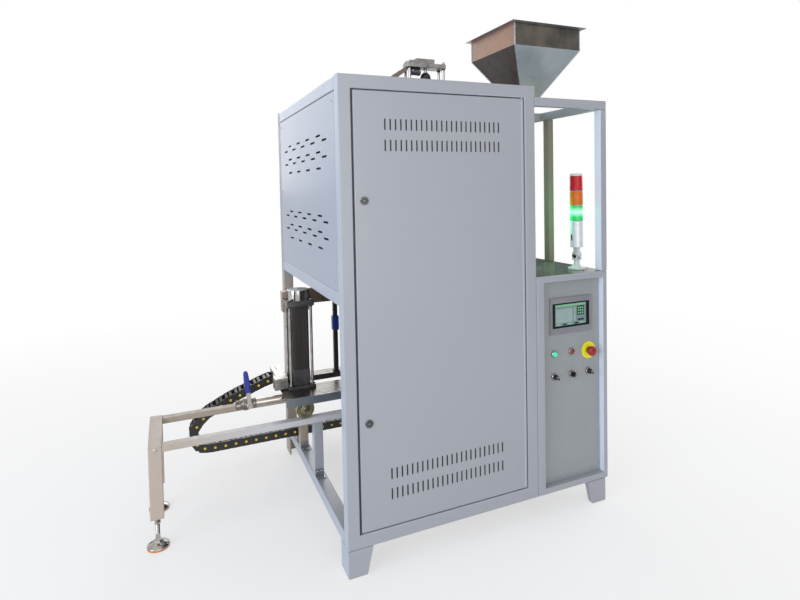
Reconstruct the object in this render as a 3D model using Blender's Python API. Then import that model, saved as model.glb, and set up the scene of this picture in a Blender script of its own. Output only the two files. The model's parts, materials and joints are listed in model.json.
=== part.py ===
"""Frit melting furnace: a door cabinet with a small crucible chamber, a control section with a
hopper frame on its right, and a rail track with a lift trolley that runs out on its left.
Metres, +Z up. Places are measured from the cabinet's front left edge at the floor: X to the
right, Y to the rear. The whole model hangs on one datum empty at the middle of its base."""
import math

import bmesh
import bpy
from mathutils import Matrix, Vector

# Seats, cuts and round shapes
SEAT = 0.0003
OVERRUN = 0.004
BITE = 0.002
SIDES = 24
FEW_SIDES = 12
LARGE_SIDES = 36
HEX_SIDES = 6
SHARP_ANGLE = math.radians(35)
UPRIGHT_SHARE = 0.9

# Main cabinet
CABINET_WIDTH = 0.825
CABINET_DEPTH = 1.127
CABINET_HEIGHT = 1.800
FRAME_BASE = 0.100
TUBE = 0.050
CHAMBER_RISE = 0.077

# Feet under the cabinet's corners
FOOT_TOP_WIDTH = 0.096
FOOT_END_WIDTH = 0.072
FOOT_FRONT = 0.028
FOOT_SIDE = 0.008
FOOT_DEPTH = 0.090
FOOT_INSET = 0.015

# Door, its pivot pins and its stop lip
SHEET = 0.0015
DOOR_GAP = 0.0035
DOOR_FRONT = 0.001
DOOR_RETURN = 0.020
PIVOT_INSET = 0.006
PIVOT_DEPTH = 0.006
PIN_RADIUS = 0.003
PIN_REACH = 0.010
LIP_THICKNESS = 0.003
LIP_REACH = 0.012
VENT_COUNT = 24
VENT_WIDTH = 0.005
VENT_HEIGHT = 0.042
VENT_PITCH = 0.0208
VENT_EDGE = 0.1195
VENT_ROW_STEP = 0.0755

# Quarter-turn locks
LOCK_EDGE = 0.036
LOCK_FROM_TOP = 0.392
LOCK_FROM_BASE = 0.397
LOCK_RING_RADIUS = 0.015
LOCK_RING_HEIGHT = 0.0042
LOCK_BARREL_RADIUS = 0.010
CAM_LENGTH = 0.033
CAM_WIDTH = 0.016
CAM_THICKNESS = 0.003
CAM_CLEARANCE = 0.0007

# Cover panels of the chamber
PANEL_FRONT = 0.001
PANEL_RETURN = 0.018
PANEL_GAP = 0.003
SLOT_LENGTH = 0.070
SLOT_HEIGHT = 0.008
SLOT_PITCH = 0.1805
SLOT_ROW_DROP = 0.0215
SLOT_PAIR_DROP = 0.064
SLOT_PAIRS = 2
SLOT_LONG_ROW = 5
UPPER_SLOTS_SHARE = 0.8036
LOWER_SLOTS_SHARE = 0.3679
ROOF_SHEET = 0.003
ROOF_DROP = 0.002
ROOF_HOLE_RADIUS = 0.018
FLOOR_SHEET = 0.003
FLOOR_EDGE_GAP = 0.002

# Melting chamber
FURNACE_FROM_RIGHT = 0.190
FURNACE_AHEAD = 0.0395
LINING_WIDTH = 0.360
LINING_DEPTH = 0.400
LINING_BASE = 0.120
LID_THICKNESS = 0.090
LID_HEADROOM = 0.0341
CAVITY_RADIUS = 0.115
CRUCIBLE_RADIUS = 0.082
CRUCIBLE_WALL = 0.010
CRUCIBLE_HEIGHT_SHARE = 0.5263
CRUCIBLE_BASE = 0.016
SPOUT_RADIUS = 0.017
SPOUT_BORE_RADIUS = 0.006
SPOUT_REACH = 0.040
SPOUT_CLEARANCE = 0.003
HEATER_RADIUS = 0.004
HEATER_RING_RADIUS = 0.0985
HEATER_LEGS = 12
HEATER_LIFT = 0.030
HEATER_HEADROOM = 0.040
HEATER_TAIL = 0.045
HEATER_CLEARANCE = 0.0005

# Stopper rod and the drive on the roof
STOPPER_RADIUS = 0.009
STOPPER_CLEARANCE = 0.003
STOPPER_TRAVEL = 0.015
CLAMP_RADIUS = 0.024
CLAMP_HEIGHT = 0.045
NECK_RADIUS = 0.008
NECK_REACH = 0.012
CLAMP_SHARES = ((1.0, 0.05), (1.0, 0.25), (0.88, 0.55), (0.62, 0.82), (0.40, 1.0))
STAND_LEFT_REACH = 0.0913
STAND_RIGHT_REACH = 0.0828
STAND_SPACING = 0.034
COLUMN_RADIUS = 0.007
COLUMN_TIP = 0.012
BRIDGE_RISE = 0.158
BRIDGE_THICKNESS = 0.021
BRIDGE_EDGE = 0.010
BLOCK_LEFT_OFFSET = 0.060
BLOCK_WIDTH = 0.095
BLOCK_HEIGHT = 0.020
STAND_FLANGE = 0.006
STAND_FLANGE_EDGE = 0.020
CYLINDER_RADIUS = 0.018
CYLINDER_LENGTH = 0.052
DUCT_WIDTH = 0.030
DUCT_THICKNESS = 0.022
DUCT_FOOT = 0.044
DUCT_RUN = 0.245
DUCT_TOP_DROP = 0.012

# Control section
CONTROL_WIDTH = 0.374
CONTROL_TOP = 1.020
CONTROL_WALL = 0.002
FACE_DEPTH = 0.045
LEFT_STILE = 0.037
RIGHT_STILE = 0.022
FACE_RAIL = 0.027
PLATE_FRONT = 0.0275
PLATE_SHEET = 0.002
PLATE_GAP = 0.0015
SCREEN_LEFT = 0.0470
SCREEN_DROP = 0.0746
SCREEN_WIDTH = 0.222
SCREEN_HEIGHT = 0.156
SCREEN_PROUD = 0.006
SCREEN_BORDER = 0.012
SCREEN_DEPTH = 0.045
BUTTON_LEFT = 0.0713
BUTTON_STEP = 0.0913
BUTTON_DROP = 0.3138
SELECTOR_DROP = 0.4112
RING_RADIUS = 0.0162
RING_PROUD = 0.006
BUTTON_RADIUS = 0.0105
BUTTON_PROUD = 0.010
BUTTON_DEPTH = 0.030
BUTTON_FACE_SHARE = 0.9
COLLAR_RADIUS = 0.0135
COLLAR_THICKNESS = 0.003
RUNNING_GAP = 0.0005
STOP_DISC_RADIUS = 0.037
STOP_DISC_PROUD = 0.002
STOP_HEAD_RADIUS = 0.0215
STOP_HEAD_HEIGHT = 0.020
STOP_STEM_REACH = 0.010
STOP_DROP = 0.005
STOP_FACE_SHARE = 0.70
STOP_EDGE_SHARE = 0.93
STOP_DOME_SHARES = (0.18, 0.5)
KNOB_RADIUS = 0.012
KNOB_PROUD = 0.008
HANDLE_PROUD = 0.012
HANDLE_WIDTH = 0.008
GEAR_PLATE_DEPTH = 0.250
GEAR_PLATE_SHEET = 0.003
GEAR_EDGE = 0.020
GEAR_DEPTH_SHARES = (0.60, 0.85, 0.45)
GEAR_TALL = 0.110

# Hopper frame above the control section
POST_WIDTH = 0.031
POST_DEPTH = 0.040
GANTRY_DROP = 0.044
GANTRY_RAIL_HEIGHT = 0.036
GANTRY_DEPTH = 0.640
MID_POST_Y = 0.360

# Hopper and screw feeder
HOPPER_WIDTH = 0.360
HOPPER_DEPTH = 0.380
HOPPER_HEIGHT = 0.345
HOPPER_LEFT_REACH = 0.175
HOPPER_BAND = 0.100
HOPPER_SHEET = 0.002
HOPPER_RIM = 0.022
OUTLET_FROM_CABINET = 0.220
OUTLET_WIDTH = 0.050
OUTLET_RISE = 0.075
FEED_AHEAD = 0.134
FEED_DROP = 0.050
FEED_RADIUS = 0.030
FEED_WALL = 0.003
FEED_END_REACH = 0.028
FEED_TAIL = 0.035
INLET_FLANGE = 0.008
INLET_FLANGE_SHEET = 0.003
INLET_DROP = 0.006
DROP_RADIUS = 0.017
DROP_BORE_RADIUS = 0.014
DROP_AIM = 0.045
SCREW_SHAFT_RADIUS = 0.006
SCREW_RADIUS = 0.024
SCREW_PITCH = 0.060
SCREW_STEPS = 8
SCREW_SHAFT_SIDES = 8
SCREW_FIN_SHARES = (0.35, 0.65)
MOTOR_LENGTH = 0.180
MOTOR_SIZE = 0.090
MOTOR_FOOT_LENGTH = 0.080
SHAFT_GRIP = 0.040
WELD_DISTANCE = 0.00002

# Signal tower
TOWER_FROM_RIGHT = 0.081
TOWER_Y = 0.100
TOWER_FLANGE_RADIUS = 0.0375
TOWER_FLANGE = 0.008
TOWER_STEM_RADIUS = 0.012
TOWER_HINGE_RISE = 0.065
FORK_INSIDE = 0.016
FORK_CHEEK = 0.006
FORK_RADIUS = 0.016
HINGE_PIN_RADIUS = 0.004
TOWER_BODY_RISE = 0.099
TOWER_BODY_HEIGHT = 0.116
TOWER_LENS_HEIGHTS = (0.070, 0.063, 0.068)
TOWER_CAP_HEIGHT = 0.011
TOWER_CAP_SHARE = 0.9
TOWER_BODY_RADIUS = 0.028
TOWER_LENS_RADIUS = 0.0285
TOWER_GROOVE = 0.002

# Rail track
RAIL_TOP = 0.409
RAIL_HEIGHT = 0.025
RAIL_WIDTH = 0.040
FRONT_RAIL_AHEAD = 0.0635
RAIL_SPACING = 0.288
LEG_LEFT = -0.651
LEG_SIZE = 0.050
LEG_BASE = 0.120
TRACK_POST_WIDTH = 0.040
TRACK_END_EDGE = 0.005
END_BEAM_HEIGHT = 0.040
BRACKET_HEIGHT = 0.030
BRACKET_SHEET = 0.004

# Levelling feet of the track
PAD_RADIUS = 0.0425
PAD_RIM = 0.010
PAD_CONE = 0.028
PAD_CONE_SHARES = ((0.92, 0.25), (0.74, 0.55), (0.48, 0.80), (0.36, 1.0))
STEM_RADIUS = 0.008
STEM_IN_LEG = 0.040
LEVEL_UP = 0.015
STEM_CLEARANCE = 0.0004

# Trolley
TROLLEY_LEFT = -0.119
TROLLEY_RIGHT_GAP = 0.030
TROLLEY_OVERHANG = 0.045
TROLLEY_PLATE = 0.006
TROLLEY_PLATE_RISE = 0.0667
FLANGE_SHEET = 0.004
FLANGE_HEIGHT = 0.035
TROLLEY_BACK_INSET = 0.008
DECK_DEPTH = 0.147
BEAM_DEPTH = 0.066
BEAM_CLEARANCE = 0.0017
WINDOW_LEFT = 0.045
WINDOW_RIGHT = 0.340
WHEEL_RADIUS = 0.039
WHEEL_WIDTH = 0.020
WHEEL_LEFT_X = -0.032
WHEEL_RIGHT_INSET = 0.095
AXLE_RADIUS = 0.006
AXLE_HEAD_RADIUS = 0.010
AXLE_HEAD = 0.004
AXLE_PLAY = 0.0035
LUG_WIDTH = 0.040
LUG_SHEET = 0.008
LUG_BELOW_AXLE = 0.016
HUB_RADIUS = 0.014
HUB_PROUD = 0.002
MAST_LEFT = 0.165
MAST_INSET = 0.004
MAST_SIZE = 0.020
MAST_DROP = 0.077
REGULATOR_DROP = 0.1825
REGULATOR_TALL = 0.070
REGULATOR_PROUD = 0.005

# Lift column on the trolley
LIFT_X = -0.028
LIFT_BEHIND = 0.102
LIFT_WIDTH = 0.120
LIFT_DEPTH = 0.100
LIFT_BASE_PLATE = 0.015
LIFT_TOP_PLATE = 0.023
LIFT_DROP = 0.069
ROD_SPACING_X = 0.094
ROD_SPACING_Y = 0.076
ROD_RADIUS = 0.006
ROD_TIP = 0.008
BARREL_WIDTH = 0.074
CAP_RADIUS = 0.047
CAP_HEIGHT = 0.046
GUIDE_WIDTH = 0.030
GUIDE_PROUD = 0.012
TERMINAL_WIDTH = 0.057
TERMINAL_DEPTH = 0.050
TERMINAL_HEIGHT = 0.050

# Lift arm with the drain collar
ARM_DROP = 0.040
ARM_HEIGHT = 0.064
ARM_BACK_REACH = 0.098
ARM_SIDE_GAP = 0.008
CARRIAGE_HEIGHT = 0.092
ARM_PLATE = 0.012
ARM_PLATE_WIDTH = 0.120
COLLAR_DROP = 0.003
DRAIN_COLLAR_RADIUS = 0.045
DRAIN_BORE_RADIUS = 0.030

# Quench pan, drain pipe and ball valve
PAN_WIDTH = 0.300
PAN_DEPTH = 0.240
PAN_HEIGHT = 0.085
PAN_SHEET = 0.003
PIPE_BEHIND = 0.050
PIPE_RADIUS = 0.0165
PIPE_BORE_RADIUS = 0.013
PIPE_RISE_LEFT = 0.085
RISER_STEP = 0.0005
VALVE_X = -0.272
VALVE_LENGTH = 0.082
VALVE_STEM_SHIFT = 0.0125
VALVE_RADIUS = 0.025
VALVE_END_RADIUS = 0.0215
VALVE_END = 0.018
VALVE_STEM_RADIUS = 0.007
VALVE_BOSS_RADIUS = 0.013
VALVE_BOSS_REACH = 0.032
LEVER_HUB_RADIUS = 0.012
LEVER_SHEET = 0.003
LEVER_WIDTH = 0.018
LEVER_LENGTH = 0.154
LEVER_SLEEVE = 0.095
LEVER_SLEEVE_WIDTH = 0.024
LEVER_SLEEVE_THICKNESS = 0.008
LEVER_LEAN = math.radians(6)

# Drag chain
CHAIN_BEHIND = 0.082
CHAIN_WIDTH = 0.075
CHAIN_HEIGHT = 0.042
CHAIN_REST = 0.0185
CHAIN_TURN_X = -0.440
CHAIN_END_X = -0.106
CHAIN_END_RUN = 0.012
CHAIN_END_DROP = 0.0425
CHAIN_TAB = 0.004
CHAIN_TAB_WIDTH = 0.050
CHAIN_MITRE_SHARE = 0.5
CHAIN_BEND_SHARES = ((-0.093, 0.113), (-0.098, 0.350), (0.044, 0.546), (0.423, 0.760))

# Places that follow from the sizes above
BAY_LEFT = TUBE
BAY_RIGHT = CABINET_WIDTH - TUBE
BAY_FRONT = TUBE
BAY_REAR = CABINET_DEPTH - TUBE
BAY_FLOOR = FRAME_BASE + TUBE
BAY_TOP = CABINET_HEIGHT - TUBE
CHAMBER_BASE = CABINET_HEIGHT / 2 + CHAMBER_RISE
SHELF = CHAMBER_BASE + TUBE
PANEL_HEIGHT = BAY_TOP - SHELF
MIDDLE_Y = CABINET_DEPTH / 2
DOOR_LEFT = BAY_LEFT + DOOR_GAP
DOOR_RIGHT = BAY_RIGHT - DOOR_GAP
DOOR_BASE = BAY_FLOOR + DOOR_GAP
DOOR_TOP = BAY_TOP - DOOR_GAP
DOOR_BACK = DOOR_FRONT + DOOR_RETURN
PIVOT_X = DOOR_RIGHT - PIVOT_INSET
PIVOT_Y = DOOR_FRONT + PIVOT_DEPTH
LIP_FRONT = PIVOT_Y + math.hypot(PIVOT_INSET, DOOR_RETURN - PIVOT_DEPTH) + SEAT
LIP_BACK = LIP_FRONT + LIP_THICKNESS
LOCK_X = DOOR_LEFT + LOCK_EDGE
CONTROL_LEFT = CABINET_WIDTH + SEAT
CONTROL_RIGHT = CABINET_WIDTH + CONTROL_WIDTH
FACE_LEFT = CABINET_WIDTH + LEFT_STILE
FACE_RIGHT = CONTROL_RIGHT - RIGHT_STILE
FACE_BASE = FRAME_BASE + FACE_RAIL
FACE_TOP = CONTROL_TOP - FACE_RAIL
PLATE_LEFT = FACE_LEFT + PLATE_GAP
PLATE_RIGHT = FACE_RIGHT - PLATE_GAP
PLATE_BASE = FACE_BASE + SEAT
PLATE_TOP = FACE_TOP - PLATE_GAP
PLATE_BACK = PLATE_FRONT + PLATE_SHEET
FLOOR_TOP = SHELF + SEAT + FLOOR_SHEET
FURNACE_X = BAY_RIGHT - FURNACE_FROM_RIGHT
FURNACE_Y = MIDDLE_Y - FURNACE_AHEAD
FEED_Y = FURNACE_Y - FEED_AHEAD
FEED_Z = BAY_TOP - FEED_DROP
LINING_FOOT = FLOOR_TOP + SEAT
CAVITY_FLOOR = LINING_FOOT + LINING_BASE
LID_TOP = FEED_Z - MOTOR_SIZE / 2 - LID_HEADROOM
LID_BASE = LID_TOP - LID_THICKNESS
LINING_TOP = LID_BASE - SEAT
ROOF_TOP = CABINET_HEIGHT - ROOF_DROP
CRUCIBLE_FOOT = CAVITY_FLOOR + SEAT
CRUCIBLE_HEIGHT = (LINING_TOP - CAVITY_FLOOR) * CRUCIBLE_HEIGHT_SHARE
STOPPER_FOOT = CRUCIBLE_FOOT + CRUCIBLE_BASE + SEAT
STAND_LEFT = FURNACE_X - STAND_LEFT_REACH
STAND_RIGHT = FURNACE_X + STAND_RIGHT_REACH
STAND_FRONT = FURNACE_Y - STAND_SPACING / 2
BRIDGE_BASE = ROOF_TOP + BRIDGE_RISE
BRIDGE_TOP = BRIDGE_BASE + BRIDGE_THICKNESS
CLAMP_TOP = BRIDGE_BASE - STOPPER_TRAVEL - BITE
TOWER_X = CONTROL_RIGHT - TOWER_FROM_RIGHT
TOWER_HINGE_Z = CONTROL_TOP + TOWER_HINGE_RISE
TOWER_BODY_BASE = CONTROL_TOP + TOWER_BODY_RISE
GANTRY_TOP = CABINET_HEIGHT - GANTRY_DROP
FRONT_RAIL_Y = MIDDLE_Y - FRONT_RAIL_AHEAD
REAR_RAIL_Y = FRONT_RAIL_Y + RAIL_SPACING
RAIL_BASE = RAIL_TOP - RAIL_HEIGHT
AXLE_Z = RAIL_TOP + SEAT + WHEEL_RADIUS
TROLLEY_FRONT = FRONT_RAIL_Y - TROLLEY_OVERHANG
TROLLEY_BACK = REAR_RAIL_Y - TROLLEY_BACK_INSET
TROLLEY_RIGHT = BAY_RIGHT - TROLLEY_RIGHT_GAP
WHEEL_RIGHT_X = TROLLEY_RIGHT - WHEEL_RIGHT_INSET
TROLLEY_PLATE_TOP = AXLE_Z + TROLLEY_PLATE_RISE
TROLLEY_PLATE_BASE = TROLLEY_PLATE_TOP - TROLLEY_PLATE
MAST_TOP = CHAMBER_BASE - MAST_DROP
LIFT_FOOT = TROLLEY_PLATE_TOP + SEAT
LIFT_Y = FRONT_RAIL_Y + LIFT_BEHIND
LIFT_BACK = LIFT_Y + LIFT_DEPTH / 2
LIFT_TOP = CHAMBER_BASE - LIFT_DROP
ARM_TOP = CHAMBER_BASE - ARM_DROP
ARM_BACK = LIFT_Y + ARM_BACK_REACH
COLLAR_TOP = CHAMBER_BASE - COLLAR_DROP
PIPE_RISE_X = FURNACE_X - PIPE_RISE_LEFT
PIPE_Y = FRONT_RAIL_Y + PIPE_BEHIND
PIPE_Z = TROLLEY_PLATE_BASE - SEAT - PIPE_RADIUS
STEM_X = VALVE_X + VALVE_STEM_SHIFT
LEG_X = LEG_LEFT + LEG_SIZE / 2
LEG_RIGHT = LEG_LEFT + LEG_SIZE
FEED_LEFT = FURNACE_X - FEED_TAIL
OUTLET_X = CABINET_WIDTH + OUTLET_FROM_CABINET
OUTLET_TOP = FEED_Z + OUTLET_RISE
FEED_RIGHT = OUTLET_X + FEED_END_REACH
INLET_TOP = OUTLET_TOP - INLET_DROP
HOPPER_LEFT = OUTLET_X - HOPPER_LEFT_REACH
HOPPER_FRONT = FEED_Y - HOPPER_DEPTH / 2
HOPPER_TOP = OUTLET_TOP + HOPPER_HEIGHT
CHAIN_Y = REAR_RAIL_Y + CHAIN_BEHIND
CHAIN_END_Z = TROLLEY_PLATE_TOP - CHAIN_END_DROP
HALF_BITE = BITE / 2
STOP_FRONT = PLATE_FRONT - RING_PROUD - STOP_STEM_REACH - STOP_HEAD_HEIGHT
MODEL_LEFT = LEG_X - PAD_RADIUS
MODEL_RIGHT = HOPPER_LEFT + HOPPER_WIDTH + HOPPER_RIM
DATUM = Vector(((MODEL_LEFT + MODEL_RIGHT) / 2, (STOP_FRONT + CABINET_DEPTH) / 2, 0))

# Finishes: colour, roughness, metallic
POWDER_WHITE = ("powder white", (0.70, 0.72, 0.76), 0.45, 0.0)
WARM_WHITE = ("warm white", (0.66, 0.63, 0.58), 0.50, 0.0)
GALVANISED = ("galvanised", (0.45, 0.46, 0.46), 0.38, 0.9)
BRIGHT_STEEL = ("bright steel", (0.75, 0.75, 0.74), 0.18, 1.0)
DARK_STEEL = ("dark steel", (0.10, 0.10, 0.11), 0.45, 0.6)
BLACK_PLASTIC = ("black plastic", (0.03, 0.03, 0.03), 0.50, 0.0)
FIRE_BRICK = ("fire brick", (0.80, 0.74, 0.62), 0.95, 0.0)
CERAMIC = ("ceramic", (0.86, 0.84, 0.78), 0.70, 0.0)
HEATING_ALLOY = ("heating alloy", (0.24, 0.22, 0.21), 0.60, 0.8)
ZINC_YELLOW = ("zinc yellow", (0.55, 0.52, 0.36), 0.35, 0.9)
STAINLESS = ("stainless", (0.62, 0.62, 0.60), 0.28, 1.0)
LEVER_BLUE = ("lever blue", (0.03, 0.06, 0.45), 0.40, 0.0)
GREEN_LENS = ("green lens", (0.05, 0.70, 0.40), 0.25, 0.0)
RED_LENS = ("red lens", (0.55, 0.03, 0.04), 0.30, 0.0)
GREY_PLASTIC = ("grey plastic", (0.35, 0.36, 0.38), 0.45, 0.0)

AXES = {"X": Vector((1, 0, 0)), "Y": Vector((0, 1, 0)), "Z": Vector((0, 0, 1))}


def clear_scene():
    for obj in list(bpy.data.objects):
        bpy.data.objects.remove(obj)


def temp_object(bm):
    """Put a bmesh into a nameless object, with its faces pointing out."""
    bmesh.ops.recalc_face_normals(bm, faces=bm.faces)
    mesh = bpy.data.meshes.new("shape")
    bm.to_mesh(mesh)
    bm.free()
    obj = bpy.data.objects.new("shape", mesh)
    bpy.context.scene.collection.objects.link(obj)
    return obj


def skin_loops(bm, loops, ends):
    """Join loops of equally many points by quads; ends caps the first and last, else they meet."""
    rows = [[bm.verts.new(point) for point in loop] for loop in loops]
    pairs = list(zip(rows, rows[1:]))
    if not ends:
        pairs.append((rows[-1], rows[0]))
    for low, high in pairs:
        count = len(low)
        for index in range(count):
            after = (index + 1) % count
            bm.faces.new((low[index], low[after], high[after], high[index]))
    if ends:
        bm.faces.new(rows[0])
        bm.faces.new(rows[-1])


def corner_loop(low, high, z):
    return [(low[0], low[1], z), (high[0], low[1], z), (high[0], high[1], z), (low[0], high[1], z)]


def blocks(boxes):
    """Separate boxes in one object, each from its lowest to its highest corner."""
    bm = bmesh.new()
    for low, high in boxes:
        skin_loops(bm, [corner_loop(low, high, low[2]), corner_loop(low, high, high[2])], True)
    return temp_object(bm)


def block(low, high):
    return blocks([(low, high)])


def prism(points, start, end):
    """A flat outline given as 3-D points, pushed along the vector from start to end."""
    bm = bmesh.new()
    shift = Vector(end) - Vector(start)
    first = [Vector(point) for point in points]
    skin_loops(bm, [first, [point + shift for point in first]], True)
    return temp_object(bm)


def ring_points(centre, direction, radius, sides, turn=0.0):
    """Points of a circle round a direction."""
    direction = Vector(direction).normalized()
    side = direction.orthogonal().normalized()
    if abs(direction.z) < UPRIGHT_SHARE:
        side = direction.cross(AXES["Z"]).normalized()
    up = side.cross(direction)
    points = []
    for index in range(sides):
        angle = turn + math.tau * index / sides
        points.append(Vector(centre) + radius * (math.cos(angle) * side + math.sin(angle) * up))
    return points


def rod(start, end, radius, sides=SIDES):
    """A round bar between two points."""
    bm = bmesh.new()
    direction = Vector(end) - Vector(start)
    loops = [ring_points(place, direction, radius, sides) for place in (start, end)]
    skin_loops(bm, loops, True)
    return temp_object(bm)


def turned(profile, base, direction, sides=SIDES, closed=False):
    """A turned shape: profile holds (radius, distance along the direction) pairs."""
    bm = bmesh.new()
    along = Vector(direction).normalized()
    loops = [ring_points(Vector(base) + along * far, along, radius, sides) for radius, far in profile]
    skin_loops(bm, loops, not closed)
    return temp_object(bm)


def bake(obj):
    """Write the object's modifiers into its mesh."""
    graph = bpy.context.evaluated_depsgraph_get()
    mesh = bpy.data.meshes.new_from_object(obj.evaluated_get(graph))
    before = obj.data
    obj.modifiers.clear()
    obj.data = mesh
    bpy.data.meshes.remove(before)


def combine(obj, tools, operation):
    for tool in tools:
        step = obj.modifiers.new("step", "BOOLEAN")
        step.operation = operation
        step.solver = "EXACT"
        step.object = tool
        bake(obj)
        bpy.data.objects.remove(tool)
    return obj


def fuse(obj, *tools):
    return combine(obj, tools, "UNION")


def carve(obj, *tools):
    return combine(obj, tools, "DIFFERENCE")


def finish_material(finish):
    name, colour, roughness, metallic = finish
    material = bpy.data.materials.new(name)
    material.use_nodes = True
    shader = material.node_tree.nodes["Principled BSDF"]
    shader.inputs["Base Color"].default_value = (*colour, 1)
    shader.inputs["Roughness"].default_value = roughness
    shader.inputs["Metallic"].default_value = metallic
    material.diffuse_color = (*colour, 1)
    return material


def piece(name, obj, finish, pivot=(0, 0, 0), smooth=False):
    """Name a finished shape, set its origin at its pivot and hang it on the datum."""
    pivot = Vector(pivot)
    obj.name = name
    obj.data.name = name
    obj.data.transform(Matrix.Translation(-pivot))
    obj.location = pivot
    obj.parent = bpy.data.objects["furnace_datum"]
    obj.data.materials.clear()
    obj.data.materials.append(finish_material(finish))
    if smooth:
        obj.data.shade_smooth()
        obj.data.set_sharp_from_angle(angle=SHARP_ANGLE)
    return obj


def make_datum():
    datum = bpy.data.objects.new("furnace_datum", None)
    datum.location = -DATUM
    bpy.context.scene.collection.objects.link(datum)


def bar(name, low, high, finish=POWDER_WHITE):
    return piece(name, block(low, high), finish)


def foot(outer_x, inward, end_y, deep):
    """One folded foot: a tapered front sheet with an upright outer side that runs further in."""
    top = FRAME_BASE + BITE
    front_y = min(end_y, end_y + deep * FOOT_FRONT)
    wide = outer_x + inward * FOOT_TOP_WIDTH
    narrow = outer_x + inward * FOOT_END_WIDTH
    outline = [(outer_x, front_y, 0), (narrow, front_y, 0), (wide, front_y, FRAME_BASE)]
    outline += [(wide, front_y, top), (outer_x, front_y, top)]
    front = prism(outline, (0, 0, 0), (0, FOOT_FRONT, 0))
    side_low = (min(outer_x, outer_x + inward * FOOT_SIDE), min(end_y, end_y + deep * FOOT_DEPTH), 0)
    side_high = (side_low[0] + FOOT_SIDE, side_low[1] + FOOT_DEPTH, FRAME_BASE - SEAT)
    return fuse(front, block(side_low, side_high))


def window_frame(low, high, border, top_border):
    """A flat frame in the XZ plane with equal borders left, right and below."""
    outer = block(low, high)
    inner_low = (low[0] + border, low[1] - OVERRUN, low[2] + border)
    inner_high = (high[0] - border, high[1] + OVERRUN, high[2] - top_border)
    return carve(outer, block(inner_low, inner_high))


def tray(low, high, wall, open_axis, open_sign):
    """A folded sheet pan: a plate with returns all round, open to one side."""
    inner_low = [value + wall for value in low]
    inner_high = [value - wall for value in high]
    index = "XYZ".index(open_axis)
    if open_sign > 0:
        inner_high[index] = high[index] + OVERRUN
    else:
        inner_low[index] = low[index] - OVERRUN
    return carve(block(low, high), block(inner_low, inner_high))


def front_frame():
    """Welded front frame with the door's stop lip, two pivot pins and the left foot."""
    frame = window_frame((0, 0, FRAME_BASE), (CABINET_WIDTH, TUBE, CABINET_HEIGHT), TUBE, TUBE)
    lip_low = (BAY_LEFT - BITE, LIP_FRONT, BAY_FLOOR - BITE)
    lip_high = (BAY_RIGHT + BITE, LIP_BACK, BAY_TOP + BITE)
    lip = window_frame(lip_low, lip_high, LIP_REACH + BITE, LIP_REACH + BITE)
    ends = ((BAY_FLOOR - BITE, DOOR_BASE + PIN_REACH), (DOOR_TOP - PIN_REACH, BAY_TOP + BITE))
    pins = []
    for low, high in ends:
        pins.append(rod((PIVOT_X, PIVOT_Y, low), (PIVOT_X, PIVOT_Y, high), PIN_RADIUS, FEW_SIDES))
    piece("front_frame", fuse(frame, lip, *pins, foot(0, 1, 0, 1)), POWDER_WHITE)


def rear_frame():
    """Welded rear frame with the rail that carries the chamber, and both rear feet."""
    low = (0, BAY_REAR, FRAME_BASE)
    high = (CABINET_WIDTH, CABINET_DEPTH, CABINET_HEIGHT)
    frame = window_frame(low, high, TUBE, TUBE)
    rail_low = (BAY_LEFT - BITE, BAY_REAR, CHAMBER_BASE)
    rail_high = (BAY_RIGHT + BITE, CABINET_DEPTH, SHELF)
    rear_foot = foot(0, 1, CABINET_DEPTH, -1)
    piece("rear_frame", fuse(frame, block(rail_low, rail_high), rear_foot), POWDER_WHITE)


def side_rails():
    """The six tubes between the front and rear frames; the floor tubes carry the chain's rests."""
    front = BAY_FRONT + SEAT
    back = BAY_REAR - SEAT
    levels = {"top": (BAY_TOP, CABINET_HEIGHT), "chamber": (CHAMBER_BASE, SHELF)}
    levels["floor"] = (FRAME_BASE, BAY_FLOOR)
    for side, left in (("left", 0), ("right", BAY_RIGHT)):
        for level, (base, top) in levels.items():
            rail = block((left, front, base), (left + TUBE, back, top))
            if level == "floor":
                rest_low = (left + BITE, CHAIN_Y, top - BITE)
                rest_high = (left + TUBE - BITE, CHAIN_Y + CHAIN_WIDTH, top + CHAIN_REST)
                fuse(rail, block(rest_low, rest_high))
            piece(f"{side}_{level}_rail", rail, POWDER_WHITE)


def slot_boxes(group_top):
    """Slots of one group on the left panel: rows of one fewer and of SLOT_LONG_ROW in turn."""
    middle = (BAY_FRONT + BAY_REAR) / 2
    rows = []
    for pair in range(SLOT_PAIRS):
        rows.append((group_top - pair * SLOT_PAIR_DROP, SLOT_LONG_ROW - 1))
        rows.append((group_top - pair * SLOT_PAIR_DROP - SLOT_ROW_DROP, SLOT_LONG_ROW))
    rows.append((group_top - SLOT_PAIRS * SLOT_PAIR_DROP, SLOT_LONG_ROW - 1))
    boxes = []
    for height, count in rows:
        for index in range(count):
            centre = middle + (index - (count - 1) / 2) * SLOT_PITCH
            low = (PANEL_FRONT - OVERRUN, centre - SLOT_LENGTH / 2, height - SLOT_HEIGHT / 2)
            high = (PANEL_FRONT + OVERRUN, centre + SLOT_LENGTH / 2, height + SLOT_HEIGHT / 2)
            boxes.append((low, high))
    return boxes


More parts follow.
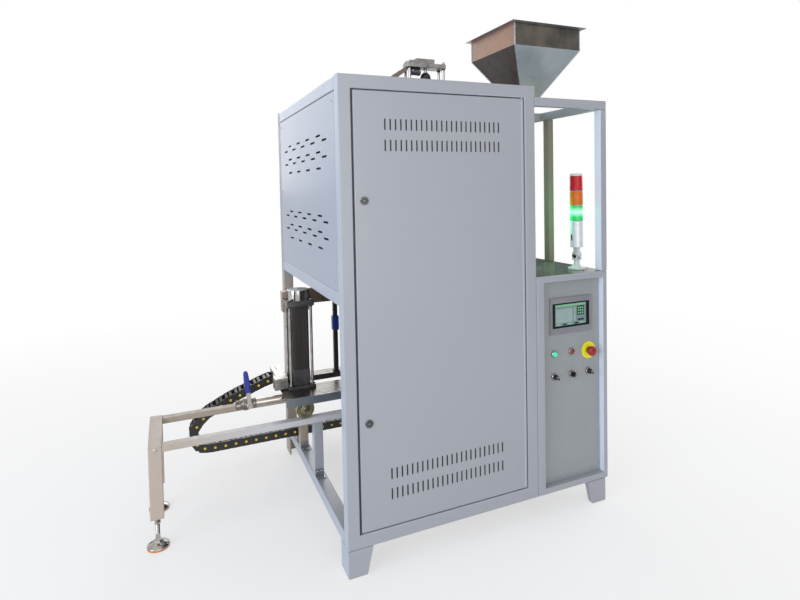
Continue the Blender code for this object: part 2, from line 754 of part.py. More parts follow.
def cover_panels():
    """Folded covers of the chamber on the left, right and rear, each standing on its rail."""
    base = SHELF + SEAT
    top = BAY_TOP - PANEL_GAP
    front = BAY_FRONT + PANEL_GAP
    back = BAY_REAR - PANEL_GAP
    left = tray((PANEL_FRONT, front, base), (PANEL_FRONT + PANEL_RETURN, back, top), SHEET, "X", 1)
    slots = []
    for share in (UPPER_SLOTS_SHARE, LOWER_SLOTS_SHARE):
        slots += slot_boxes(SHELF + PANEL_HEIGHT * share)
    piece("left_panel", carve(left, blocks(slots)), POWDER_WHITE)
    outer = CABINET_WIDTH - PANEL_FRONT
    right = tray((outer - PANEL_RETURN, front, base), (outer, back, top), SHEET, "X", -1)
    hole_start = (outer - PANEL_RETURN - OVERRUN, FEED_Y, FEED_Z)
    hole = rod(hole_start, (outer + OVERRUN, FEED_Y, FEED_Z), FEED_RADIUS + RUNNING_GAP)
    piece("right_panel", carve(right, hole), POWDER_WHITE)
    outer = CABINET_DEPTH - PANEL_FRONT
    rear_low = (BAY_LEFT + PANEL_GAP, outer - PANEL_RETURN, base)
    rear_high = (BAY_RIGHT - PANEL_GAP, outer, top)
    piece("rear_panel", tray(rear_low, rear_high, SHEET, "Y", -1), POWDER_WHITE)


def roof_and_floor():
    """The roof sheet between the top rails and the sheet that lies on the chamber rails."""
    low = (BAY_LEFT + SEAT, BAY_FRONT + SEAT, ROOF_TOP - ROOF_SHEET)
    high = (BAY_RIGHT - SEAT, BAY_REAR - SEAT, ROOF_TOP)
    hole_low = (FURNACE_X, FURNACE_Y, ROOF_TOP - ROOF_SHEET - OVERRUN)
    hole_high = (FURNACE_X, FURNACE_Y, ROOF_TOP + OVERRUN)
    piece("roof_panel", carve(block(low, high), rod(hole_low, hole_high, ROOF_HOLE_RADIUS)), POWDER_WHITE)
    edge = PANEL_FRONT + PANEL_RETURN + FLOOR_EDGE_GAP
    low = (edge, BAY_FRONT + SEAT, SHELF + SEAT)
    high = (CABINET_WIDTH - edge, BAY_REAR - SEAT, FLOOR_TOP)
    hole_low = (FURNACE_X, FURNACE_Y, SHELF - OVERRUN)
    hole_high = (FURNACE_X, FURNACE_Y, FLOOR_TOP + OVERRUN)
    hole = rod(hole_low, hole_high, SPOUT_RADIUS + SPOUT_CLEARANCE)
    piece("chamber_floor", carve(block(low, high), hole), GALVANISED)


def door():
    """Inset sheet door with vent rows, lock holes and pivot holes, hinged on its right edge."""
    low = (DOOR_LEFT, DOOR_FRONT, DOOR_BASE)
    high = (DOOR_RIGHT, DOOR_BACK, DOOR_TOP)
    pan = tray(low, high, SHEET, "Y", 1)
    middle = (DOOR_LEFT + DOOR_RIGHT) / 2
    rows = []
    for step in (0, VENT_ROW_STEP):
        rows.append(DOOR_TOP - VENT_EDGE - step)
        rows.append(DOOR_BASE + VENT_EDGE + step)
    vents = []
    for height in rows:
        for index in range(VENT_COUNT):
            x = middle + (index - (VENT_COUNT - 1) / 2) * VENT_PITCH
            vent_low = (x - VENT_WIDTH / 2, DOOR_FRONT - OVERRUN, height - VENT_HEIGHT / 2)
            vent_high = (x + VENT_WIDTH / 2, DOOR_FRONT + OVERRUN, height + VENT_HEIGHT / 2)
            vents.append((vent_low, vent_high))
    holes = []
    for height in lock_heights():
        start = (LOCK_X, DOOR_FRONT - OVERRUN, height)
        end = (LOCK_X, DOOR_FRONT + OVERRUN, height)
        holes.append(rod(start, end, LOCK_BARREL_RADIUS + RUNNING_GAP))
    for height in (DOOR_BASE, DOOR_TOP):
        start = (PIVOT_X, PIVOT_Y, height - OVERRUN)
        end = (PIVOT_X, PIVOT_Y, height + OVERRUN)
        holes.append(rod(start, end, PIN_RADIUS + SEAT, FEW_SIDES))
    piece("door", carve(pan, blocks(vents), *holes), POWDER_WHITE, (PIVOT_X, PIVOT_Y, 0))


def lock_heights():
    return DOOR_TOP - LOCK_FROM_TOP, DOOR_BASE + LOCK_FROM_BASE


def locks():
    """Two quarter-turn locks; each cam hangs down at rest and turns behind the stop lip."""
    cam_front = LIP_BACK + CAM_CLEARANCE
    for name, height in zip(("upper_lock", "lower_lock"), lock_heights()):
        seat = DOOR_FRONT - SEAT
        profile = [(LOCK_RING_RADIUS, 0), (LOCK_RING_RADIUS, LOCK_RING_HEIGHT)]
        head_base = (LOCK_X, seat - LOCK_RING_HEIGHT, height)
        head = turned(profile, head_base, (0, 1, 0))
        start = (LOCK_X, seat - BITE, height)
        barrel = rod(start, (LOCK_X, cam_front + CAM_THICKNESS, height), LOCK_BARREL_RADIUS, FEW_SIDES)
        cam_low = (LOCK_X - CAM_WIDTH / 2, cam_front, height - CAM_LENGTH)
        cam = block(cam_low, (LOCK_X + CAM_WIDTH / 2, cam_front + CAM_THICKNESS - SEAT, height))
        piece(name, fuse(head, barrel, cam), BRIGHT_STEEL, (LOCK_X, 0, height), smooth=True)


def lining():
    """Insulating block with the round chamber, and the lid on top of it."""
    left = FURNACE_X - LINING_WIDTH / 2
    right = FURNACE_X + LINING_WIDTH / 2
    front = FURNACE_Y - LINING_DEPTH / 2
    back = FURNACE_Y + LINING_DEPTH / 2
    lower = block((left, front, LINING_FOOT), (right, back, LINING_TOP))
    cavity_end = (FURNACE_X, FURNACE_Y, LINING_TOP + OVERRUN)
    cavity = rod((FURNACE_X, FURNACE_Y, CAVITY_FLOOR), cavity_end, CAVITY_RADIUS, LARGE_SIDES)
    drain_start = (FURNACE_X, FURNACE_Y, LINING_FOOT - OVERRUN)
    drain_end = (FURNACE_X, FURNACE_Y, CAVITY_FLOOR + OVERRUN)
    drain = rod(drain_start, drain_end, SPOUT_RADIUS + SPOUT_CLEARANCE)
    piece("lining", carve(lower, cavity, drain), FIRE_BRICK)
    lid = block((left, front, LID_BASE), (right, back, LID_TOP))
    rod_hole_start = (FURNACE_X, FURNACE_Y, LID_BASE - OVERRUN)
    rod_hole_end = (FURNACE_X, FURNACE_Y, LID_TOP + OVERRUN)
    holes = [rod(rod_hole_start, rod_hole_end, STOPPER_RADIUS + STOPPER_CLEARANCE, FEW_SIDES)]
    holes.append(drop_rod(DROP_RADIUS + RUNNING_GAP, OVERRUN))
    for angle in heater_ends():
        x, y = heater_place(angle)
        start = (x, y, LID_BASE - OVERRUN)
        holes.append(rod(start, (x, y, LID_TOP + OVERRUN), HEATER_RADIUS + HEATER_CLEARANCE, FEW_SIDES))
    piece("lining_lid", carve(lid, *holes), FIRE_BRICK)


def drop_rod(radius, past):
    """A bar down the slanted drop pipe, from the feed tube to the lid's underside and past it."""
    top = Vector((FURNACE_X, FEED_Y, FEED_Z))
    end = Vector((FURNACE_X, FURNACE_Y - DROP_AIM, LID_BASE))
    return rod(top, end + (end - top).normalized() * past, radius, FEW_SIDES)


def heater_place(angle):
    x = FURNACE_X + HEATER_RING_RADIUS * math.cos(angle)
    return x, FURNACE_Y + HEATER_RING_RADIUS * math.sin(angle)


def heater_angle(index):
    """Angle of one leg; the first and last stand side by side at the rear."""
    return math.pi / 2 + math.tau * (index + 0.5) / HEATER_LEGS


def heater_ends():
    return heater_angle(0), heater_angle(HEATER_LEGS - 1)


def heater():
    """One heating rod that runs up and down round the crucible, with both ends out of the lid."""
    base = CAVITY_FLOOR + HEATER_LIFT
    top = LINING_TOP - HEATER_HEADROOM
    points = []
    for index in range(HEATER_LEGS):
        x, y = heater_place(heater_angle(index))
        down = [(x, y, top), (x, y, base)]
        points += down if index % 2 == 0 else down[::-1]
    end = LID_TOP + HEATER_TAIL
    points[0] = (*points[0][:2], end)
    points[-1] = (*points[-1][:2], end)
    curve = bpy.data.curves.new("heater", "CURVE")
    curve.dimensions = "3D"
    curve.bevel_depth = HEATER_RADIUS
    curve.bevel_resolution = 1
    curve.use_fill_caps = True
    line = curve.splines.new("POLY")
    line.points.add(len(points) - 1)
    for spot, point in zip(line.points, points):
        spot.co = (*point, 1)
    obj = bpy.data.objects.new("heater", curve)
    bpy.context.scene.collection.objects.link(obj)
    obj.parent = bpy.data.objects["furnace_datum"]
    curve.materials.append(finish_material(HEATING_ALLOY))


def crucible():
    """Crucible with a drain spout through the floor; its bore is shut by the stopper rod."""
    inner = CRUCIBLE_RADIUS - CRUCIBLE_WALL
    spout_end = SHELF - SPOUT_REACH - CRUCIBLE_FOOT
    profile = [(SPOUT_RADIUS, spout_end), (SPOUT_RADIUS, 0), (CRUCIBLE_RADIUS, 0)]
    profile += [(CRUCIBLE_RADIUS, CRUCIBLE_HEIGHT), (inner, CRUCIBLE_HEIGHT)]
    profile += [(inner, CRUCIBLE_BASE), (SPOUT_BORE_RADIUS, CRUCIBLE_BASE)]
    profile += [(SPOUT_BORE_RADIUS, spout_end)]
    pot = turned(profile, (FURNACE_X, FURNACE_Y, CRUCIBLE_FOOT), (0, 0, 1), LARGE_SIDES, True)
    piece("crucible", pot, CERAMIC, smooth=True)


def stopper_rod():
    """Stopper rod with its clamp head and the drive's piston neck, which slide up together."""
    clamp_base = CLAMP_TOP - CLAMP_HEIGHT
    profile = [(STOPPER_RADIUS, 0), (STOPPER_RADIUS, clamp_base - STOPPER_FOOT)]
    for radius_share, height_share in CLAMP_SHARES:
        height = clamp_base + CLAMP_HEIGHT * height_share - STOPPER_FOOT
        profile.append((CLAMP_RADIUS * radius_share, height))
    profile.append((NECK_RADIUS, CLAMP_TOP - STOPPER_FOOT + HALF_BITE))
    profile.append((NECK_RADIUS, BRIDGE_BASE + NECK_REACH - STOPPER_FOOT))
    shape = turned(profile, (FURNACE_X, FURNACE_Y, STOPPER_FOOT), (0, 0, 1))
    piece("stopper_rod", shape, CERAMIC, (FURNACE_X, FURNACE_Y, STOPPER_FOOT), smooth=True)


def stopper_drive():
    """Four columns with a bridge and air cylinder on the roof, and the cable duct beside them."""
    base = ROOF_TOP + SEAT
    back = STAND_FRONT + STAND_SPACING
    edge = STAND_FLANGE_EDGE
    low = (STAND_LEFT - edge, STAND_FRONT - edge, base)
    flange = block(low, (STAND_RIGHT + edge, back + edge, base + STAND_FLANGE))
    low = (STAND_LEFT - BRIDGE_EDGE, STAND_FRONT - BRIDGE_EDGE, BRIDGE_BASE)
    bridge = block(low, (STAND_RIGHT + BRIDGE_EDGE, back + BRIDGE_EDGE, BRIDGE_TOP))
    parts = [bridge]
    block_left = FURNACE_X - BLOCK_LEFT_OFFSET
    low = (block_left, STAND_FRONT - BRIDGE_EDGE + BITE, BRIDGE_TOP - BITE)
    high = (block_left + BLOCK_WIDTH, back + BRIDGE_EDGE - BITE, BRIDGE_TOP + BLOCK_HEIGHT)
    parts.append(block(low, high))
    for x in (STAND_LEFT, STAND_RIGHT):
        for y in (STAND_FRONT, back):
            tip = (x, y, BRIDGE_TOP + COLUMN_TIP)
            parts.append(rod((x, y, base + BITE), tip, COLUMN_RADIUS, FEW_SIDES))
    middle = STAND_FRONT + STAND_SPACING / 2
    cylinder_z = BRIDGE_BASE - CYLINDER_RADIUS + BITE
    start = (STAND_LEFT + BRIDGE_EDGE, middle, cylinder_z)
    end = (STAND_LEFT + BRIDGE_EDGE + CYLINDER_LENGTH, middle, cylinder_z)
    parts.append(rod(start, end, CYLINDER_RADIUS))
    duct_top = BRIDGE_TOP - DUCT_TOP_DROP
    duct_right = STAND_LEFT - COLUMN_RADIUS
    outline = [(duct_right - DUCT_RUN, 0, base), (duct_right - DUCT_RUN + DUCT_FOOT, 0, base)]
    outline += [(duct_right, 0, duct_top - DUCT_THICKNESS), (duct_right, 0, duct_top)]
    outline = [(x, middle - DUCT_WIDTH / 2, z) for x, _, z in outline]
    duct = prism(outline, (0, 0, 0), (0, DUCT_WIDTH, 0))
    tie_low = (duct_right - BITE, middle - DUCT_WIDTH / 2 + BITE, BRIDGE_BASE)
    tie_high = (STAND_LEFT, middle + DUCT_WIDTH / 2 - BITE, duct_top - BITE)
    shape = fuse(flange, *parts, duct, block(tie_low, tie_high))
    hole_base = (FURNACE_X, FURNACE_Y, base - OVERRUN)
    flange_hole = rod(hole_base, (FURNACE_X, FURNACE_Y, base + STAND_FLANGE + OVERRUN), ROOF_HOLE_RADIUS)
    bore_base = (FURNACE_X, FURNACE_Y, BRIDGE_BASE - OVERRUN)
    bore_top = (FURNACE_X, FURNACE_Y, BRIDGE_TOP + BLOCK_HEIGHT + OVERRUN)
    bore = rod(bore_base, bore_top, NECK_RADIUS + RUNNING_GAP)
    piece("stopper_drive", carve(shape, flange_hole, bore), GALVANISED)


def control_cabinet():
    """Sheet box with a welded face frame and two feet; the front plate closes it."""
    low = (CONTROL_LEFT, 0, FRAME_BASE)
    high = (CONTROL_RIGHT, CABINET_DEPTH, CONTROL_TOP)
    shell = block(low, high)
    wall = CONTROL_WALL
    inner_low = (low[0] + wall, FACE_DEPTH, low[2] + wall)
    inner_high = (high[0] - wall, high[1] - wall, high[2] - wall)
    opening_low = (FACE_LEFT, -OVERRUN, FACE_BASE)
    opening_high = (FACE_RIGHT, FACE_DEPTH + OVERRUN, FACE_TOP)
    foot_right = CONTROL_RIGHT - FOOT_INSET
    feet = [foot(foot_right, -1, 0, 1), foot(foot_right, -1, CABINET_DEPTH, -1)]
    shell = fuse(shell, *feet)
    shell = carve(shell, block(inner_low, inner_high), block(opening_low, opening_high))
    piece("control_cabinet", shell, POWDER_WHITE)


def panel_place(column, drop):
    """Centre of a device on the front plate, as X and Z."""
    return FACE_LEFT + BUTTON_LEFT + column * BUTTON_STEP, FACE_TOP - drop


def control_panel():
    """Front plate with the device rings, the emergency stop's disc and the screen's cut-out."""
    low = (PLATE_LEFT, PLATE_FRONT, PLATE_BASE)
    plate = block(low, (PLATE_RIGHT, PLATE_BACK, PLATE_TOP))
    rings = []
    holes = []
    for column, drop, outer, proud in panel_devices():
        x, z = panel_place(column, drop)
        front = (x, PLATE_FRONT - proud, z)
        rings.append(rod(front, (x, PLATE_BACK - HALF_BITE, z), outer))
        start = (x, PLATE_FRONT - proud - OVERRUN, z)
        holes.append(rod(start, (x, PLATE_BACK + OVERRUN, z), BUTTON_RADIUS + RUNNING_GAP))
    cut_low = (screen_left() + SCREEN_BORDER, PLATE_FRONT - OVERRUN, screen_base() + SCREEN_BORDER)
    cut_high = (screen_left() + SCREEN_WIDTH - SCREEN_BORDER, PLATE_BACK + OVERRUN)
    cut_high += (screen_base() + SCREEN_HEIGHT - SCREEN_BORDER,)
    shape = carve(fuse(plate, *rings), *holes, block(cut_low, cut_high))
    piece("control_panel", shape, POWDER_WHITE)


def panel_devices():
    """Column, drop from the opening's top, ring radius and the ring's height, for six devices."""
    devices = [(0, BUTTON_DROP, RING_RADIUS, RING_PROUD), (1, BUTTON_DROP, RING_RADIUS, RING_PROUD)]
    devices.append((2, BUTTON_DROP + STOP_DROP, STOP_DISC_RADIUS, STOP_DISC_PROUD))
    for column in range(3):
        devices.append((column, SELECTOR_DROP, RING_RADIUS, RING_PROUD))
    return devices


def screen_left():
    return FACE_LEFT + SCREEN_LEFT


def screen_base():
    return FACE_TOP - SCREEN_DROP - SCREEN_HEIGHT


def touch_screen():
    """Operator screen: a bezel in front of the plate and a body through the cut-out."""
    left = screen_left()
    base = screen_base()
    low = (left, PLATE_FRONT - SEAT - SCREEN_PROUD, base)
    bezel = block(low, (left + SCREEN_WIDTH, PLATE_FRONT - SEAT, base + SCREEN_HEIGHT))
    edge = SCREEN_BORDER + SEAT
    low = (left + edge, PLATE_FRONT - SEAT - BITE, base + edge)
    high = (left + SCREEN_WIDTH - edge, SCREEN_DEPTH, base + SCREEN_HEIGHT - edge)
    piece("touch_screen", fuse(bezel, block(low, high)), GREY_PLASTIC)


def device_axis(column, drop):
    x, z = panel_place(column, drop)
    return x, PLATE_FRONT, z


def push_button(name, column, finish):
    """Plunger with a collar behind the plate that keeps it in."""
    pivot = device_axis(column, BUTTON_DROP)
    front = -BUTTON_PROUD
    collar = PLATE_SHEET + SEAT
    profile = [(BUTTON_RADIUS * BUTTON_FACE_SHARE, front), (BUTTON_RADIUS, front + HALF_BITE)]
    profile += [(BUTTON_RADIUS, collar)]
    profile += [(COLLAR_RADIUS, collar), (COLLAR_RADIUS, collar + COLLAR_THICKNESS)]
    profile += [(BUTTON_RADIUS, collar + COLLAR_THICKNESS), (BUTTON_RADIUS, BUTTON_DEPTH)]
    piece(name, turned(profile, pivot, (0, 1, 0)), finish, pivot, smooth=True)


def emergency_stop():
    """Mushroom head on a stem, pushed in to stop."""
    pivot = device_axis(2, BUTTON_DROP + STOP_DROP)
    back = -RING_PROUD - STOP_STEM_REACH
    front = back - STOP_HEAD_HEIGHT
    rim, crown = [front + STOP_HEAD_HEIGHT * share for share in STOP_DOME_SHARES]
    edge = STOP_HEAD_RADIUS * STOP_EDGE_SHARE
    profile = [(STOP_HEAD_RADIUS * STOP_FACE_SHARE, front), (edge, rim)]
    profile += [(STOP_HEAD_RADIUS, crown), (edge, back)]
    profile += [(BUTTON_RADIUS, back), (BUTTON_RADIUS, BUTTON_DEPTH)]
    piece("emergency_stop", turned(profile, pivot, (0, 1, 0)), RED_LENS, pivot, smooth=True)


def selector(name, column, lean):
    """Selector knob: a round base with a bar handle that leans to one side at rest."""
    pivot = device_axis(column, SELECTOR_DROP)
    seat = -RING_PROUD - SEAT
    profile = [(KNOB_RADIUS, seat - KNOB_PROUD), (KNOB_RADIUS, seat), (BUTTON_RADIUS, seat)]
    profile += [(BUTTON_RADIUS, BUTTON_DEPTH)]
    knob = turned(profile, pivot, (0, 1, 0))
    reach = KNOB_RADIUS - HALF_BITE
    low = (-HANDLE_WIDTH / 2, seat - KNOB_PROUD - HANDLE_PROUD, -reach)
    handle = block(low, (HANDLE_WIDTH / 2, seat - KNOB_PROUD + BITE, reach))
    handle.data.transform(Matrix.Translation(pivot) @ Matrix.Rotation(lean, 4, "Y"))
    piece(name, fuse(knob, handle), BLACK_PLASTIC, pivot, smooth=True)


def control_gear():
    """Mounting plate with the transformer, contactors and power controller on it."""
    left = CONTROL_LEFT + CONTROL_WALL + SEAT
    right = CONTROL_RIGHT - CONTROL_WALL - SEAT
    base = FRAME_BASE + CONTROL_WALL + SEAT
    top = CONTROL_TOP - CONTROL_WALL - GEAR_EDGE
    plate_y = CABINET_DEPTH - GEAR_PLATE_DEPTH
    plate = block((left, plate_y, base), (right, plate_y + GEAR_PLATE_SHEET, top))
    width = right - left - 2 * GEAR_EDGE
    step = (top - base - GEAR_EDGE) / len(GEAR_DEPTH_SHARES)
    units = []
    for index, share in enumerate(GEAR_DEPTH_SHARES):
        foot_z = base + GEAR_EDGE + index * step
        low = (left + GEAR_EDGE, plate_y - GEAR_TALL * share, foot_z)
        high = (left + GEAR_EDGE + width * share, plate_y + BITE, foot_z + step - GEAR_EDGE)
        units.append(block(low, high))
    piece("control_gear", fuse(plate, *units), GREY_PLASTIC)


def gantry():
    """Posts on the control cabinet and the top frame that carries the feeder's side."""
    rail_base = GANTRY_TOP - GANTRY_RAIL_HEIGHT
    post_base = CONTROL_TOP + SEAT
    left = CONTROL_RIGHT - POST_WIDTH
    for name, y in (("hopper_frame_front_post", 0), ("hopper_frame_mid_post", MID_POST_Y)):
        bar(name, (left, y, post_base), (CONTROL_RIGHT, y + POST_DEPTH, rail_base - SEAT))
    side = block((left, 0, rail_base), (CONTROL_RIGHT, GANTRY_DEPTH, GANTRY_TOP))
    rails = []
    feed_back = FEED_Y + FEED_RADIUS + SEAT
    for y in (0, feed_back, GANTRY_DEPTH - POST_WIDTH):
        rails.append(block((CONTROL_LEFT, y, rail_base), (left + BITE, y + POST_WIDTH, GANTRY_TOP)))
    piece("hopper_frame_top", fuse(side, *rails), POWDER_WHITE)


def hopper():
    """Sheet hopper: a square band with an out-turned rim over a funnel and a short outlet."""
    def section(left, front, width, depth, inset, z):
        low = (left + inset, front + inset)
        return corner_loop(low, (left + width - inset, front + depth - inset), z)

    outlet = (OUTLET_X - OUTLET_WIDTH / 2, FEED_Y - FEED_RADIUS, OUTLET_WIDTH, FEED_RADIUS * 2)
    band = (HOPPER_LEFT, HOPPER_FRONT, HOPPER_WIDTH, HOPPER_DEPTH)
    base = INLET_TOP + SEAT
    shoulder = HOPPER_TOP - HOPPER_BAND
    loops = [section(*outlet, 0, base), section(*outlet, 0, OUTLET_TOP), section(*band, 0, shoulder)]
    loops += [section(*band, 0, HOPPER_TOP - HOPPER_SHEET)]
    loops += [section(*band, -HOPPER_RIM, HOPPER_TOP - HOPPER_SHEET)]
    loops += [section(*band, -HOPPER_RIM, HOPPER_TOP), section(*band, HOPPER_SHEET, HOPPER_TOP)]
    loops += [section(*band, HOPPER_SHEET, shoulder), section(*outlet, HOPPER_SHEET, OUTLET_TOP)]
    loops += [section(*outlet, HOPPER_SHEET, base)]
    bm = bmesh.new()
    skin_loops(bm, loops, False)
    piece("hopper", temp_object(bm), GALVANISED)


def feeder():
    """Screw feeder: tube with inlet neck and drop pipe, the screw in it and its gear motor."""
    left_end = (FEED_LEFT, FEED_Y, FEED_Z)
    right_end = (FEED_RIGHT, FEED_Y, FEED_Z)
    tube = rod(left_end, right_end, FEED_RADIUS)
    half = OUTLET_WIDTH / 2
    neck_low = (OUTLET_X - half, FEED_Y - FEED_RADIUS, FEED_Z)
    neck = block(neck_low, (OUTLET_X + half, FEED_Y + FEED_RADIUS, INLET_TOP))
    edge = INLET_FLANGE
    flange_low = (OUTLET_X - half - edge, FEED_Y - FEED_RADIUS - edge, INLET_TOP - INLET_FLANGE_SHEET)
    flange_high = (OUTLET_X + half + edge, FEED_Y + FEED_RADIUS + edge, INLET_TOP)
    tube = fuse(tube, drop_rod(DROP_RADIUS, 0), neck, block(flange_low, flange_high))
    bore_left = (FEED_LEFT + FEED_WALL, FEED_Y, FEED_Z)
    bore_right = (FEED_RIGHT - FEED_WALL, FEED_Y, FEED_Z)
    inner = half - FEED_WALL
    inlet_low = (OUTLET_X - inner, FEED_Y - FEED_RADIUS + FEED_WALL, FEED_Z)
    inlet_high = (OUTLET_X + inner, FEED_Y + FEED_RADIUS - FEED_WALL, INLET_TOP + OVERRUN)
    journal_start = (FEED_LEFT - OVERRUN, FEED_Y, FEED_Z)
    journal_end = (FEED_RIGHT + OVERRUN, FEED_Y, FEED_Z)
    journal = rod(journal_start, journal_end, SCREW_SHAFT_RADIUS + SEAT, FEW_SIDES)
    bore = rod(bore_left, bore_right, FEED_RADIUS - FEED_WALL)
    tube = carve(tube, bore, drop_rod(DROP_BORE_RADIUS, OVERRUN), block(inlet_low, inlet_high), journal)
    piece("feeder_tube", tube, STAINLESS, smooth=True)
    feeder_screw()
    feeder_motor()


def feeder_screw():
    """Shaft with a helical fin: a finned outline turned step by step along the shaft."""
    start = FEED_LEFT + FEED_WALL + BITE
    end = FEED_RIGHT - FEED_WALL - BITE
    steps = max(2, round((end - start) / SCREW_PITCH * SCREW_STEPS))
    facet = math.tau / SCREW_SHAFT_SIDES
    outline = [(facet * index, SCREW_SHAFT_RADIUS) for index in range(SCREW_SHAFT_SIDES)]
    fin = [(facet * share, SCREW_RADIUS) for share in SCREW_FIN_SHARES]
    outline = outline[:1] + fin + outline[1:]

    def section(x, limit):
        turn = math.tau * (x - start) / SCREW_PITCH
        loop = []
        for angle, radius in outline:
            reach = min(radius, limit)
            y = FEED_Y + reach * math.cos(angle + turn)
            loop.append((x, y, FEED_Z + reach * math.sin(angle + turn)))
        return loop

    places = [start + (end - start) * step / steps for step in range(steps + 1)]
    loops = [section(x, SCREW_RADIUS) for x in places]
    shaft_left = section(start, SCREW_SHAFT_RADIUS)
    shaft_right = section(end, SCREW_SHAFT_RADIUS)
    reach_left = Vector((FEED_LEFT - SHAFT_GRIP - start, 0, 0))
    reach_right = Vector((FEED_RIGHT - SEAT - end, 0, 0))
    loops = [[Vector(point) + reach_left for point in shaft_left], shaft_left] + loops
    loops += [shaft_right, [Vector(point) + reach_right for point in shaft_right]]
    bm = bmesh.new()
    skin_loops(bm, loops, True)
    bmesh.ops.remove_doubles(bm, verts=bm.verts, dist=WELD_DISTANCE)
    piece("feeder_screw", temp_object(bm), STAINLESS, (FEED_LEFT, FEED_Y, FEED_Z))


def feeder_motor():
    """Gear motor on the tube's left end, standing on the chamber lid."""
    right = FEED_LEFT - SEAT
    half = MOTOR_SIZE / 2
    left = right - MOTOR_LENGTH
    body = block((left, FEED_Y - half, FEED_Z - half), (right, FEED_Y + half, FEED_Z + half))
    foot_left = right - MOTOR_FOOT_LENGTH
    foot_block = block((foot_left, FEED_Y - half, LID_TOP + SEAT), (right, FEED_Y + half, FEED_Z))
    bore_start = (right - SHAFT_GRIP - BITE, FEED_Y, FEED_Z)
    bore = rod(bore_start, (right + OVERRUN, FEED_Y, FEED_Z), SCREW_SHAFT_RADIUS + SEAT, FEW_SIDES)
    piece("feeder_motor", carve(fuse(body, foot_block), bore), DARK_STEEL)


def signal_tower():
    """Folding signal tower: a flanged fork on the plate and the lamp stack hinged in it."""
    base = CONTROL_TOP + SEAT
    foot_place = (TOWER_X, TOWER_Y, base)
    fork_base = TOWER_HINGE_Z - FORK_RADIUS - BITE
    profile = [(TOWER_FLANGE_RADIUS, 0), (TOWER_FLANGE_RADIUS, TOWER_FLANGE)]
    profile += [(TOWER_STEM_RADIUS, TOWER_FLANGE + BITE), (TOWER_STEM_RADIUS, fork_base - base)]
    stand = turned(profile, foot_place, (0, 0, 1))
    outer = FORK_INSIDE / 2 + FORK_CHEEK
    yoke_low = (TOWER_X - outer, TOWER_Y - FORK_RADIUS, fork_base - FORK_CHEEK)
    yoke = block(yoke_low, (TOWER_X + outer, TOWER_Y + FORK_RADIUS, fork_base))
    parts = [yoke]
    for side in (-1, 1):
        inner_x = TOWER_X + side * FORK_INSIDE / 2
        outer_x = TOWER_X + side * outer
        cheek_low = (min(inner_x, outer_x), TOWER_Y - FORK_RADIUS, fork_base - BITE)
        cheek_high = (max(inner_x, outer_x), TOWER_Y + FORK_RADIUS, TOWER_HINGE_Z)
        cheek = block(cheek_low, cheek_high)
        start = (inner_x, TOWER_Y, TOWER_HINGE_Z)
        parts.append(fuse(cheek, rod(start, (outer_x, TOWER_Y, TOWER_HINGE_Z), FORK_RADIUS)))
    pin_start = (TOWER_X - outer + BITE, TOWER_Y, TOWER_HINGE_Z)
    pin = rod(pin_start, (TOWER_X + outer - BITE, TOWER_Y, TOWER_HINGE_Z), HINGE_PIN_RADIUS, FEW_SIDES)
    piece("tower_base", fuse(stand, *parts, pin), POWDER_WHITE, smooth=True)
    tower_stack()


def tower_stack():
    """Lamp stack with its tongue: silver body, three lenses and a white cap."""
    pivot = (TOWER_X, TOWER_Y, TOWER_HINGE_Z)
    half = FORK_INSIDE / 2 - RUNNING_GAP
    radius = FORK_RADIUS - RUNNING_GAP
    tongue = rod((TOWER_X - half, *pivot[1:]), (TOWER_X + half, *pivot[1:]), radius)
    neck_low = (TOWER_X - half, TOWER_Y - radius, TOWER_HINGE_Z)
    neck = block(neck_low, (TOWER_X + half, TOWER_Y + radius, TOWER_BODY_BASE + BITE))
    profile = [(TOWER_BODY_RADIUS, 0), (TOWER_BODY_RADIUS, TOWER_BODY_HEIGHT)]
    low = TOWER_BODY_HEIGHT
    groove = TOWER_LENS_RADIUS - TOWER_GROOVE
    for height in TOWER_LENS_HEIGHTS:
        profile += [(groove, low), (groove, low + TOWER_GROOVE)]
        profile += [(TOWER_LENS_RADIUS, low + TOWER_GROOVE), (TOWER_LENS_RADIUS, low + height)]
        low += height
    profile += [(TOWER_BODY_RADIUS, low)]
    profile += [(TOWER_BODY_RADIUS * TOWER_CAP_SHARE, low + TOWER_CAP_HEIGHT)]
    stack = turned(profile, (TOWER_X, TOWER_Y, TOWER_BODY_BASE), (0, 0, 1))
    hole_reach = half + OVERRUN
    hole_start = (TOWER_X - hole_reach, *pivot[1:])
    hole = rod(hole_start, (TOWER_X + hole_reach, *pivot[1:]), HINGE_PIN_RADIUS + SEAT, FEW_SIDES)
    piece("tower_stack", carve(fuse(stack, neck, tongue), hole), GALVANISED, pivot, smooth=True)


def rail_side(name, centre_y):
    left = LEG_RIGHT + SEAT
    right = CABINET_WIDTH - TRACK_END_EDGE
    half = RAIL_WIDTH / 2
    bar(name, (left, centre_y - half, RAIL_BASE), (right, centre_y + half, RAIL_TOP), WARM_WHITE)


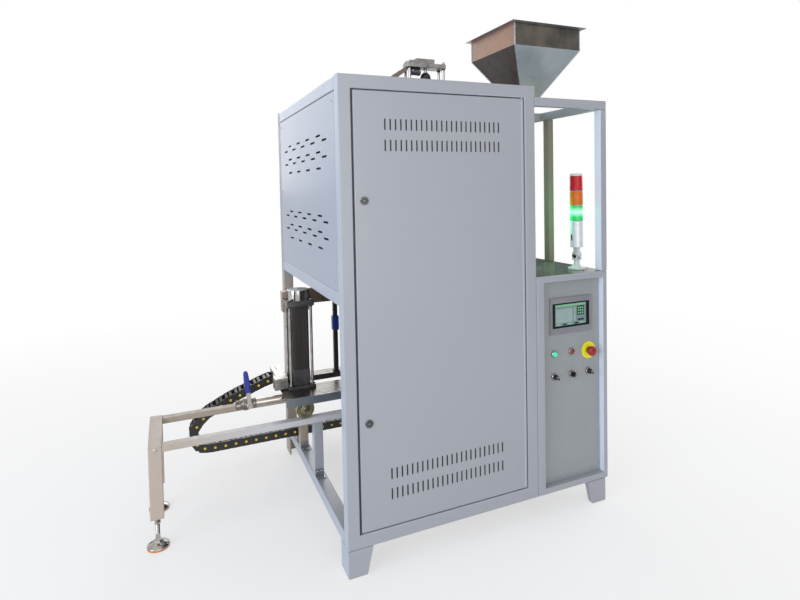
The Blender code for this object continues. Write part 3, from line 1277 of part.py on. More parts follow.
def outer_portal():
    """Two legs with a cross bar at the track's left end; each leg has a bore for its foot."""
    shape = None
    for y in (FRONT_RAIL_Y, REAR_RAIL_Y):
        front = y - RAIL_WIDTH / 2
        leg = block((LEG_LEFT, front, LEG_BASE), (LEG_RIGHT, front + LEG_SIZE, RAIL_TOP))
        shape = fuse(shape, leg) if shape else leg
    bar_low = (LEG_LEFT, FRONT_RAIL_Y, RAIL_BASE)
    shape = fuse(shape, block(bar_low, (LEG_RIGHT, REAR_RAIL_Y, RAIL_TOP)))
    bores = []
    for y in (FRONT_RAIL_Y, REAR_RAIL_Y):
        place_y = y - RAIL_WIDTH / 2 + LEG_SIZE / 2
        start = (LEG_X, place_y, LEG_BASE - OVERRUN)
        depth = LEG_BASE + STEM_IN_LEG + LEVEL_UP + BITE
        bores.append(rod(start, (LEG_X, place_y, depth), STEM_RADIUS + STEM_CLEARANCE, FEW_SIDES))
    piece("track_outer_portal", carve(shape, *bores), WARM_WHITE)


def levelling_feet():
    """Threaded stem on a cup pad with a rubber sole, one under each outer leg."""
    top = LEG_BASE + STEM_IN_LEG
    for name, y in (("levelling_foot_front", FRONT_RAIL_Y), ("levelling_foot_rear", REAR_RAIL_Y)):
        place = (LEG_X, y - RAIL_WIDTH / 2 + LEG_SIZE / 2, 0)
        profile = [(PAD_RADIUS - BITE, 0), (PAD_RADIUS, BITE), (PAD_RADIUS, PAD_RIM)]
        for radius_share, height_share in PAD_CONE_SHARES:
            height = PAD_RIM + (PAD_CONE - PAD_RIM) * height_share
            profile.append((PAD_RADIUS * radius_share, height))
        profile += [(STEM_RADIUS, PAD_CONE + BITE), (STEM_RADIUS, top)]
        shape = turned(profile, place, (0, 0, 1))
        piece(name, shape, BRIGHT_STEEL, (*place[:2], LEG_BASE), smooth=True)


def track_posts():
    """Short posts under the rails: two on the left floor rail and a joined pair on the right."""
    base = BAY_FLOOR + SEAT
    top = RAIL_BASE - SEAT
    half = RAIL_WIDTH / 2
    for name, y in (("track_post_front", FRONT_RAIL_Y), ("track_post_rear", REAR_RAIL_Y)):
        post = block((0, y - half, base), (TRACK_POST_WIDTH, y + half, top))
        front = y - half - BRACKET_SHEET
        upright = block((0, front, base), (TRACK_POST_WIDTH, y - half + BITE, base + BRACKET_HEIGHT))
        sole_low = (0, front - BRACKET_HEIGHT, base)
        sole = block(sole_low, (TRACK_POST_WIDTH, front + BITE, base + BRACKET_SHEET))
        piece(name, fuse(post, upright, sole), WARM_WHITE)
    right = CABINET_WIDTH - TRACK_END_EDGE
    left = right - TRACK_POST_WIDTH
    legs = [block((left, y - half, base), (right, y + half, top)) for y in (FRONT_RAIL_Y, REAR_RAIL_Y)]
    beam_low = (left, FRONT_RAIL_Y, top - END_BEAM_HEIGHT)
    beam = block(beam_low, (right, REAR_RAIL_Y, top))
    piece("track_inner_portal", fuse(*legs, beam), WARM_WHITE)


def wheel_places():
    """Name, X, rail Y and the side (+1 rear, -1 front) that the wheel's lug stands on."""
    return (("wheel_front_left", WHEEL_LEFT_X, FRONT_RAIL_Y, 1),
            ("wheel_front_right", WHEEL_RIGHT_X, FRONT_RAIL_Y, 1),
            ("wheel_rear_left", WHEEL_LEFT_X, REAR_RAIL_Y, -1),
            ("wheel_rear_right", WHEEL_RIGHT_X, REAR_RAIL_Y, -1))


def trolley_frame():
    """Deck with its front flange and rear beam, axle lugs, the chain's bracket and the air mast."""
    plate_low = (TROLLEY_LEFT, TROLLEY_FRONT, TROLLEY_PLATE_BASE)
    shape = block(plate_low, (TROLLEY_RIGHT, TROLLEY_BACK, TROLLEY_PLATE_TOP))
    beam_front = TROLLEY_BACK - BEAM_DEPTH
    window_low = (WINDOW_LEFT, TROLLEY_FRONT + DECK_DEPTH, TROLLEY_PLATE_BASE - OVERRUN)
    window_high = (WINDOW_RIGHT, beam_front, TROLLEY_PLATE_TOP + OVERRUN)
    riser_start = (PIPE_RISE_X, PIPE_Y, TROLLEY_PLATE_BASE - OVERRUN)
    riser_end = (PIPE_RISE_X, PIPE_Y, TROLLEY_PLATE_TOP + OVERRUN)
    riser_hole = rod(riser_start, riser_end, PIPE_RADIUS + RUNNING_GAP)
    shape = carve(shape, block(window_low, window_high), riser_hole)
    joint_z = TROLLEY_PLATE_BASE + BITE
    flange_high = (TROLLEY_RIGHT, TROLLEY_FRONT + FLANGE_SHEET, joint_z)
    flange_low = (TROLLEY_LEFT, TROLLEY_FRONT, TROLLEY_PLATE_TOP - FLANGE_HEIGHT)
    parts = [block(flange_low, flange_high)]
    beam_low = (TROLLEY_LEFT, beam_front, AXLE_Z + WHEEL_RADIUS + BEAM_CLEARANCE)
    parts.append(block(beam_low, (TROLLEY_RIGHT, TROLLEY_BACK, joint_z)))
    for _, x, y, side in wheel_places():
        near = y + side * (WHEEL_WIDTH / 2 + AXLE_PLAY)
        far = near + side * LUG_SHEET
        low = (x - LUG_WIDTH / 2, min(near, far), AXLE_Z - LUG_BELOW_AXLE)
        parts.append(block(low, (x + LUG_WIDTH / 2, max(near, far), joint_z)))
        head_inner = y - side * (WHEEL_WIDTH / 2 + AXLE_PLAY)
        head_outer = head_inner - side * AXLE_HEAD
        parts.append(rod((x, near + side * BITE, AXLE_Z), (x, head_inner, AXLE_Z), AXLE_RADIUS, FEW_SIDES))
        head_start = (x, head_inner + side * HALF_BITE, AXLE_Z)
        parts.append(rod(head_start, (x, head_outer, AXLE_Z), AXLE_HEAD_RADIUS, HEX_SIDES))
    tab_left = CHAIN_END_X + SEAT
    chain_back = CHAIN_Y + CHAIN_WIDTH
    arm_low = (tab_left, TROLLEY_BACK - BITE, TROLLEY_PLATE_BASE)
    parts.append(block(arm_low, (tab_left + CHAIN_TAB_WIDTH, chain_back, TROLLEY_PLATE_TOP)))
    tab_low = (tab_left, CHAIN_Y, CHAIN_END_Z - CHAIN_HEIGHT / 2)
    parts.append(block(tab_low, (tab_left + CHAIN_TAB, chain_back, joint_z)))
    mast_y = beam_front + MAST_INSET
    mast_low = (MAST_LEFT, mast_y, TROLLEY_PLATE_TOP - BITE)
    mast_high = (MAST_LEFT + MAST_SIZE, mast_y + MAST_SIZE, MAST_TOP)
    parts.append(block(mast_low, mast_high))
    proud = REGULATOR_PROUD
    valve_base = MAST_TOP - REGULATOR_DROP
    valve_low = (MAST_LEFT - proud, mast_y - proud, valve_base)
    valve_high = (MAST_LEFT + MAST_SIZE + proud, mast_y + MAST_SIZE + proud, valve_base + REGULATOR_TALL)
    parts.append(block(valve_low, valve_high))
    piece("trolley_frame", fuse(shape, *parts), DARK_STEEL, (TROLLEY_LEFT, TROLLEY_FRONT, AXLE_Z))


def wheels():
    """Four flat wheels on the rails, each with a hub on both faces."""
    half = WHEEL_WIDTH / 2
    hub = half + HUB_PROUD
    bore = AXLE_RADIUS + SEAT
    for name, x, y, _ in wheel_places():
        profile = [(bore, -hub), (HUB_RADIUS, -hub), (HUB_RADIUS, -half), (WHEEL_RADIUS, -half)]
        profile += [(WHEEL_RADIUS, half), (HUB_RADIUS, half), (HUB_RADIUS, hub), (bore, hub)]
        shape = turned(profile, (x, y, AXLE_Z), (0, 1, 0), closed=True)
        piece(name, shape, ZINC_YELLOW, (x, y, AXLE_Z), smooth=True)


def lift_column():
    """Column of the lift: barrel and guide between two end plates, four tie rods and the cap."""
    left = LIFT_X - LIFT_WIDTH / 2
    right = LIFT_X + LIFT_WIDTH / 2
    front = LIFT_Y - LIFT_DEPTH / 2
    top_base = LIFT_TOP - LIFT_TOP_PLATE
    base_top = LIFT_FOOT + LIFT_BASE_PLATE
    cage = block((left, front, LIFT_FOOT), (right, LIFT_BACK, base_top))
    parts = [block((left, front, top_base), (right, LIFT_BACK, LIFT_TOP))]
    for side_x in (-1, 1):
        for side_y in (-1, 1):
            x = LIFT_X + side_x * ROD_SPACING_X / 2
            y = LIFT_Y + side_y * ROD_SPACING_Y / 2
            parts.append(rod((x, y, LIFT_FOOT + BITE), (x, y, LIFT_TOP + ROD_TIP), ROD_RADIUS, FEW_SIDES))
    guide_low = (LIFT_X - GUIDE_WIDTH / 2, LIFT_BACK - GUIDE_PROUD, LIFT_FOOT + BITE)
    parts.append(block(guide_low, (LIFT_X + GUIDE_WIDTH / 2, LIFT_BACK + GUIDE_PROUD, LIFT_TOP - BITE)))
    half = BARREL_WIDTH / 2
    barrel_low = (LIFT_X - half, LIFT_Y - half, base_top - BITE)
    parts.append(block(barrel_low, (LIFT_X + half, LIFT_BACK - GUIDE_PROUD + BITE, top_base + BITE)))
    profile = [(CAP_RADIUS, -BITE), (CAP_RADIUS, CAP_HEIGHT - BITE), (CAP_RADIUS - BITE, CAP_HEIGHT)]
    parts.append(turned(profile, (LIFT_X, LIFT_Y, LIFT_TOP), (0, 0, 1)))
    terminal_low = (left - TERMINAL_WIDTH, LIFT_Y - TERMINAL_DEPTH / 2, LIFT_FOOT + BITE)
    terminal_high = (left + BITE, LIFT_Y + TERMINAL_DEPTH / 2, LIFT_FOOT + BITE + TERMINAL_HEIGHT)
    parts.append(block(terminal_low, terminal_high))
    piece("lift_column", fuse(cage, *parts), DARK_STEEL, smooth=True)


def lift_arm():
    """Carriage on the column's guide with the arm under the chamber and its drain collar."""
    left = LIFT_X - LIFT_WIDTH / 2
    right = LIFT_X + LIFT_WIDTH / 2
    near = LIFT_BACK + SEAT
    carriage = block((left, near, ARM_TOP - CARRIAGE_HEIGHT), (right, ARM_BACK, ARM_TOP))
    groove_x = GUIDE_WIDTH / 2 + SEAT
    groove_low = (LIFT_X - groove_x, near - OVERRUN, ARM_TOP - CARRIAGE_HEIGHT - OVERRUN)
    groove_high = (LIFT_X + groove_x, LIFT_BACK + GUIDE_PROUD + SEAT, ARM_TOP + OVERRUN)
    carriage = carve(carriage, block(groove_low, groove_high))
    arm_base = ARM_TOP - ARM_HEIGHT
    arm_right = FURNACE_X + ARM_PLATE_WIDTH / 2
    arm = block((right - BITE, near + ARM_SIDE_GAP, arm_base), (arm_right, ARM_BACK, ARM_TOP))
    plate_front = FURNACE_Y - ARM_PLATE_WIDTH / 2
    plate_low = (FURNACE_X - ARM_PLATE_WIDTH / 2, plate_front, arm_base)
    plate = block(plate_low, (arm_right, near + ARM_SIDE_GAP + BITE, arm_base + ARM_PLATE))
    collar_base = (FURNACE_X, FURNACE_Y, arm_base + BITE)
    collar = rod(collar_base, (FURNACE_X, FURNACE_Y, COLLAR_TOP), DRAIN_COLLAR_RADIUS)
    bore_start = (FURNACE_X, FURNACE_Y, arm_base - OVERRUN)
    bore = rod(bore_start, (FURNACE_X, FURNACE_Y, COLLAR_TOP + OVERRUN), DRAIN_BORE_RADIUS)
    shape = carve(fuse(carriage, arm, plate, collar), bore)
    piece("lift_arm", shape, DARK_STEEL, (LIFT_X, LIFT_BACK, ARM_TOP))


def quench_pan():
    """Open water pan under the drain, with the outlet of the drain pipe in its bottom."""
    low = (FURNACE_X - PAN_WIDTH / 2, FURNACE_Y - PAN_DEPTH / 2, TROLLEY_PLATE_TOP + SEAT)
    high = (FURNACE_X + PAN_WIDTH / 2, FURNACE_Y + PAN_DEPTH / 2, TROLLEY_PLATE_TOP + SEAT + PAN_HEIGHT)
    pan = tray(low, high, PAN_SHEET, "Z", 1)
    hole_start = (PIPE_RISE_X, PIPE_Y, low[2] - OVERRUN)
    hole = rod(hole_start, (PIPE_RISE_X, PIPE_Y, low[2] + PAN_SHEET + OVERRUN), PIPE_BORE_RADIUS)
    piece("quench_pan", carve(pan, hole), STAINLESS)


def drain_valve():
    """Drain pipe under the trolley plate, turned up into the pan, with the valve body on it."""
    left = VALVE_X - VALVE_LENGTH / 2
    pipe_left = left + VALVE_LENGTH - BITE
    pipe_right = PIPE_RISE_X + PIPE_RADIUS
    pipe = rod((pipe_left, PIPE_Y, PIPE_Z), (pipe_right, PIPE_Y, PIPE_Z), PIPE_RADIUS)
    riser_top = (PIPE_RISE_X, PIPE_Y, TROLLEY_PLATE_TOP)
    riser = rod((PIPE_RISE_X, PIPE_Y, PIPE_Z), riser_top, PIPE_RADIUS - RISER_STEP)
    shoulder = VALVE_END
    profile = [(VALVE_END_RADIUS, 0), (VALVE_END_RADIUS, shoulder), (VALVE_RADIUS, shoulder + BITE)]
    profile += [(VALVE_RADIUS, VALVE_LENGTH - shoulder - BITE), (VALVE_END_RADIUS, VALVE_LENGTH - shoulder)]
    profile += [(VALVE_END_RADIUS, VALVE_LENGTH)]
    body = turned(profile, (left, PIPE_Y, PIPE_Z), (1, 0, 0))
    boss_end = (STEM_X, PIPE_Y - VALVE_BOSS_REACH, PIPE_Z)
    boss = rod((STEM_X, PIPE_Y, PIPE_Z), boss_end, VALVE_BOSS_RADIUS)
    stem_end = (STEM_X, PIPE_Y - VALVE_BOSS_REACH - LEVER_SHEET - SEAT - BITE, PIPE_Z)
    stem = rod((STEM_X, PIPE_Y - BITE, PIPE_Z), stem_end, VALVE_STEM_RADIUS, FEW_SIDES)
    bore = rod((left - OVERRUN, PIPE_Y, PIPE_Z), (PIPE_RISE_X, PIPE_Y, PIPE_Z), PIPE_BORE_RADIUS, FEW_SIDES)
    riser_bore_end = (PIPE_RISE_X, PIPE_Y, TROLLEY_PLATE_TOP + OVERRUN)
    riser_bore = rod((PIPE_RISE_X, PIPE_Y, PIPE_Z), riser_bore_end, PIPE_BORE_RADIUS - RISER_STEP, FEW_SIDES)
    shape = carve(fuse(body, pipe, riser, boss), bore, riser_bore)
    piece("drain_valve", fuse(shape, stem), STAINLESS, smooth=True)


def valve_lever():
    """Lever on the valve's stem, nearly upright when the valve is shut."""
    front = PIPE_Y - VALVE_BOSS_REACH - SEAT
    pivot = (STEM_X, front, PIPE_Z)
    hub = rod((0, -LEVER_SHEET, 0), (0, 0, 0), LEVER_HUB_RADIUS)
    blade = block((-LEVER_WIDTH / 2, -LEVER_SHEET, 0), (LEVER_WIDTH / 2, 0, LEVER_LENGTH - BITE))
    sleeve_half = LEVER_SLEEVE_WIDTH / 2
    middle = -LEVER_SHEET / 2
    sleeve_low = (-sleeve_half, middle - LEVER_SLEEVE_THICKNESS / 2, LEVER_LENGTH - LEVER_SLEEVE)
    sleeve = block(sleeve_low, (sleeve_half, middle + LEVER_SLEEVE_THICKNESS / 2, LEVER_LENGTH))
    shape = fuse(hub, blade, sleeve)
    hole = rod((0, -LEVER_SHEET - OVERRUN, 0), (0, OVERRUN, 0), VALVE_STEM_RADIUS + SEAT, FEW_SIDES)
    shape = carve(shape, hole)
    shape.data.transform(Matrix.Translation(pivot) @ Matrix.Rotation(-LEVER_LEAN, 4, "Y"))
    piece("valve_lever", shape, LEVER_BLUE, pivot)


def chain_route():
    """Middle line of the drag chain in the XZ plane, from its fixed end to the trolley."""
    low_z = BAY_FLOOR + CHAIN_REST + SEAT + CHAIN_HEIGHT / 2
    run_end = CHAIN_END_X - CHAIN_END_RUN
    reach = run_end - CHAIN_TURN_X
    rise = CHAIN_END_Z - low_z
    route = [(CABINET_WIDTH - TRACK_END_EDGE, low_z), (CHAIN_TURN_X, low_z)]
    for share_x, share_z in CHAIN_BEND_SHARES:
        route.append((CHAIN_TURN_X + share_x * reach, low_z + share_z * rise))
    route += [(run_end, CHAIN_END_Z), (CHAIN_END_X, CHAIN_END_Z)]
    return [Vector(point) for point in route]


def drag_chain():
    """Cable carrier as one band of even thickness along its route."""
    route = chain_route()
    half = CHAIN_HEIGHT / 2
    upper = []
    lower = []
    for index, point in enumerate(route):
        before = route[max(index - 1, 0)]
        after = route[min(index + 1, len(route) - 1)]
        first = (point - before).normalized() if index else (after - point).normalized()
        second = (after - point).normalized() if index < len(route) - 1 else first
        normal_a = Vector((-first.y, first.x))
        normal_b = Vector((-second.y, second.x))
        mitre = (normal_a + normal_b).normalized()
        reach = half / max(mitre.dot(normal_a), CHAIN_MITRE_SHARE)
        upper.append(point + mitre * reach)
        lower.append(point - mitre * reach)
    outline = [(x, CHAIN_Y, z) for x, z in upper + lower[::-1]]
    piece("drag_chain", prism(outline, (0, 0, 0), (0, CHAIN_WIDTH, 0)), BLACK_PLASTIC)


def main():
    clear_scene()
    make_datum()
    front_frame()
    rear_frame()
    side_rails()
    cover_panels()
    roof_and_floor()
    door()
    locks()
    lining()
    heater()
    crucible()
    stopper_rod()
    stopper_drive()
    control_cabinet()
    control_panel()
    touch_screen()
    push_button("green_button", 0, GREEN_LENS)
    push_button("red_button", 1, RED_LENS)
    emergency_stop()
    selector("left_selector", 0, -math.pi / 4)
    selector("middle_selector", 1, math.pi / 4)
    selector("right_selector", 2, -math.pi / 4)
    control_gear()
    gantry()
    hopper()
    feeder()
    signal_tower()
    rail_side("track_front_rail", FRONT_RAIL_Y)
    rail_side("track_rear_rail", REAR_RAIL_Y)
    outer_portal()
    levelling_feet()
    track_posts()
    trolley_frame()
    wheels()
    lift_column()
    lift_arm()
    quench_pan()
    drain_valve()
    valve_lever()
    drag_chain()


main()
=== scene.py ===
"""Looks of the frit melting furnace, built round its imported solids. Metres, +Z up.
Every form is made in the cabinet's own frame: X to the right from its left side, Y to the rear
from its front, Z up from the floor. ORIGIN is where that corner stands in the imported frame."""
import json
import math

import bmesh
import bpy
from mathutils import Matrix, Vector

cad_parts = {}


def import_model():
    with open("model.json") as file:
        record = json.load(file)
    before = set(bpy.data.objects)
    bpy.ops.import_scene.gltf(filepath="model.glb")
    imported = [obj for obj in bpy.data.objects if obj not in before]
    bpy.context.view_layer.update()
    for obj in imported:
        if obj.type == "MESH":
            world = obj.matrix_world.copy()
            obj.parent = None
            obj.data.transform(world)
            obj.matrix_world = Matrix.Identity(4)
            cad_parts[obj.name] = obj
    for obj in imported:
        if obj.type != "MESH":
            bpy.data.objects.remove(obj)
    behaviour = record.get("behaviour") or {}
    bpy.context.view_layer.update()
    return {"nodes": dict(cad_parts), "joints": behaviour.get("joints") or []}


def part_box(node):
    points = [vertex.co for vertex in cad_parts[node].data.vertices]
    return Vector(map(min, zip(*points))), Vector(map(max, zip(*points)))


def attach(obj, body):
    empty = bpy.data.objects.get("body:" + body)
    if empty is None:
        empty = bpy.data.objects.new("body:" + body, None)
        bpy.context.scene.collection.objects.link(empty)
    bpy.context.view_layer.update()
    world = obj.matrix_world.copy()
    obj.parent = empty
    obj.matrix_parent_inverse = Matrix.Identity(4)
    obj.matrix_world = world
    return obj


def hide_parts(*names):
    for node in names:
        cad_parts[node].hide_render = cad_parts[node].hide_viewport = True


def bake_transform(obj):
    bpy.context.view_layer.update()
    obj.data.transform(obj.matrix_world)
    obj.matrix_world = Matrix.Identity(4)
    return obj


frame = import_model()
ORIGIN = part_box("front_frame")[0]

# Camera, fitted to the corners of the cabinet
CAMERA_PLACE = (-0.5508, -1.8717, 1.3988)
CAMERA_YAW = math.radians(23.797)
CAMERA_PITCH = math.radians(-2.156)
CAMERA_ROLL = math.radians(-1.076)
CAMERA_LENS = 25.01055
CAMERA_SENSOR = 36.0
CAMERA_SHIFT = (-0.0155125, -0.1146)

# Strength of the white surround
WORLD_LIGHT = 0.46

# Roundings and small forms
TUBE_CORNER = 0.0045
SHEET_CORNER = 0.0022
PLATE_CORNER = 0.0012
FINE_CORNER = 0.0006
SHEET = 0.0015
OVERRUN = 0.004
SEAT = 0.0003
LATHE_SIDES = 56
SMALL_SIDES = 28
HEX = 6
SMOOTH_ANGLE = math.radians(38)
SEAM_WIDTH = 0.0012

# Door and panels
VENT_COUNT = 24
VENT_WIDTH = 0.0062
VENT_HEIGHT = 0.042
VENT_PITCH = 0.0208
VENT_EDGE = 0.1195
VENT_ROW_STEP = 0.0755
LIP_GAP = 0.0015
LIP_THICKNESS = 0.003
LIP_REACH = 0.012
SLOT_LENGTH = 0.070
SLOT_HEIGHT = 0.008
SLOT_PITCH = 0.1805
SLOT_ROW_DROP = 0.0215
SLOT_PAIR_DROP = 0.064
SLOT_LONG_ROW = 5
SLOT_GROUPS = (0.581, 0.266)
SCREW_HEAD = 0.0048
SCREW_INSET = 0.032

# Feet of the cabinets
FOOT_TOP_WIDTH = 0.096
FOOT_END_WIDTH = 0.072
FOOT_FRONT = 0.028
FOOT_SIDE = 0.008
FOOT_DEPTH = 0.090
FOOT_INSET = 0.015

# Front devices
RING_BORE = 0.011
STOP_DISC_RADIUS = 0.037
STOP_DISC_SHEET = 0.002
LEVEL_UP = 0.015
FOOT_NUT_HEIGHT = 0.009
RING_PROUD = 0.006

# Tower
LENS_TOPS = (1.305, 1.368, 1.436)
LENS_RIBS = 36

# Drag chain
CHAIN_PITCH = 0.0476
CHAIN_BEND_SHARES = ((-0.093, 0.113), (-0.098, 0.350), (0.044, 0.546), (0.423, 0.760))
CHAIN_END_RUN = 0.012
CHAIN_TURN_X = -0.440
CHAIN_END_X = -0.106
CHAIN_END_Z = 0.4725


def span(node):
    """Lowest and highest corner of a solid, in the cabinet's own frame."""
    low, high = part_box(node)
    return low - ORIGIN, high - ORIGIN


TUBE = span("left_top_rail")[1].x
FRAME_BASE = span("left_floor_rail")[0].z
CABINET = span("front_frame")[1]
GAP_LEFT = 0.0445
GAP_WIDTH = 0.0050
GAP_DEPTH = 0.0055
PLATE_FACE = span("control_panel")[1].y - STOP_DISC_SHEET


def frame_joint(name):
    """A packed joint by its name."""
    return next(joint for joint in frame["joints"] if joint["name"] == name)


def joint_place(name):
    """A joint's place in the cabinet's own frame."""
    return Vector(frame_joint(name)["pos_m"]) - ORIGIN


# Node trees

def add_node(tree, kind, **values):
    node = tree.nodes.new(kind)
    for key, value in values.items():
        if hasattr(node, key):
            setattr(node, key, value)
        else:
            node.inputs[key.replace("_", " ").title()].default_value = value
    return node


def noise(tree, coords, scale, detail=3.0, rough=0.5):
    node = add_node(tree, "ShaderNodeTexNoise")
    node.inputs["Scale"].default_value = scale
    node.inputs["Detail"].default_value = detail
    node.inputs["Roughness"].default_value = rough
    tree.links.new(coords, node.inputs["Vector"])
    return node.outputs["Fac"]


def ranged(tree, value, low, high, to_low, to_high):
    node = add_node(tree, "ShaderNodeMapRange")
    tree.links.new(value, node.inputs["Value"])
    for socket, number in zip(("From Min", "From Max", "To Min", "To Max"), (low, high, to_low, to_high)):
        node.inputs[socket].default_value = number
    return node.outputs["Result"]


def mixed(tree, factor, first, second):
    """Colour between first and second, each a colour or an output."""
    node = tree.nodes.new("ShaderNodeMix")
    node.data_type = "RGBA"
    tree.links.new(factor, node.inputs["Factor"])
    for socket, colour in ((node.inputs[6], first), (node.inputs[7], second)):
        if isinstance(colour, tuple):
            socket.default_value = (*colour, 1)
        else:
            tree.links.new(colour, socket)
    return node.outputs[2]


def times(tree, first, second):
    node = add_node(tree, "ShaderNodeMath", operation="MULTIPLY")
    tree.links.new(first, node.inputs[0])
    if isinstance(second, float):
        node.inputs[1].default_value = second
    else:
        tree.links.new(second, node.inputs[1])
    return node.outputs[0]


def object_coords(tree, stretch=None):
    coords = tree.nodes.new("ShaderNodeTexCoord").outputs["Object"]
    if stretch is None:
        return coords
    mapping = tree.nodes.new("ShaderNodeMapping")
    mapping.inputs["Scale"].default_value = stretch
    tree.links.new(coords, mapping.inputs["Vector"])
    return mapping.outputs["Vector"]


def along(tree, axis):
    """One coordinate of the object, in the row frame."""
    parts = tree.nodes.new("ShaderNodeSeparateXYZ")
    tree.links.new(object_coords(tree), parts.inputs["Vector"])
    return parts.outputs[axis]


def edge_share(tree, width):
    """Near 1 on outer edges, 0 on flat faces."""
    bevel = tree.nodes.new("ShaderNodeBevel")
    bevel.samples = 4
    bevel.inputs["Radius"].default_value = width
    geometry = tree.nodes.new("ShaderNodeNewGeometry")
    dot = tree.nodes.new("ShaderNodeVectorMath")
    dot.operation = "DOT_PRODUCT"
    tree.links.new(bevel.outputs["Normal"], dot.inputs[0])
    tree.links.new(geometry.outputs["Normal"], dot.inputs[1])
    return ranged(tree, dot.outputs["Value"], 0.98, 0.75, 0.0, 1.0)


def surface(name, colour, roughness, metallic=0.0, second=None, patch=5.0, spread=0.07, stretch=None,
            rough_scale=30.0, bump=0.0, bump_scale=300.0, depth=0.0004, soften=0.0, wear=None, coat=0.0,
            specular=0.5, tone=None):
    """A finish: two tones in soft patches, uneven roughness, fine relief and lighter edges."""
    material = bpy.data.materials.new(name)
    material.use_nodes = True
    tree = material.node_tree
    shader = tree.nodes["Principled BSDF"]
    coords = object_coords(tree, stretch)
    patches = ranged(tree, noise(tree, coords, patch, 5.0, 0.6), 0.32, 0.68, 0.0, 1.0)
    if second is None:
        second = tuple(channel * 0.9 for channel in colour)
    base = mixed(tree, patches, colour, second)
    if tone is not None:
        base = tone(tree, base)
    # Outer edges take a lighter colour of their own, in patches.
    if wear is not None:
        edge_blend = times(tree, edge_share(tree, wear[1]), ranged(tree, noise(tree, coords, 60.0), 0.4, 0.6, 0.2,
                                                             1.0))
        base = mixed(tree, edge_blend, base, wear[0])
    tree.links.new(base, shader.inputs["Base Color"])
    uneven = noise(tree, coords, rough_scale, 4.0)
    low = max(roughness - spread, 0.02)
    tree.links.new(ranged(tree, uneven, 0.3, 0.7, low, roughness + spread), shader.inputs["Roughness"])
    shader.inputs["Metallic"].default_value = metallic
    shader.inputs["Specular IOR Level"].default_value = specular
    shader.inputs["Coat Weight"].default_value = coat
    shader.inputs["Coat Roughness"].default_value = 0.12
    normal = None
    if soften > 0:
        bevel = tree.nodes.new("ShaderNodeBevel")
        bevel.samples = 4
        bevel.inputs["Radius"].default_value = soften
        normal = bevel.outputs["Normal"]
    if bump > 0:
        relief = tree.nodes.new("ShaderNodeBump")
        relief.inputs["Strength"].default_value = bump
        relief.inputs["Distance"].default_value = depth
        tree.links.new(noise(tree, coords, bump_scale, 2.0), relief.inputs["Height"])
        if normal is not None:
            tree.links.new(normal, relief.inputs["Normal"])
        normal = relief.outputs["Normal"]
    if normal is not None:
        tree.links.new(normal, shader.inputs["Normal"])
    return material


def glowing(name, colour, strength, roughness=0.25):
    """A glowing finish, evenly lit in its own colour; a lens gets its ribs from its own geometry."""
    material = surface(name, colour, roughness, second=tuple(c * 0.8 for c in colour), patch=40.0,
                       spread=0.03)
    shader = material.node_tree.nodes["Principled BSDF"]
    shader.inputs["Emission Color"].default_value = (*colour, 1)
    shader.inputs["Emission Strength"].default_value = strength
    return material


def lit_lens(name, colour, hot, middle, reach):
    """A lamp lens that is white hot at the height of its bulb and keeps its own colour at both ends."""
    material = glowing(name, colour, 1.0)
    tree = material.node_tree
    shader = tree.nodes["Principled BSDF"]
    away = add_node(tree, "ShaderNodeMath", operation="SUBTRACT")
    away.inputs[1].default_value = middle + ORIGIN.z
    tree.links.new(along(tree, "Z"), away.inputs[0])
    far = add_node(tree, "ShaderNodeMath", operation="ABSOLUTE")
    tree.links.new(away.outputs[0], far.inputs[0])
    heat = ranged(tree, far.outputs[0], 0.0, reach, 1.0, 0.0)
    tree.links.new(mixed(tree, heat, colour, hot), shader.inputs["Emission Color"])
    tree.links.new(ranged(tree, heat, 0.0, 1.0, 0.45, 1.15), shader.inputs["Emission Strength"])
    return material


def fade_to(colour, axis, start, end):
    """A tone that turns into colour along one axis, from start to end in the cabinet's frame."""
    shift = ORIGIN["XYZ".index(axis)]

    def apply(tree, base):
        share = ranged(tree, along(tree, axis), start + shift, end + shift, 0.0, 1.0)
        return mixed(tree, share, base, colour)
    return apply


POWDER = (0.360, 0.372, 0.411)
POWDER_SHADE = (0.353, 0.365, 0.404)
# Tan of the warm surroundings as the track reflects them, a painted reflection.
REFLECTED_TAN = (0.46, 0.385, 0.32)
powder = surface("powder_coat", POWDER, 0.30, second=POWDER_SHADE, patch=1.2, spread=0.012, rough_scale=3.0,
                 bump=0.08, bump_scale=700.0, depth=0.0003, soften=0.0012)
# Painted light: a lighter, bluer copy of the powder coat for faces that look left, standing in for the
# window light on that side.
powder_side = surface("powder_side", (0.410, 0.448, 0.515), 0.34, second=(0.400, 0.438, 0.505), patch=1.2,
                      spread=0.012, rough_scale=3.0, bump=0.08, bump_scale=700.0, depth=0.0003,
                      soften=0.0012)
# Painted light: a bluer copy of the powder coat for the left cover, standing in for the blue window light
# on that side.
powder_cover = surface("powder_cover", (0.335, 0.368, 0.438), 0.32, second=(0.322, 0.355, 0.425), patch=1.2,
                       spread=0.012, rough_scale=3.0, bump=0.08, bump_scale=700.0, depth=0.0003,
                       soften=0.0012)
# Painted highlight: a much lighter copy of the powder coat for the front post's left face and the right
# reveal of the control panel recess.
powder_bright = surface("powder_bright", (0.72, 0.78, 0.88), 0.34, second=(0.69, 0.75, 0.85), patch=1.2,
                        spread=0.012, rough_scale=3.0, bump=0.08, bump_scale=700.0, depth=0.0003,
                        soften=0.0012)
# Painted shade: a near-black colour for the upward faces of the powder-coated control cabinet.
top_dark = surface("top_dark", (0.145, 0.148, 0.142), 0.20, second=(0.110, 0.112, 0.100), patch=7.0,
                   spread=0.04, bump=0.05, bump_scale=500.0)
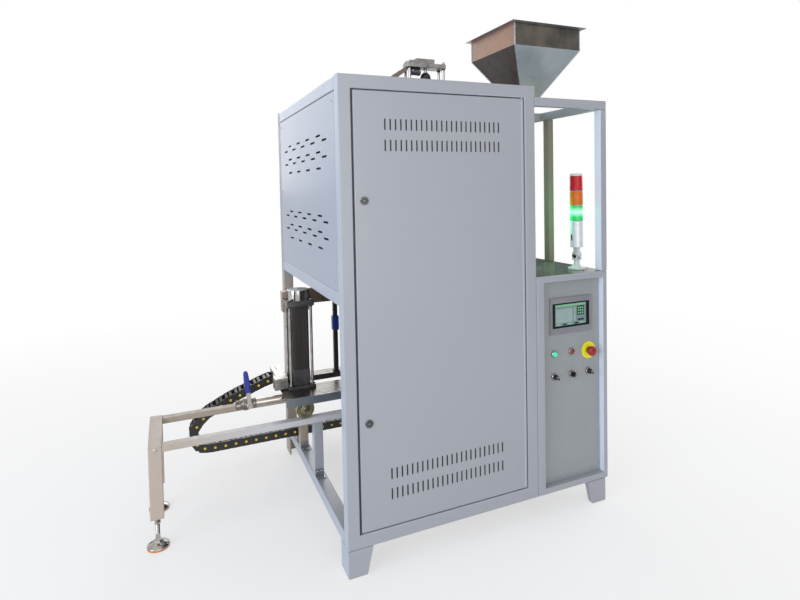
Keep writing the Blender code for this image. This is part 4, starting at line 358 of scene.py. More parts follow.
# Painted reflection: the rear frame's powder coat turns warm tan below 1.02 m, standing in for the warm
# surroundings seen in it.
rear_powder_painted_reflection = surface("powder_coat_rear", POWDER, 0.45, second=POWDER_SHADE, patch=2.2, bump=0.10,
                      bump_scale=700.0, depth=0.0003, soften=0.0012,
                      tone=fade_to((0.44, 0.37, 0.32), "Z", 1.02, 0.90))
# Painted reflection: the front rail's grey turns tan towards its left end, the warm surroundings reflected
# in it.
track_paint = surface("track_paint", (0.60, 0.59, 0.61), 0.46, second=(0.56, 0.55, 0.57), patch=3.0,
                      bump=0.12, bump_scale=500.0,
                      depth=0.0004, soften=0.0012, tone=fade_to(REFLECTED_TAN, "X", -0.20, -0.56))
# Painted reflection: the rear rail and rear post are tan all over, the warm surroundings reflected in them.
track_rear_reflection_paint = surface("track_paint_rear", (0.40, 0.335, 0.27), 0.48, second=(0.37, 0.305, 0.245),
                           patch=3.0, bump=0.12, bump_scale=500.0, depth=0.0004, soften=0.0012)
# Painted shade: the mid post of the powder-coated hopper frame is painted dark warm brown for the shade it
# stands in.
post_brown = surface("post_brown", (0.262, 0.225, 0.178), 0.40, second=(0.235, 0.202, 0.160), patch=6.0,
                     spread=0.06)
panel_satin = surface("panel_satin", (0.315, 0.335, 0.345), 0.32, second=(0.285, 0.305, 0.325), patch=3.0,
                      spread=0.05, bump=0.05, bump_scale=600.0, soften=0.0008)
galvanised = surface("galvanised_sheet", (0.36, 0.39, 0.42), 0.34, 0.75, second=(0.27, 0.30, 0.33),
                     patch=14.0, spread=0.12, rough_scale=45.0, bump=0.05, bump_scale=120.0, soften=0.0008)
# Painted reflections on the hopper: the pale sheet turns warm tan towards the bottom, and the dark, brown
# and tan sheets go on faces by the way they face.
hopper_pale_painted_reflection = surface("hopper_pale_sheet", (0.36, 0.40, 0.43), 0.36, 0.55, second=(0.26, 0.30, 0.33),
                      patch=7.0, spread=0.10, rough_scale=30.0, bump=0.06, bump_scale=60.0,
                      tone=fade_to((0.42, 0.40, 0.34), "Z", 1.90, 1.80))
hopper_dark_painted_reflection = surface("hopper_dark_sheet", (0.045, 0.042, 0.038), 0.30, 0.6, second=(0.13, 0.11, 0.09),
                      patch=9.0, spread=0.10, rough_scale=24.0, bump=0.06, bump_scale=60.0)
hopper_brown_painted_reflection = surface("hopper_brown_sheet", (0.075, 0.058, 0.052), 0.34, 0.5, second=(0.125, 0.100, 0.092),
                       patch=6.0, spread=0.10, bump=0.06, bump_scale=60.0)
hopper_tan_painted_reflection = surface("hopper_tan_sheet", (0.38, 0.22, 0.155), 0.34, 0.4, second=(0.30, 0.19, 0.145),
                     patch=9.0, spread=0.08, bump=0.05, bump_scale=60.0)
chrome = surface("chrome_plate", (0.52, 0.50, 0.48), 0.10, 1.0, second=(0.30, 0.28, 0.26), patch=30.0,
                 spread=0.05, rough_scale=80.0)
# Painted reflection: a darkened chrome for the lock collars, standing in for the dark surroundings they
# reflect.
lock_chrome = surface("lock_chrome", (0.17, 0.17, 0.18), 0.12, 1.0, second=(0.09, 0.09, 0.10), patch=40.0,
                      spread=0.04)
dull_steel = surface("dull_steel", (0.40, 0.38, 0.36), 0.32, 0.9, second=(0.24, 0.22, 0.20), patch=24.0,
                     spread=0.12, rough_scale=90.0, bump=0.15, bump_scale=260.0, soften=0.0006)
drive_steel = surface("drive_steel", (0.36, 0.35, 0.34), 0.28, 0.8, second=(0.15, 0.14, 0.135), patch=26.0,
                      spread=0.09, bump=0.06, bump_scale=200.0)
cylinder_grey = surface("cylinder_grey", (0.155, 0.165, 0.185), 0.30, 0.5, second=(0.09, 0.095, 0.105),
                        patch=20.0, spread=0.08)
dark_steel = surface("dark_steel", (0.035, 0.034, 0.036), 0.34, 0.35, second=(0.075, 0.066, 0.060),
                     patch=12.0, spread=0.12, bump=0.12, bump_scale=200.0, soften=0.0008,
                     wear=((0.24, 0.23, 0.22), 0.0016))
brown_deck = surface("oiled_deck", (0.085, 0.066, 0.052), 0.30, 0.5, second=(0.028, 0.024, 0.022),
                     patch=16.0, stretch=(1.0, 6.0, 1.0), spread=0.12, bump=0.12, bump_scale=160.0,
                     wear=((0.22, 0.20, 0.18), 0.0016))
flange_grey = surface("flange_grey", (0.20, 0.225, 0.255), 0.36, 0.4, second=(0.13, 0.145, 0.165),
                      patch=10.0,
                      spread=0.10, bump=0.10, bump_scale=220.0, wear=((0.34, 0.36, 0.38), 0.0014))
# Painted light on the lift arm: near-black for the shadow under the chamber, turning tan towards its left
# end for the lit top that reflects its surroundings.
arm_steel = surface("arm_steel", (0.045, 0.036, 0.030), 0.34, 0.4, second=(0.08, 0.06, 0.05), patch=12.0,
                    spread=0.1, bump=0.1, bump_scale=200.0, soften=0.0008,
                    tone=fade_to((0.30, 0.22, 0.17), "X", 0.16, 0.04))
stainless = surface("brushed_stainless", (0.58, 0.57, 0.55), 0.26, 1.0, second=(0.44, 0.42, 0.40),
                    patch=26.0,
                    stretch=(1.0, 1.0, 14.0), spread=0.08, rough_scale=60.0, bump=0.04, bump_scale=400.0,
                    soften=0.0006)
cast_valve = surface("cast_valve_body", (0.28, 0.245, 0.215), 0.28, 0.95, second=(0.12, 0.10, 0.09),
                     patch=55.0, spread=0.12, rough_scale=120.0, bump=0.3, bump_scale=320.0, depth=0.0006)
black_nylon = surface("black_nylon", (0.012, 0.012, 0.013), 0.42, second=(0.022, 0.021, 0.020), patch=30.0,
                      spread=0.10, bump=0.15, bump_scale=420.0)
black_gloss = surface("black_gloss", (0.010, 0.010, 0.011), 0.14, second=(0.016, 0.016, 0.017), patch=20.0,
                      spread=0.05)
grey_moulding = surface("grey_moulding", (0.24, 0.24, 0.27), 0.40, second=(0.20, 0.20, 0.23), patch=12.0,
                        spread=0.06, bump=0.12, bump_scale=500.0, soften=0.0006)
gear_grey = surface("gear_grey", (0.30, 0.31, 0.33), 0.45, second=(0.24, 0.25, 0.27), patch=12.0,
                    spread=0.08, bump=0.10, bump_scale=400.0, soften=0.0008)
fire_brick = surface("fire_brick", (0.74, 0.66, 0.52), 0.92, second=(0.62, 0.53, 0.40), patch=22.0,
                     spread=0.05, bump=0.6, bump_scale=180.0, depth=0.0012, soften=0.0015)
alumina = surface("alumina", (0.78, 0.75, 0.68), 0.62, second=(0.66, 0.61, 0.52), patch=18.0, spread=0.08,
                  bump=0.2, bump_scale=260.0, soften=0.0006)
heating_alloy = surface("heating_alloy", (0.17, 0.155, 0.15), 0.55, 0.7, second=(0.09, 0.08, 0.08),
                        patch=30.0, spread=0.1, bump=0.2, bump_scale=240.0)
zinc_yellow = surface("yellow_zinc", (0.30, 0.285, 0.16), 0.34, 0.75, second=(0.17, 0.16, 0.09), patch=34.0,
                      spread=0.10, rough_scale=70.0, bump=0.10, bump_scale=300.0)
lever_blue = surface("lever_vinyl", (0.018, 0.030, 0.30), 0.36, second=(0.012, 0.020, 0.22), patch=26.0,
                     spread=0.06, bump=0.15, bump_scale=320.0)
regulator_blue = surface("regulator_blue", (0.008, 0.055, 0.36), 0.34, second=(0.006, 0.040, 0.27),
                         patch=26.0, spread=0.06, bump=0.10, bump_scale=320.0)
rubber_orange = surface("orange_sole", (0.80, 0.22, 0.035), 0.55, second=(0.62, 0.15, 0.02), patch=30.0,
                        spread=0.06, bump=0.2, bump_scale=300.0)
yellow_disc = surface("yellow_disc", (0.90, 0.82, 0.02), 0.38, second=(0.84, 0.74, 0.015), patch=20.0,
                      spread=0.05, bump=0.06, bump_scale=400.0)
pin_yellow = surface("yellow_pin", (0.90, 0.62, 0.05), 0.40, second=(0.78, 0.50, 0.03), patch=60.0,
                     spread=0.05)
stop_red = surface("stop_red", (0.34, 0.018, 0.024), 0.28, second=(0.27, 0.014, 0.018), patch=24.0,
                   spread=0.06, coat=0.15, specular=0.3)
red_lens = surface("red_lens", (0.22, 0.008, 0.012), 0.22, second=(0.30, 0.012, 0.016), patch=60.0,
                   spread=0.05, coat=0.4)
tower_red = surface("tower_red", (0.54, 0.008, 0.014), 0.24, second=(0.42, 0.005, 0.009), patch=50.0,
                    spread=0.05, coat=0.1, specular=0.25)
tower_amber = surface("tower_amber", (0.70, 0.16, 0.006), 0.24, second=(0.58, 0.12, 0.004), patch=50.0,
                      spread=0.05, coat=0.1, specular=0.25)
tower_silver = surface("tower_silver", (0.74, 0.76, 0.80), 0.28, 0.15, second=(0.60, 0.62, 0.66),
                       patch=22.0, stretch=(8.0, 8.0, 1.0), spread=0.06)
white_moulding = surface("white_moulding", (0.66, 0.67, 0.69), 0.36, second=(0.60, 0.61, 0.63), patch=14.0,
                         spread=0.05, bump=0.08, bump_scale=400.0, soften=0.0008)
green_lens = glowing("green_lens", (0.03, 0.62, 0.34), 0.55)
screen_back = glowing("screen_back", (0.185, 0.262, 0.268), 0.15)
screen_light = glowing("screen_light", (0.27, 0.36, 0.355), 0.20)
screen_line = glowing("screen_line", (0.16, 0.42, 0.22), 0.35)
screen_dark = surface("screen_dark", (0.012, 0.016, 0.020), 0.20, second=(0.020, 0.024, 0.028), patch=30.0,
                      spread=0.05)
duct_brown = surface("duct_brown", (0.23, 0.165, 0.145), 0.40, 0.3, second=(0.15, 0.11, 0.10), patch=20.0,
                     spread=0.08, bump=0.10, bump_scale=300.0)
# Painted reflection: the left end portal is tan all over, the warm surroundings reflected in it.
track_tan = surface("track_tan", REFLECTED_TAN, 0.46, second=(0.48, 0.40, 0.335), patch=3.0, bump=0.12,
                    bump_scale=500.0, depth=0.0004, soften=0.0012)
column_grey = surface("column_grey", (0.12, 0.115, 0.115), 0.32, 0.5, second=(0.055, 0.052, 0.052),
                      patch=22.0,
                      spread=0.1, bump=0.12, bump_scale=240.0, wear=((0.34, 0.34, 0.34), 0.0014))
barrel_black = surface("barrel_black", (0.020, 0.019, 0.020), 0.34, 0.1, second=(0.045, 0.034, 0.028),
                       patch=20.0, stretch=(1.0, 1.0, 0.12), spread=0.08, bump=0.08, bump_scale=300.0)
polished_pipe = surface("polished_pipe", (0.48, 0.44, 0.40), 0.16, 1.0, second=(0.32, 0.28, 0.24),
                        patch=18.0, spread=0.06, rough_scale=60.0)


# Forms: each function returns one closed bmesh

def skin(bm, loops, ends=True):
    rows = [[bm.verts.new(point) for point in loop] for loop in loops]
    pairs = list(zip(rows, rows[1:]))
    if not ends:
        pairs.append((rows[-1], rows[0]))
    for low, high in pairs:
        for index in range(len(low)):
            after = (index + 1) % len(low)
            bm.faces.new((low[index], low[after], high[after], high[index]))
    if ends:
        bm.faces.new(rows[0])
        bm.faces.new(rows[-1])
    bmesh.ops.recalc_face_normals(bm, faces=bm.faces)
    return bm


def round_edges(bm, radius, segments=3):
    if radius > 0:
        edges = [edge for edge in bm.edges if edge.calc_face_angle(0) > SMOOTH_ANGLE]
        bmesh.ops.bevel(bm, geom=edges, offset=radius, segments=segments, profile=0.5, affect="EDGES",
                        clamp_overlap=True)
    return bm


def box_form(low, high, radius=PLATE_CORNER, segments=3):
    points = [(low[0], low[1]), (high[0], low[1]), (high[0], high[1]), (low[0], high[1])]
    bm = skin(bmesh.new(), [[(x, y, z) for x, y in points] for z in (low[2], high[2])])
    return round_edges(bm, radius, segments)


def prism_form(points, shift, radius=PLATE_CORNER, segments=3):
    first = [Vector(point) for point in points]
    bm = skin(bmesh.new(), [first, [point + Vector(shift) for point in first]])
    return round_edges(bm, radius, segments)


def side_axes(direction):
    direction = Vector(direction).normalized()
    helper = Vector((0, 0, 1)) if abs(direction.z) < 0.9 else Vector((1, 0, 0))
    side = direction.cross(helper).normalized()
    return side, side.cross(direction)


def circle(centre, direction, radius, sides, turn=0.0):
    side, up = side_axes(direction)
    steps = [turn + math.tau * index / sides for index in range(sides)]
    return [Vector(centre) + radius * (math.cos(a) * side + math.sin(a) * up) for a in steps]


def lathe_form(profile, base, direction, sides=LATHE_SIDES, closed=False, turn=0.0):
    """A turned form: profile holds (radius, distance along the direction) pairs."""
    way = Vector(direction).normalized()
    loops = [circle(Vector(base) + way * far, way, max(radius, 0.00005), sides, turn) for radius,
             far in profile]
    return skin(bmesh.new(), loops, not closed)


def rod_form(start, end, radius, sides=SMALL_SIDES, corner=0.0004, turn=0.0):
    length = (Vector(end) - Vector(start)).length
    corner = min(corner, radius / 2, length / 3)
    profile = [(radius - corner, 0), (radius, corner), (radius, length - corner), (radius - corner, length)]
    return lathe_form(profile, start, Vector(end) - Vector(start), sides, turn=turn)


def ring_form(centre, direction, inner, outer, thickness, corner=0.0005, sides=LATHE_SIDES):
    profile = [(inner, 0), (outer - corner, 0), (outer, corner), (outer, thickness - corner)]
    profile += [(outer - corner, thickness), (inner, thickness)]
    return lathe_form(profile, centre, direction, sides, True)


def sweep_form(points, radius, sides=14, closed=False):
    """A round bar along points."""
    loops = []
    points = [Vector(point) for point in points]
    for index, point in enumerate(points):
        before = points[index - 1] if index else point
        after = points[index + 1] if index < len(points) - 1 else point
        loops.append(circle(point, after - before, radius, sides))
    return skin(bmesh.new(), loops, not closed)


def tube_ring_form(low, high, border, corner=TUBE_CORNER, steps=3):
    """A mitred ring of square tube in the XZ plane with rounded corners along the tube."""
    depth = high[1] - low[1]
    section = []
    for x, y, start in ((corner, corner, 180), (border - corner, corner, 270),
                        (border - corner, depth - corner, 0), (corner, depth - corner, 90)):
        for step in range(steps + 1):
            angle = math.radians(start + 90 * step / steps)
            section.append((x + corner * math.cos(angle), y + corner * math.sin(angle)))
    loops = []
    for x, z, in_x, in_z in ((low[0], low[2], 1, 1), (high[0], low[2], -1, 1),
                             (high[0], high[2], -1, -1), (low[0], high[2], 1, -1)):
        loops.append([(x + in_x * far, low[1] + back, z + in_z * far) for far, back in section])
    return skin(bmesh.new(), loops, False)


def capsule_outline(centre_a, centre_b, length, width, steps=6):
    """Points of a slot in a plane: length along the first coordinate, width along the second."""
    points = []
    reach = length / 2 - width / 2
    for side, start in ((1, -90), (-1, 90)):
        for step in range(steps + 1):
            angle = math.radians(start + 180 * step / steps)
            points.append((centre_a + side * reach + width / 2 * math.cos(angle),
                           centre_b + width / 2 * math.sin(angle)))
    return points


def temp_object(bm):
    mesh = bpy.data.meshes.new("temp")
    bmesh.ops.recalc_face_normals(bm, faces=bm.faces)
    bm.to_mesh(mesh)
    bm.free()
    obj = bpy.data.objects.new("temp", mesh)
    bpy.context.scene.collection.objects.link(obj)
    return obj


def combined(form, tool, operation="DIFFERENCE"):
    """The form with the tool cut off it or joined to it."""
    obj = temp_object(form)
    other = temp_object(tool)
    step = obj.modifiers.new("step", "BOOLEAN")
    step.operation = operation
    step.solver = "EXACT"
    step.object = other
    mesh = bpy.data.meshes.new_from_object(obj.evaluated_get(bpy.context.evaluated_depsgraph_get()))
    result = bmesh.new()
    result.from_mesh(mesh)
    for used in (obj, other):
        data = used.data
        bpy.data.objects.remove(used)
        bpy.data.meshes.remove(data)
    bpy.data.meshes.remove(mesh)
    return result


def gather(*forms):
    """Several forms in one bmesh. A form may be a pair: the form and its material number."""
    whole = bmesh.new()
    for item in forms:
        form, number = item if isinstance(item, tuple) else (item, 0)
        mesh = bpy.data.meshes.new("part")
        form.to_mesh(mesh)
        form.free()
        before = len(whole.faces)
        whole.from_mesh(mesh)
        bpy.data.meshes.remove(mesh)
        whole.faces.ensure_lookup_table()
        if number:
            for face in whole.faces[before:]:
                face.material_index = number
    return whole


def make(name, form, materials, body, nodes=()):
    """Turn a form into a named piece that rides a body and stands for the named solids."""
    mesh = bpy.data.meshes.new(name)
    bmesh.ops.recalc_face_normals(form, faces=form.faces)
    form.to_mesh(mesh)
    form.free()
    mesh.transform(Matrix.Translation(ORIGIN))
    materials = materials if isinstance(materials, (list, tuple)) else [materials]
    for material in materials:
        mesh.materials.append(material)
    mesh.shade_smooth()
    mesh.set_sharp_from_angle(angle=SMOOTH_ANGLE)
    obj = bpy.data.objects.new(name, mesh)
    bpy.context.scene.collection.objects.link(obj)
    normals = obj.modifiers.new("normals", "WEIGHTED_NORMAL")
    normals.keep_sharp = True
    if body:
        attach(obj, body)
    if nodes:
        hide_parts(*nodes)
    return obj


def tray_form(low, high, wall, open_axis, open_sign, corner=SHEET_CORNER):
    """A folded sheet pan with rounded folds, open to one side."""
    inner_low = [value + wall for value in low]
    inner_high = [value - wall for value in high]
    index = "XYZ".index(open_axis)
    if open_sign > 0:
        inner_high[index] = high[index] + OVERRUN
    else:
        inner_low[index] = low[index] - OVERRUN
    outer = box_form(low, high, corner)
    inner = box_form(inner_low, inner_high, max(corner - wall, FINE_CORNER))
    return combined(outer, inner)


def repaint(form, number, low, high, way=(-1, 0, 0)):
    """Gives the faces inside a box that look one way a material number of their own."""
    form.normal_update()
    for face in form.faces:
        centre = face.calc_center_median()
        inside = all(low[axis] <= centre[axis] <= high[axis] for axis in range(3))
        if inside and face.normal.dot(Vector(way)) > 0.9:
            face.material_index = number
    return form


def foot_form(outer_x, inward, end_y, deep):
    front_y = min(end_y, end_y + deep * FOOT_FRONT)
    """Tapered foot: its outer side stands upright and its inner side slopes."""
    wide = outer_x + inward * FOOT_TOP_WIDTH
    narrow = outer_x + inward * FOOT_END_WIDTH
    top = FRAME_BASE - SEAM_WIDTH / 2
    outline = [(outer_x, front_y, 0), (narrow, front_y, 0), (wide, front_y, top), (outer_x, front_y, top)]
    front = prism_form(outline, (0, FOOT_FRONT, 0), SHEET_CORNER)
    near_x, far_x = outer_x + inward * FINE_CORNER / 4, outer_x + inward * FOOT_SIDE
    near_y, far_y = end_y + deep * FOOT_FRONT / 2, end_y + deep * FOOT_DEPTH
    side_low = (min(near_x, far_x), min(near_y, far_y), 0)
    side_high = (max(near_x, far_x), max(near_y, far_y), FRAME_BASE - SEAT)
    return gather(front, box_form(side_low, side_high, SHEET_CORNER))


def screw_form(place, direction, head=SCREW_HEAD):
    """A low round head with a cross recess."""
    profile = [(head, 0), (head, 0.0006), (head * 0.86, 0.0016), (head * 0.5, 0.0023), (0, 0.0025)]
    body = lathe_form(profile, place, direction, SMALL_SIDES)
    side, up = side_axes(direction)
    way = Vector(direction).normalized()
    cuts = []
    for first, second in ((side, up), (up, side)):
        centre = Vector(place) + way * 0.0013
        points = [centre + first * a * head * 0.55 + second * b * head * 0.13
                  for a, b in ((-1, -1), (1, -1), (1, 1), (-1, 1))]
        cuts.append(prism_form(points, way * OVERRUN, 0))
    return combined(combined(body, cuts[0]), cuts[1])


def nut_form(place, direction, radius, height):
    """A hexagon nut with chamfered corners."""
    profile = [(radius * 0.92, 0), (radius, height * 0.12), (radius, height * 0.86),
               (radius * 0.90, height)]
    return lathe_form(profile, place, direction, HEX)


# Cabinet

def front_frame():
    low = Vector((0, 0, FRAME_BASE))
    ring = tube_ring_form(low, (CABINET.x, TUBE, CABINET.z), TUBE)
    inner_low = (TUBE - OVERRUN, span("door")[1].y + LIP_GAP, FRAME_BASE + TUBE - OVERRUN)
    inner_high = (CABINET.x - TUBE + OVERRUN, inner_low[1] + LIP_THICKNESS, CABINET.z - TUBE + OVERRUN)
    lip = tube_ring_form(inner_low, inner_high, LIP_REACH + OVERRUN, FINE_CORNER, 2)
    door_low, door_high = span("door")
    pivot = joint_place("door_swing")
    pins = []
    for start, end in ((FRAME_BASE + TUBE - OVERRUN, door_low.z + 0.010),
                       (door_high.z - 0.010, CABINET.z - TUBE + OVERRUN)):
        pins.append((rod_form((pivot.x, pivot.y, start), (pivot.x, pivot.y, end), 0.003), 1))
    foot_piece = foot_form(0, 1, 0, 1)
    groove_low = (GAP_LEFT, -OVERRUN, FRAME_BASE + TUBE)
    groove_high = (GAP_LEFT + GAP_WIDTH, GAP_DEPTH, CABINET.z - TUBE)
    ring = combined(ring, box_form(groove_low, groove_high, 0))
    # The left-facing faces of the ring and the foot take the painted lit side colour, number 2.
    side = ((-SEAT, -SEAT, -SEAT), (SHEET_CORNER, CABINET.y, CABINET.z))
    form = gather(repaint(ring, 2, *side), lip, repaint(foot_piece, 2, *side), *pins)
    make("front_frame_tubes", form, [powder, chrome, powder_side], "root", ["front_frame"])
    # Painted shade: a black strip in the groove beside the door's left edge, standing in for the shade in
    # the gap.
    shade_strip = box_form((GAP_LEFT + SEAT, GAP_DEPTH / 2, groove_low[2]),
                    (groove_high[0] - SEAT, GAP_DEPTH - SEAT, groove_high[2]), 0)
    make("door_seal", shade_strip, black_nylon, "root")


def rear_frame():
    high = span("rear_frame")[1]
    ring = tube_ring_form((0, high.y - TUBE, FRAME_BASE), high, TUBE)
    shelf_low, shelf_high = span("left_chamber_rail")
    rail = box_form((TUBE - SEAT, high.y - TUBE, shelf_low.z), (high.x - TUBE + SEAT, high.y, shelf_high.z),
                    TUBE_CORNER)
    form = gather(ring, rail, foot_form(0, 1, high.y, -1))
    make("rear_frame_tubes", form, rear_powder_painted_reflection, "root", ["rear_frame"])


def side_rails():
    for side in ("left", "right"):
        for level in ("top", "chamber", "floor"):
            node = f"{side}_{level}_rail"
            low, high = span(node)
            top = low.z + TUBE
            tube = box_form(low, (high.x, high.y, top), TUBE_CORNER)
            if side == "left":
                # The left rails' left faces take the painted lit side colour.
                repaint(tube, 1, (low.x - SEAT, low.y, low.z), (low.x + SHEET_CORNER, high.y, high.z))
            forms = [tube]
            if level == "floor":
                chain_low, chain_high = span("drag_chain")
                rest_low = (low.x + 0.002, chain_low.y, top - 0.003)
                forms.append(box_form(rest_low, (high.x - 0.002, chain_high.y, high.z), FINE_CORNER))
                for y in (chain_low.y + 0.018, chain_high.y - 0.018):
                    forms.append(screw_form((low.x + 0.002, y, high.z - 0.009), (-1, 0, 0), 0.0035))
            make(f"{node}_tube", gather(*forms), [powder, powder_side], "root", [node])


def slot_cutters(panel_x, base):
    """Slots in rows of four and five on the left cover, in two groups."""
    low, high = span("left_panel")
    middle = (low.y + high.y) / 2
    forms = []
    for group in SLOT_GROUPS:
        top = base + group
        rows = []
        for pair in range(2):
            rows.append((top - pair * SLOT_PAIR_DROP, SLOT_LONG_ROW - 1))
            rows.append((top - pair * SLOT_PAIR_DROP - SLOT_ROW_DROP, SLOT_LONG_ROW))
        rows.append((top - 2 * SLOT_PAIR_DROP, SLOT_LONG_ROW - 1))
        for height, count in rows:
            for index in range(count):
                centre = middle + (index - (count - 1) / 2) * SLOT_PITCH
                outline = capsule_outline(centre, height, SLOT_LENGTH, SLOT_HEIGHT)
                points = [(panel_x - OVERRUN, a, b) for a, b in outline]
                forms.append(prism_form(points, (2 * OVERRUN, 0, 0), 0))
    return gather(*forms)


def cover_panels():
    low, high = span("left_panel")
    base = span("left_chamber_rail")[1].z
    left = combined(tray_form(low, high, SHEET, "X", 1), slot_cutters(low.x, base))
    screws = panel_screws(low, high, "X", -1, low.x)
    make("left_cover", gather(left, *screws), [powder_cover, chrome], "root",
         ["left_panel"])
    low, high = span("right_panel")
    right = tray_form(low, high, SHEET, "X", -1)
    y = frame_joint("feeder_screw_turn")["pos_m"][1] - ORIGIN.y
    z = frame_joint("feeder_screw_turn")["pos_m"][2] - ORIGIN.z
    hole = rod_form((low.x - OVERRUN, y, z), (high.x + OVERRUN, y, z), 0.0306, LATHE_SIDES, 0)
    screws = panel_screws(low, high, "X", 1, high.x)
    make("right_cover", gather(combined(right, hole), *screws), [powder, chrome], "root",
         ["right_panel"])
    low, high = span("rear_panel")
    rear = tray_form(low, high, SHEET, "Y", -1)
    screws = panel_screws(low, high, "Y", 1, high.y)
    make("rear_cover", gather(rear, *screws), [powder, chrome], "root", ["rear_panel"])


def panel_screws(low, high, axis, sign, face):
    """Six low screws near the edges of a cover."""
    forms = []
    across = 1 if axis == "X" else 0
    direction = [0, 0, 0]
    direction["XYZ".index(axis)] = sign
    for side in (low[across] + SCREW_INSET, high[across] - SCREW_INSET):
        for z in (low.z + SCREW_INSET, (low.z + high.z) / 2, high.z - SCREW_INSET):
            place = [0, 0, z]
            place["XYZ".index(axis)] = face - sign * 0.0004
            place[across] = side
            forms.append(screw_form(place, direction))
    return forms


def roof():
    low, high = span("roof_panel")
    plate = box_form(low, high, FINE_CORNER)
    stop_low, stop_high = span("stopper_rod")
    x = (stop_low.x + stop_high.x) / 2
    y = (stop_low.y + stop_high.y) / 2
    plate = combined(plate, rod_form((x, y, low.z - OVERRUN), (x, y, high.z + OVERRUN), 0.018, LATHE_SIDES,
                                     0))
    screws = []
    for sx in (low.x + SCREW_INSET, (low.x + high.x) / 2, high.x - SCREW_INSET):
        for sy in (low.y + SCREW_INSET, (low.y + high.y) / 2, high.y - SCREW_INSET):
            screws.append((screw_form((sx, sy, high.z - 0.0004), (0, 0, 1)), 1))
    make("roof_sheet", gather(plate, *screws), [powder, chrome], "root", ["roof_panel"])


def vent_cutters():
    low, high = span("door")
    middle = (low.x + high.x) / 2
    forms = []
    heights = []
    for step in (0, VENT_ROW_STEP):
        heights.append(high.z - VENT_EDGE - step)
        heights.append(low.z + VENT_EDGE + step)
    for height in heights:
        for index in range(VENT_COUNT):
            x = middle + (index - (VENT_COUNT - 1) / 2) * VENT_PITCH
            outline = capsule_outline(height, x, VENT_HEIGHT, VENT_WIDTH)
            points = [(b, low.y - OVERRUN, a) for a, b in outline]
            forms.append(prism_form(points, (0, 2 * OVERRUN, 0), 0))
    return gather(*forms)


def door():
    low, high = span("door")
    pan = combined(tray_form(low, high, SHEET, "Y", 1, 0.0042), vent_cutters())
    holes = []
    for joint in ("upper_lock_turn", "lower_lock_turn"):
        place = joint_place(joint)
        holes.append(rod_form((place.x, low.y - OVERRUN, place.z), (place.x, low.y + OVERRUN, place.z),
                              0.0103, SMALL_SIDES, 0))
    pan = combined(pan, gather(*holes))
    make("door_sheet", pan, powder, "door", ["door"])
    # Painted shade: black pads behind the vent slots, standing in for the dark inside of the cabinet.
    reach = VENT_COUNT / 2 * VENT_PITCH + 0.010
    middle = (low.x + high.x) / 2
    pads = []
    for a, b in ((low.z + 0.030, low.z + VENT_EDGE + VENT_ROW_STEP + 0.045),
                 (high.z - VENT_EDGE - VENT_ROW_STEP - 0.045, high.z - 0.030)):
        pads.append(box_form((middle - reach, low.y + SHEET + SEAT, a),
                             (middle + reach, low.y + SHEET + 0.004, b), 0.001))
    make("vent_filters", gather(*pads), black_nylon, "door")
    # Painted highlight: a thin strip in the lit side colour along the door's right edge, standing in for
    # the light on its fold.
    highlight_strip_low = (high.x - 0.0135, low.y - 0.0012, low.z + 0.006)
    highlight_strip = box_form(highlight_strip_low, (high.x - 0.0055, low.y + 0.0006, high.z - 0.006), 0.0010)
    make("door_hem", highlight_strip, powder_side, "door")


def locks():
    for name in ("upper_lock", "lower_lock"):
        low, high = span(name)
        place = joint_place(f"{name}_turn")
        face = span("door")[0].y - SEAT
        head_depth = face - low.y
        front = (place.x, low.y, place.z)
        collar = lathe_form([(0.0078, head_depth), (0.0078, 0.0008), (0.0086, 0.0001), (0.0130, 0.0001),
                             (0.0150, 0.0018), (0.0150, head_depth)], front, (0, 1, 0), LATHE_SIDES, True)
        core = lathe_form([(0.0074, 0.0016), (0.0074, head_depth)], front, (0, 1, 0), SMALL_SIDES)
        key = box_form((place.x - 0.0011, low.y + 0.0006, place.z - 0.0046),
                       (place.x + 0.0011, low.y + 0.0030, place.z + 0.0046), 0.0003, 2)
        plug = rod_form((place.x, low.y + 0.0009, place.z), (place.x, low.y + 0.0024, place.z), 0.0040)
        barrel = rod_form((place.x, face - 0.001, place.z), (place.x, high.y, place.z), 0.0098)
        cam = box_form((place.x - 0.008, high.y - 0.003, low.z), (place.x + 0.008, high.y - SEAT, place.z),
                       0.0008)
        nut = nut_form((place.x, span("door")[0].y + SHEET + SEAT, place.z), (0, 1, 0), 0.0135, 0.005)
        form = gather((collar, 2), (core, 1), (key, 1), plug, barrel, cam, nut)
        make(f"{name}_set", form, [chrome, black_gloss, lock_chrome], name, [name])


# Control section

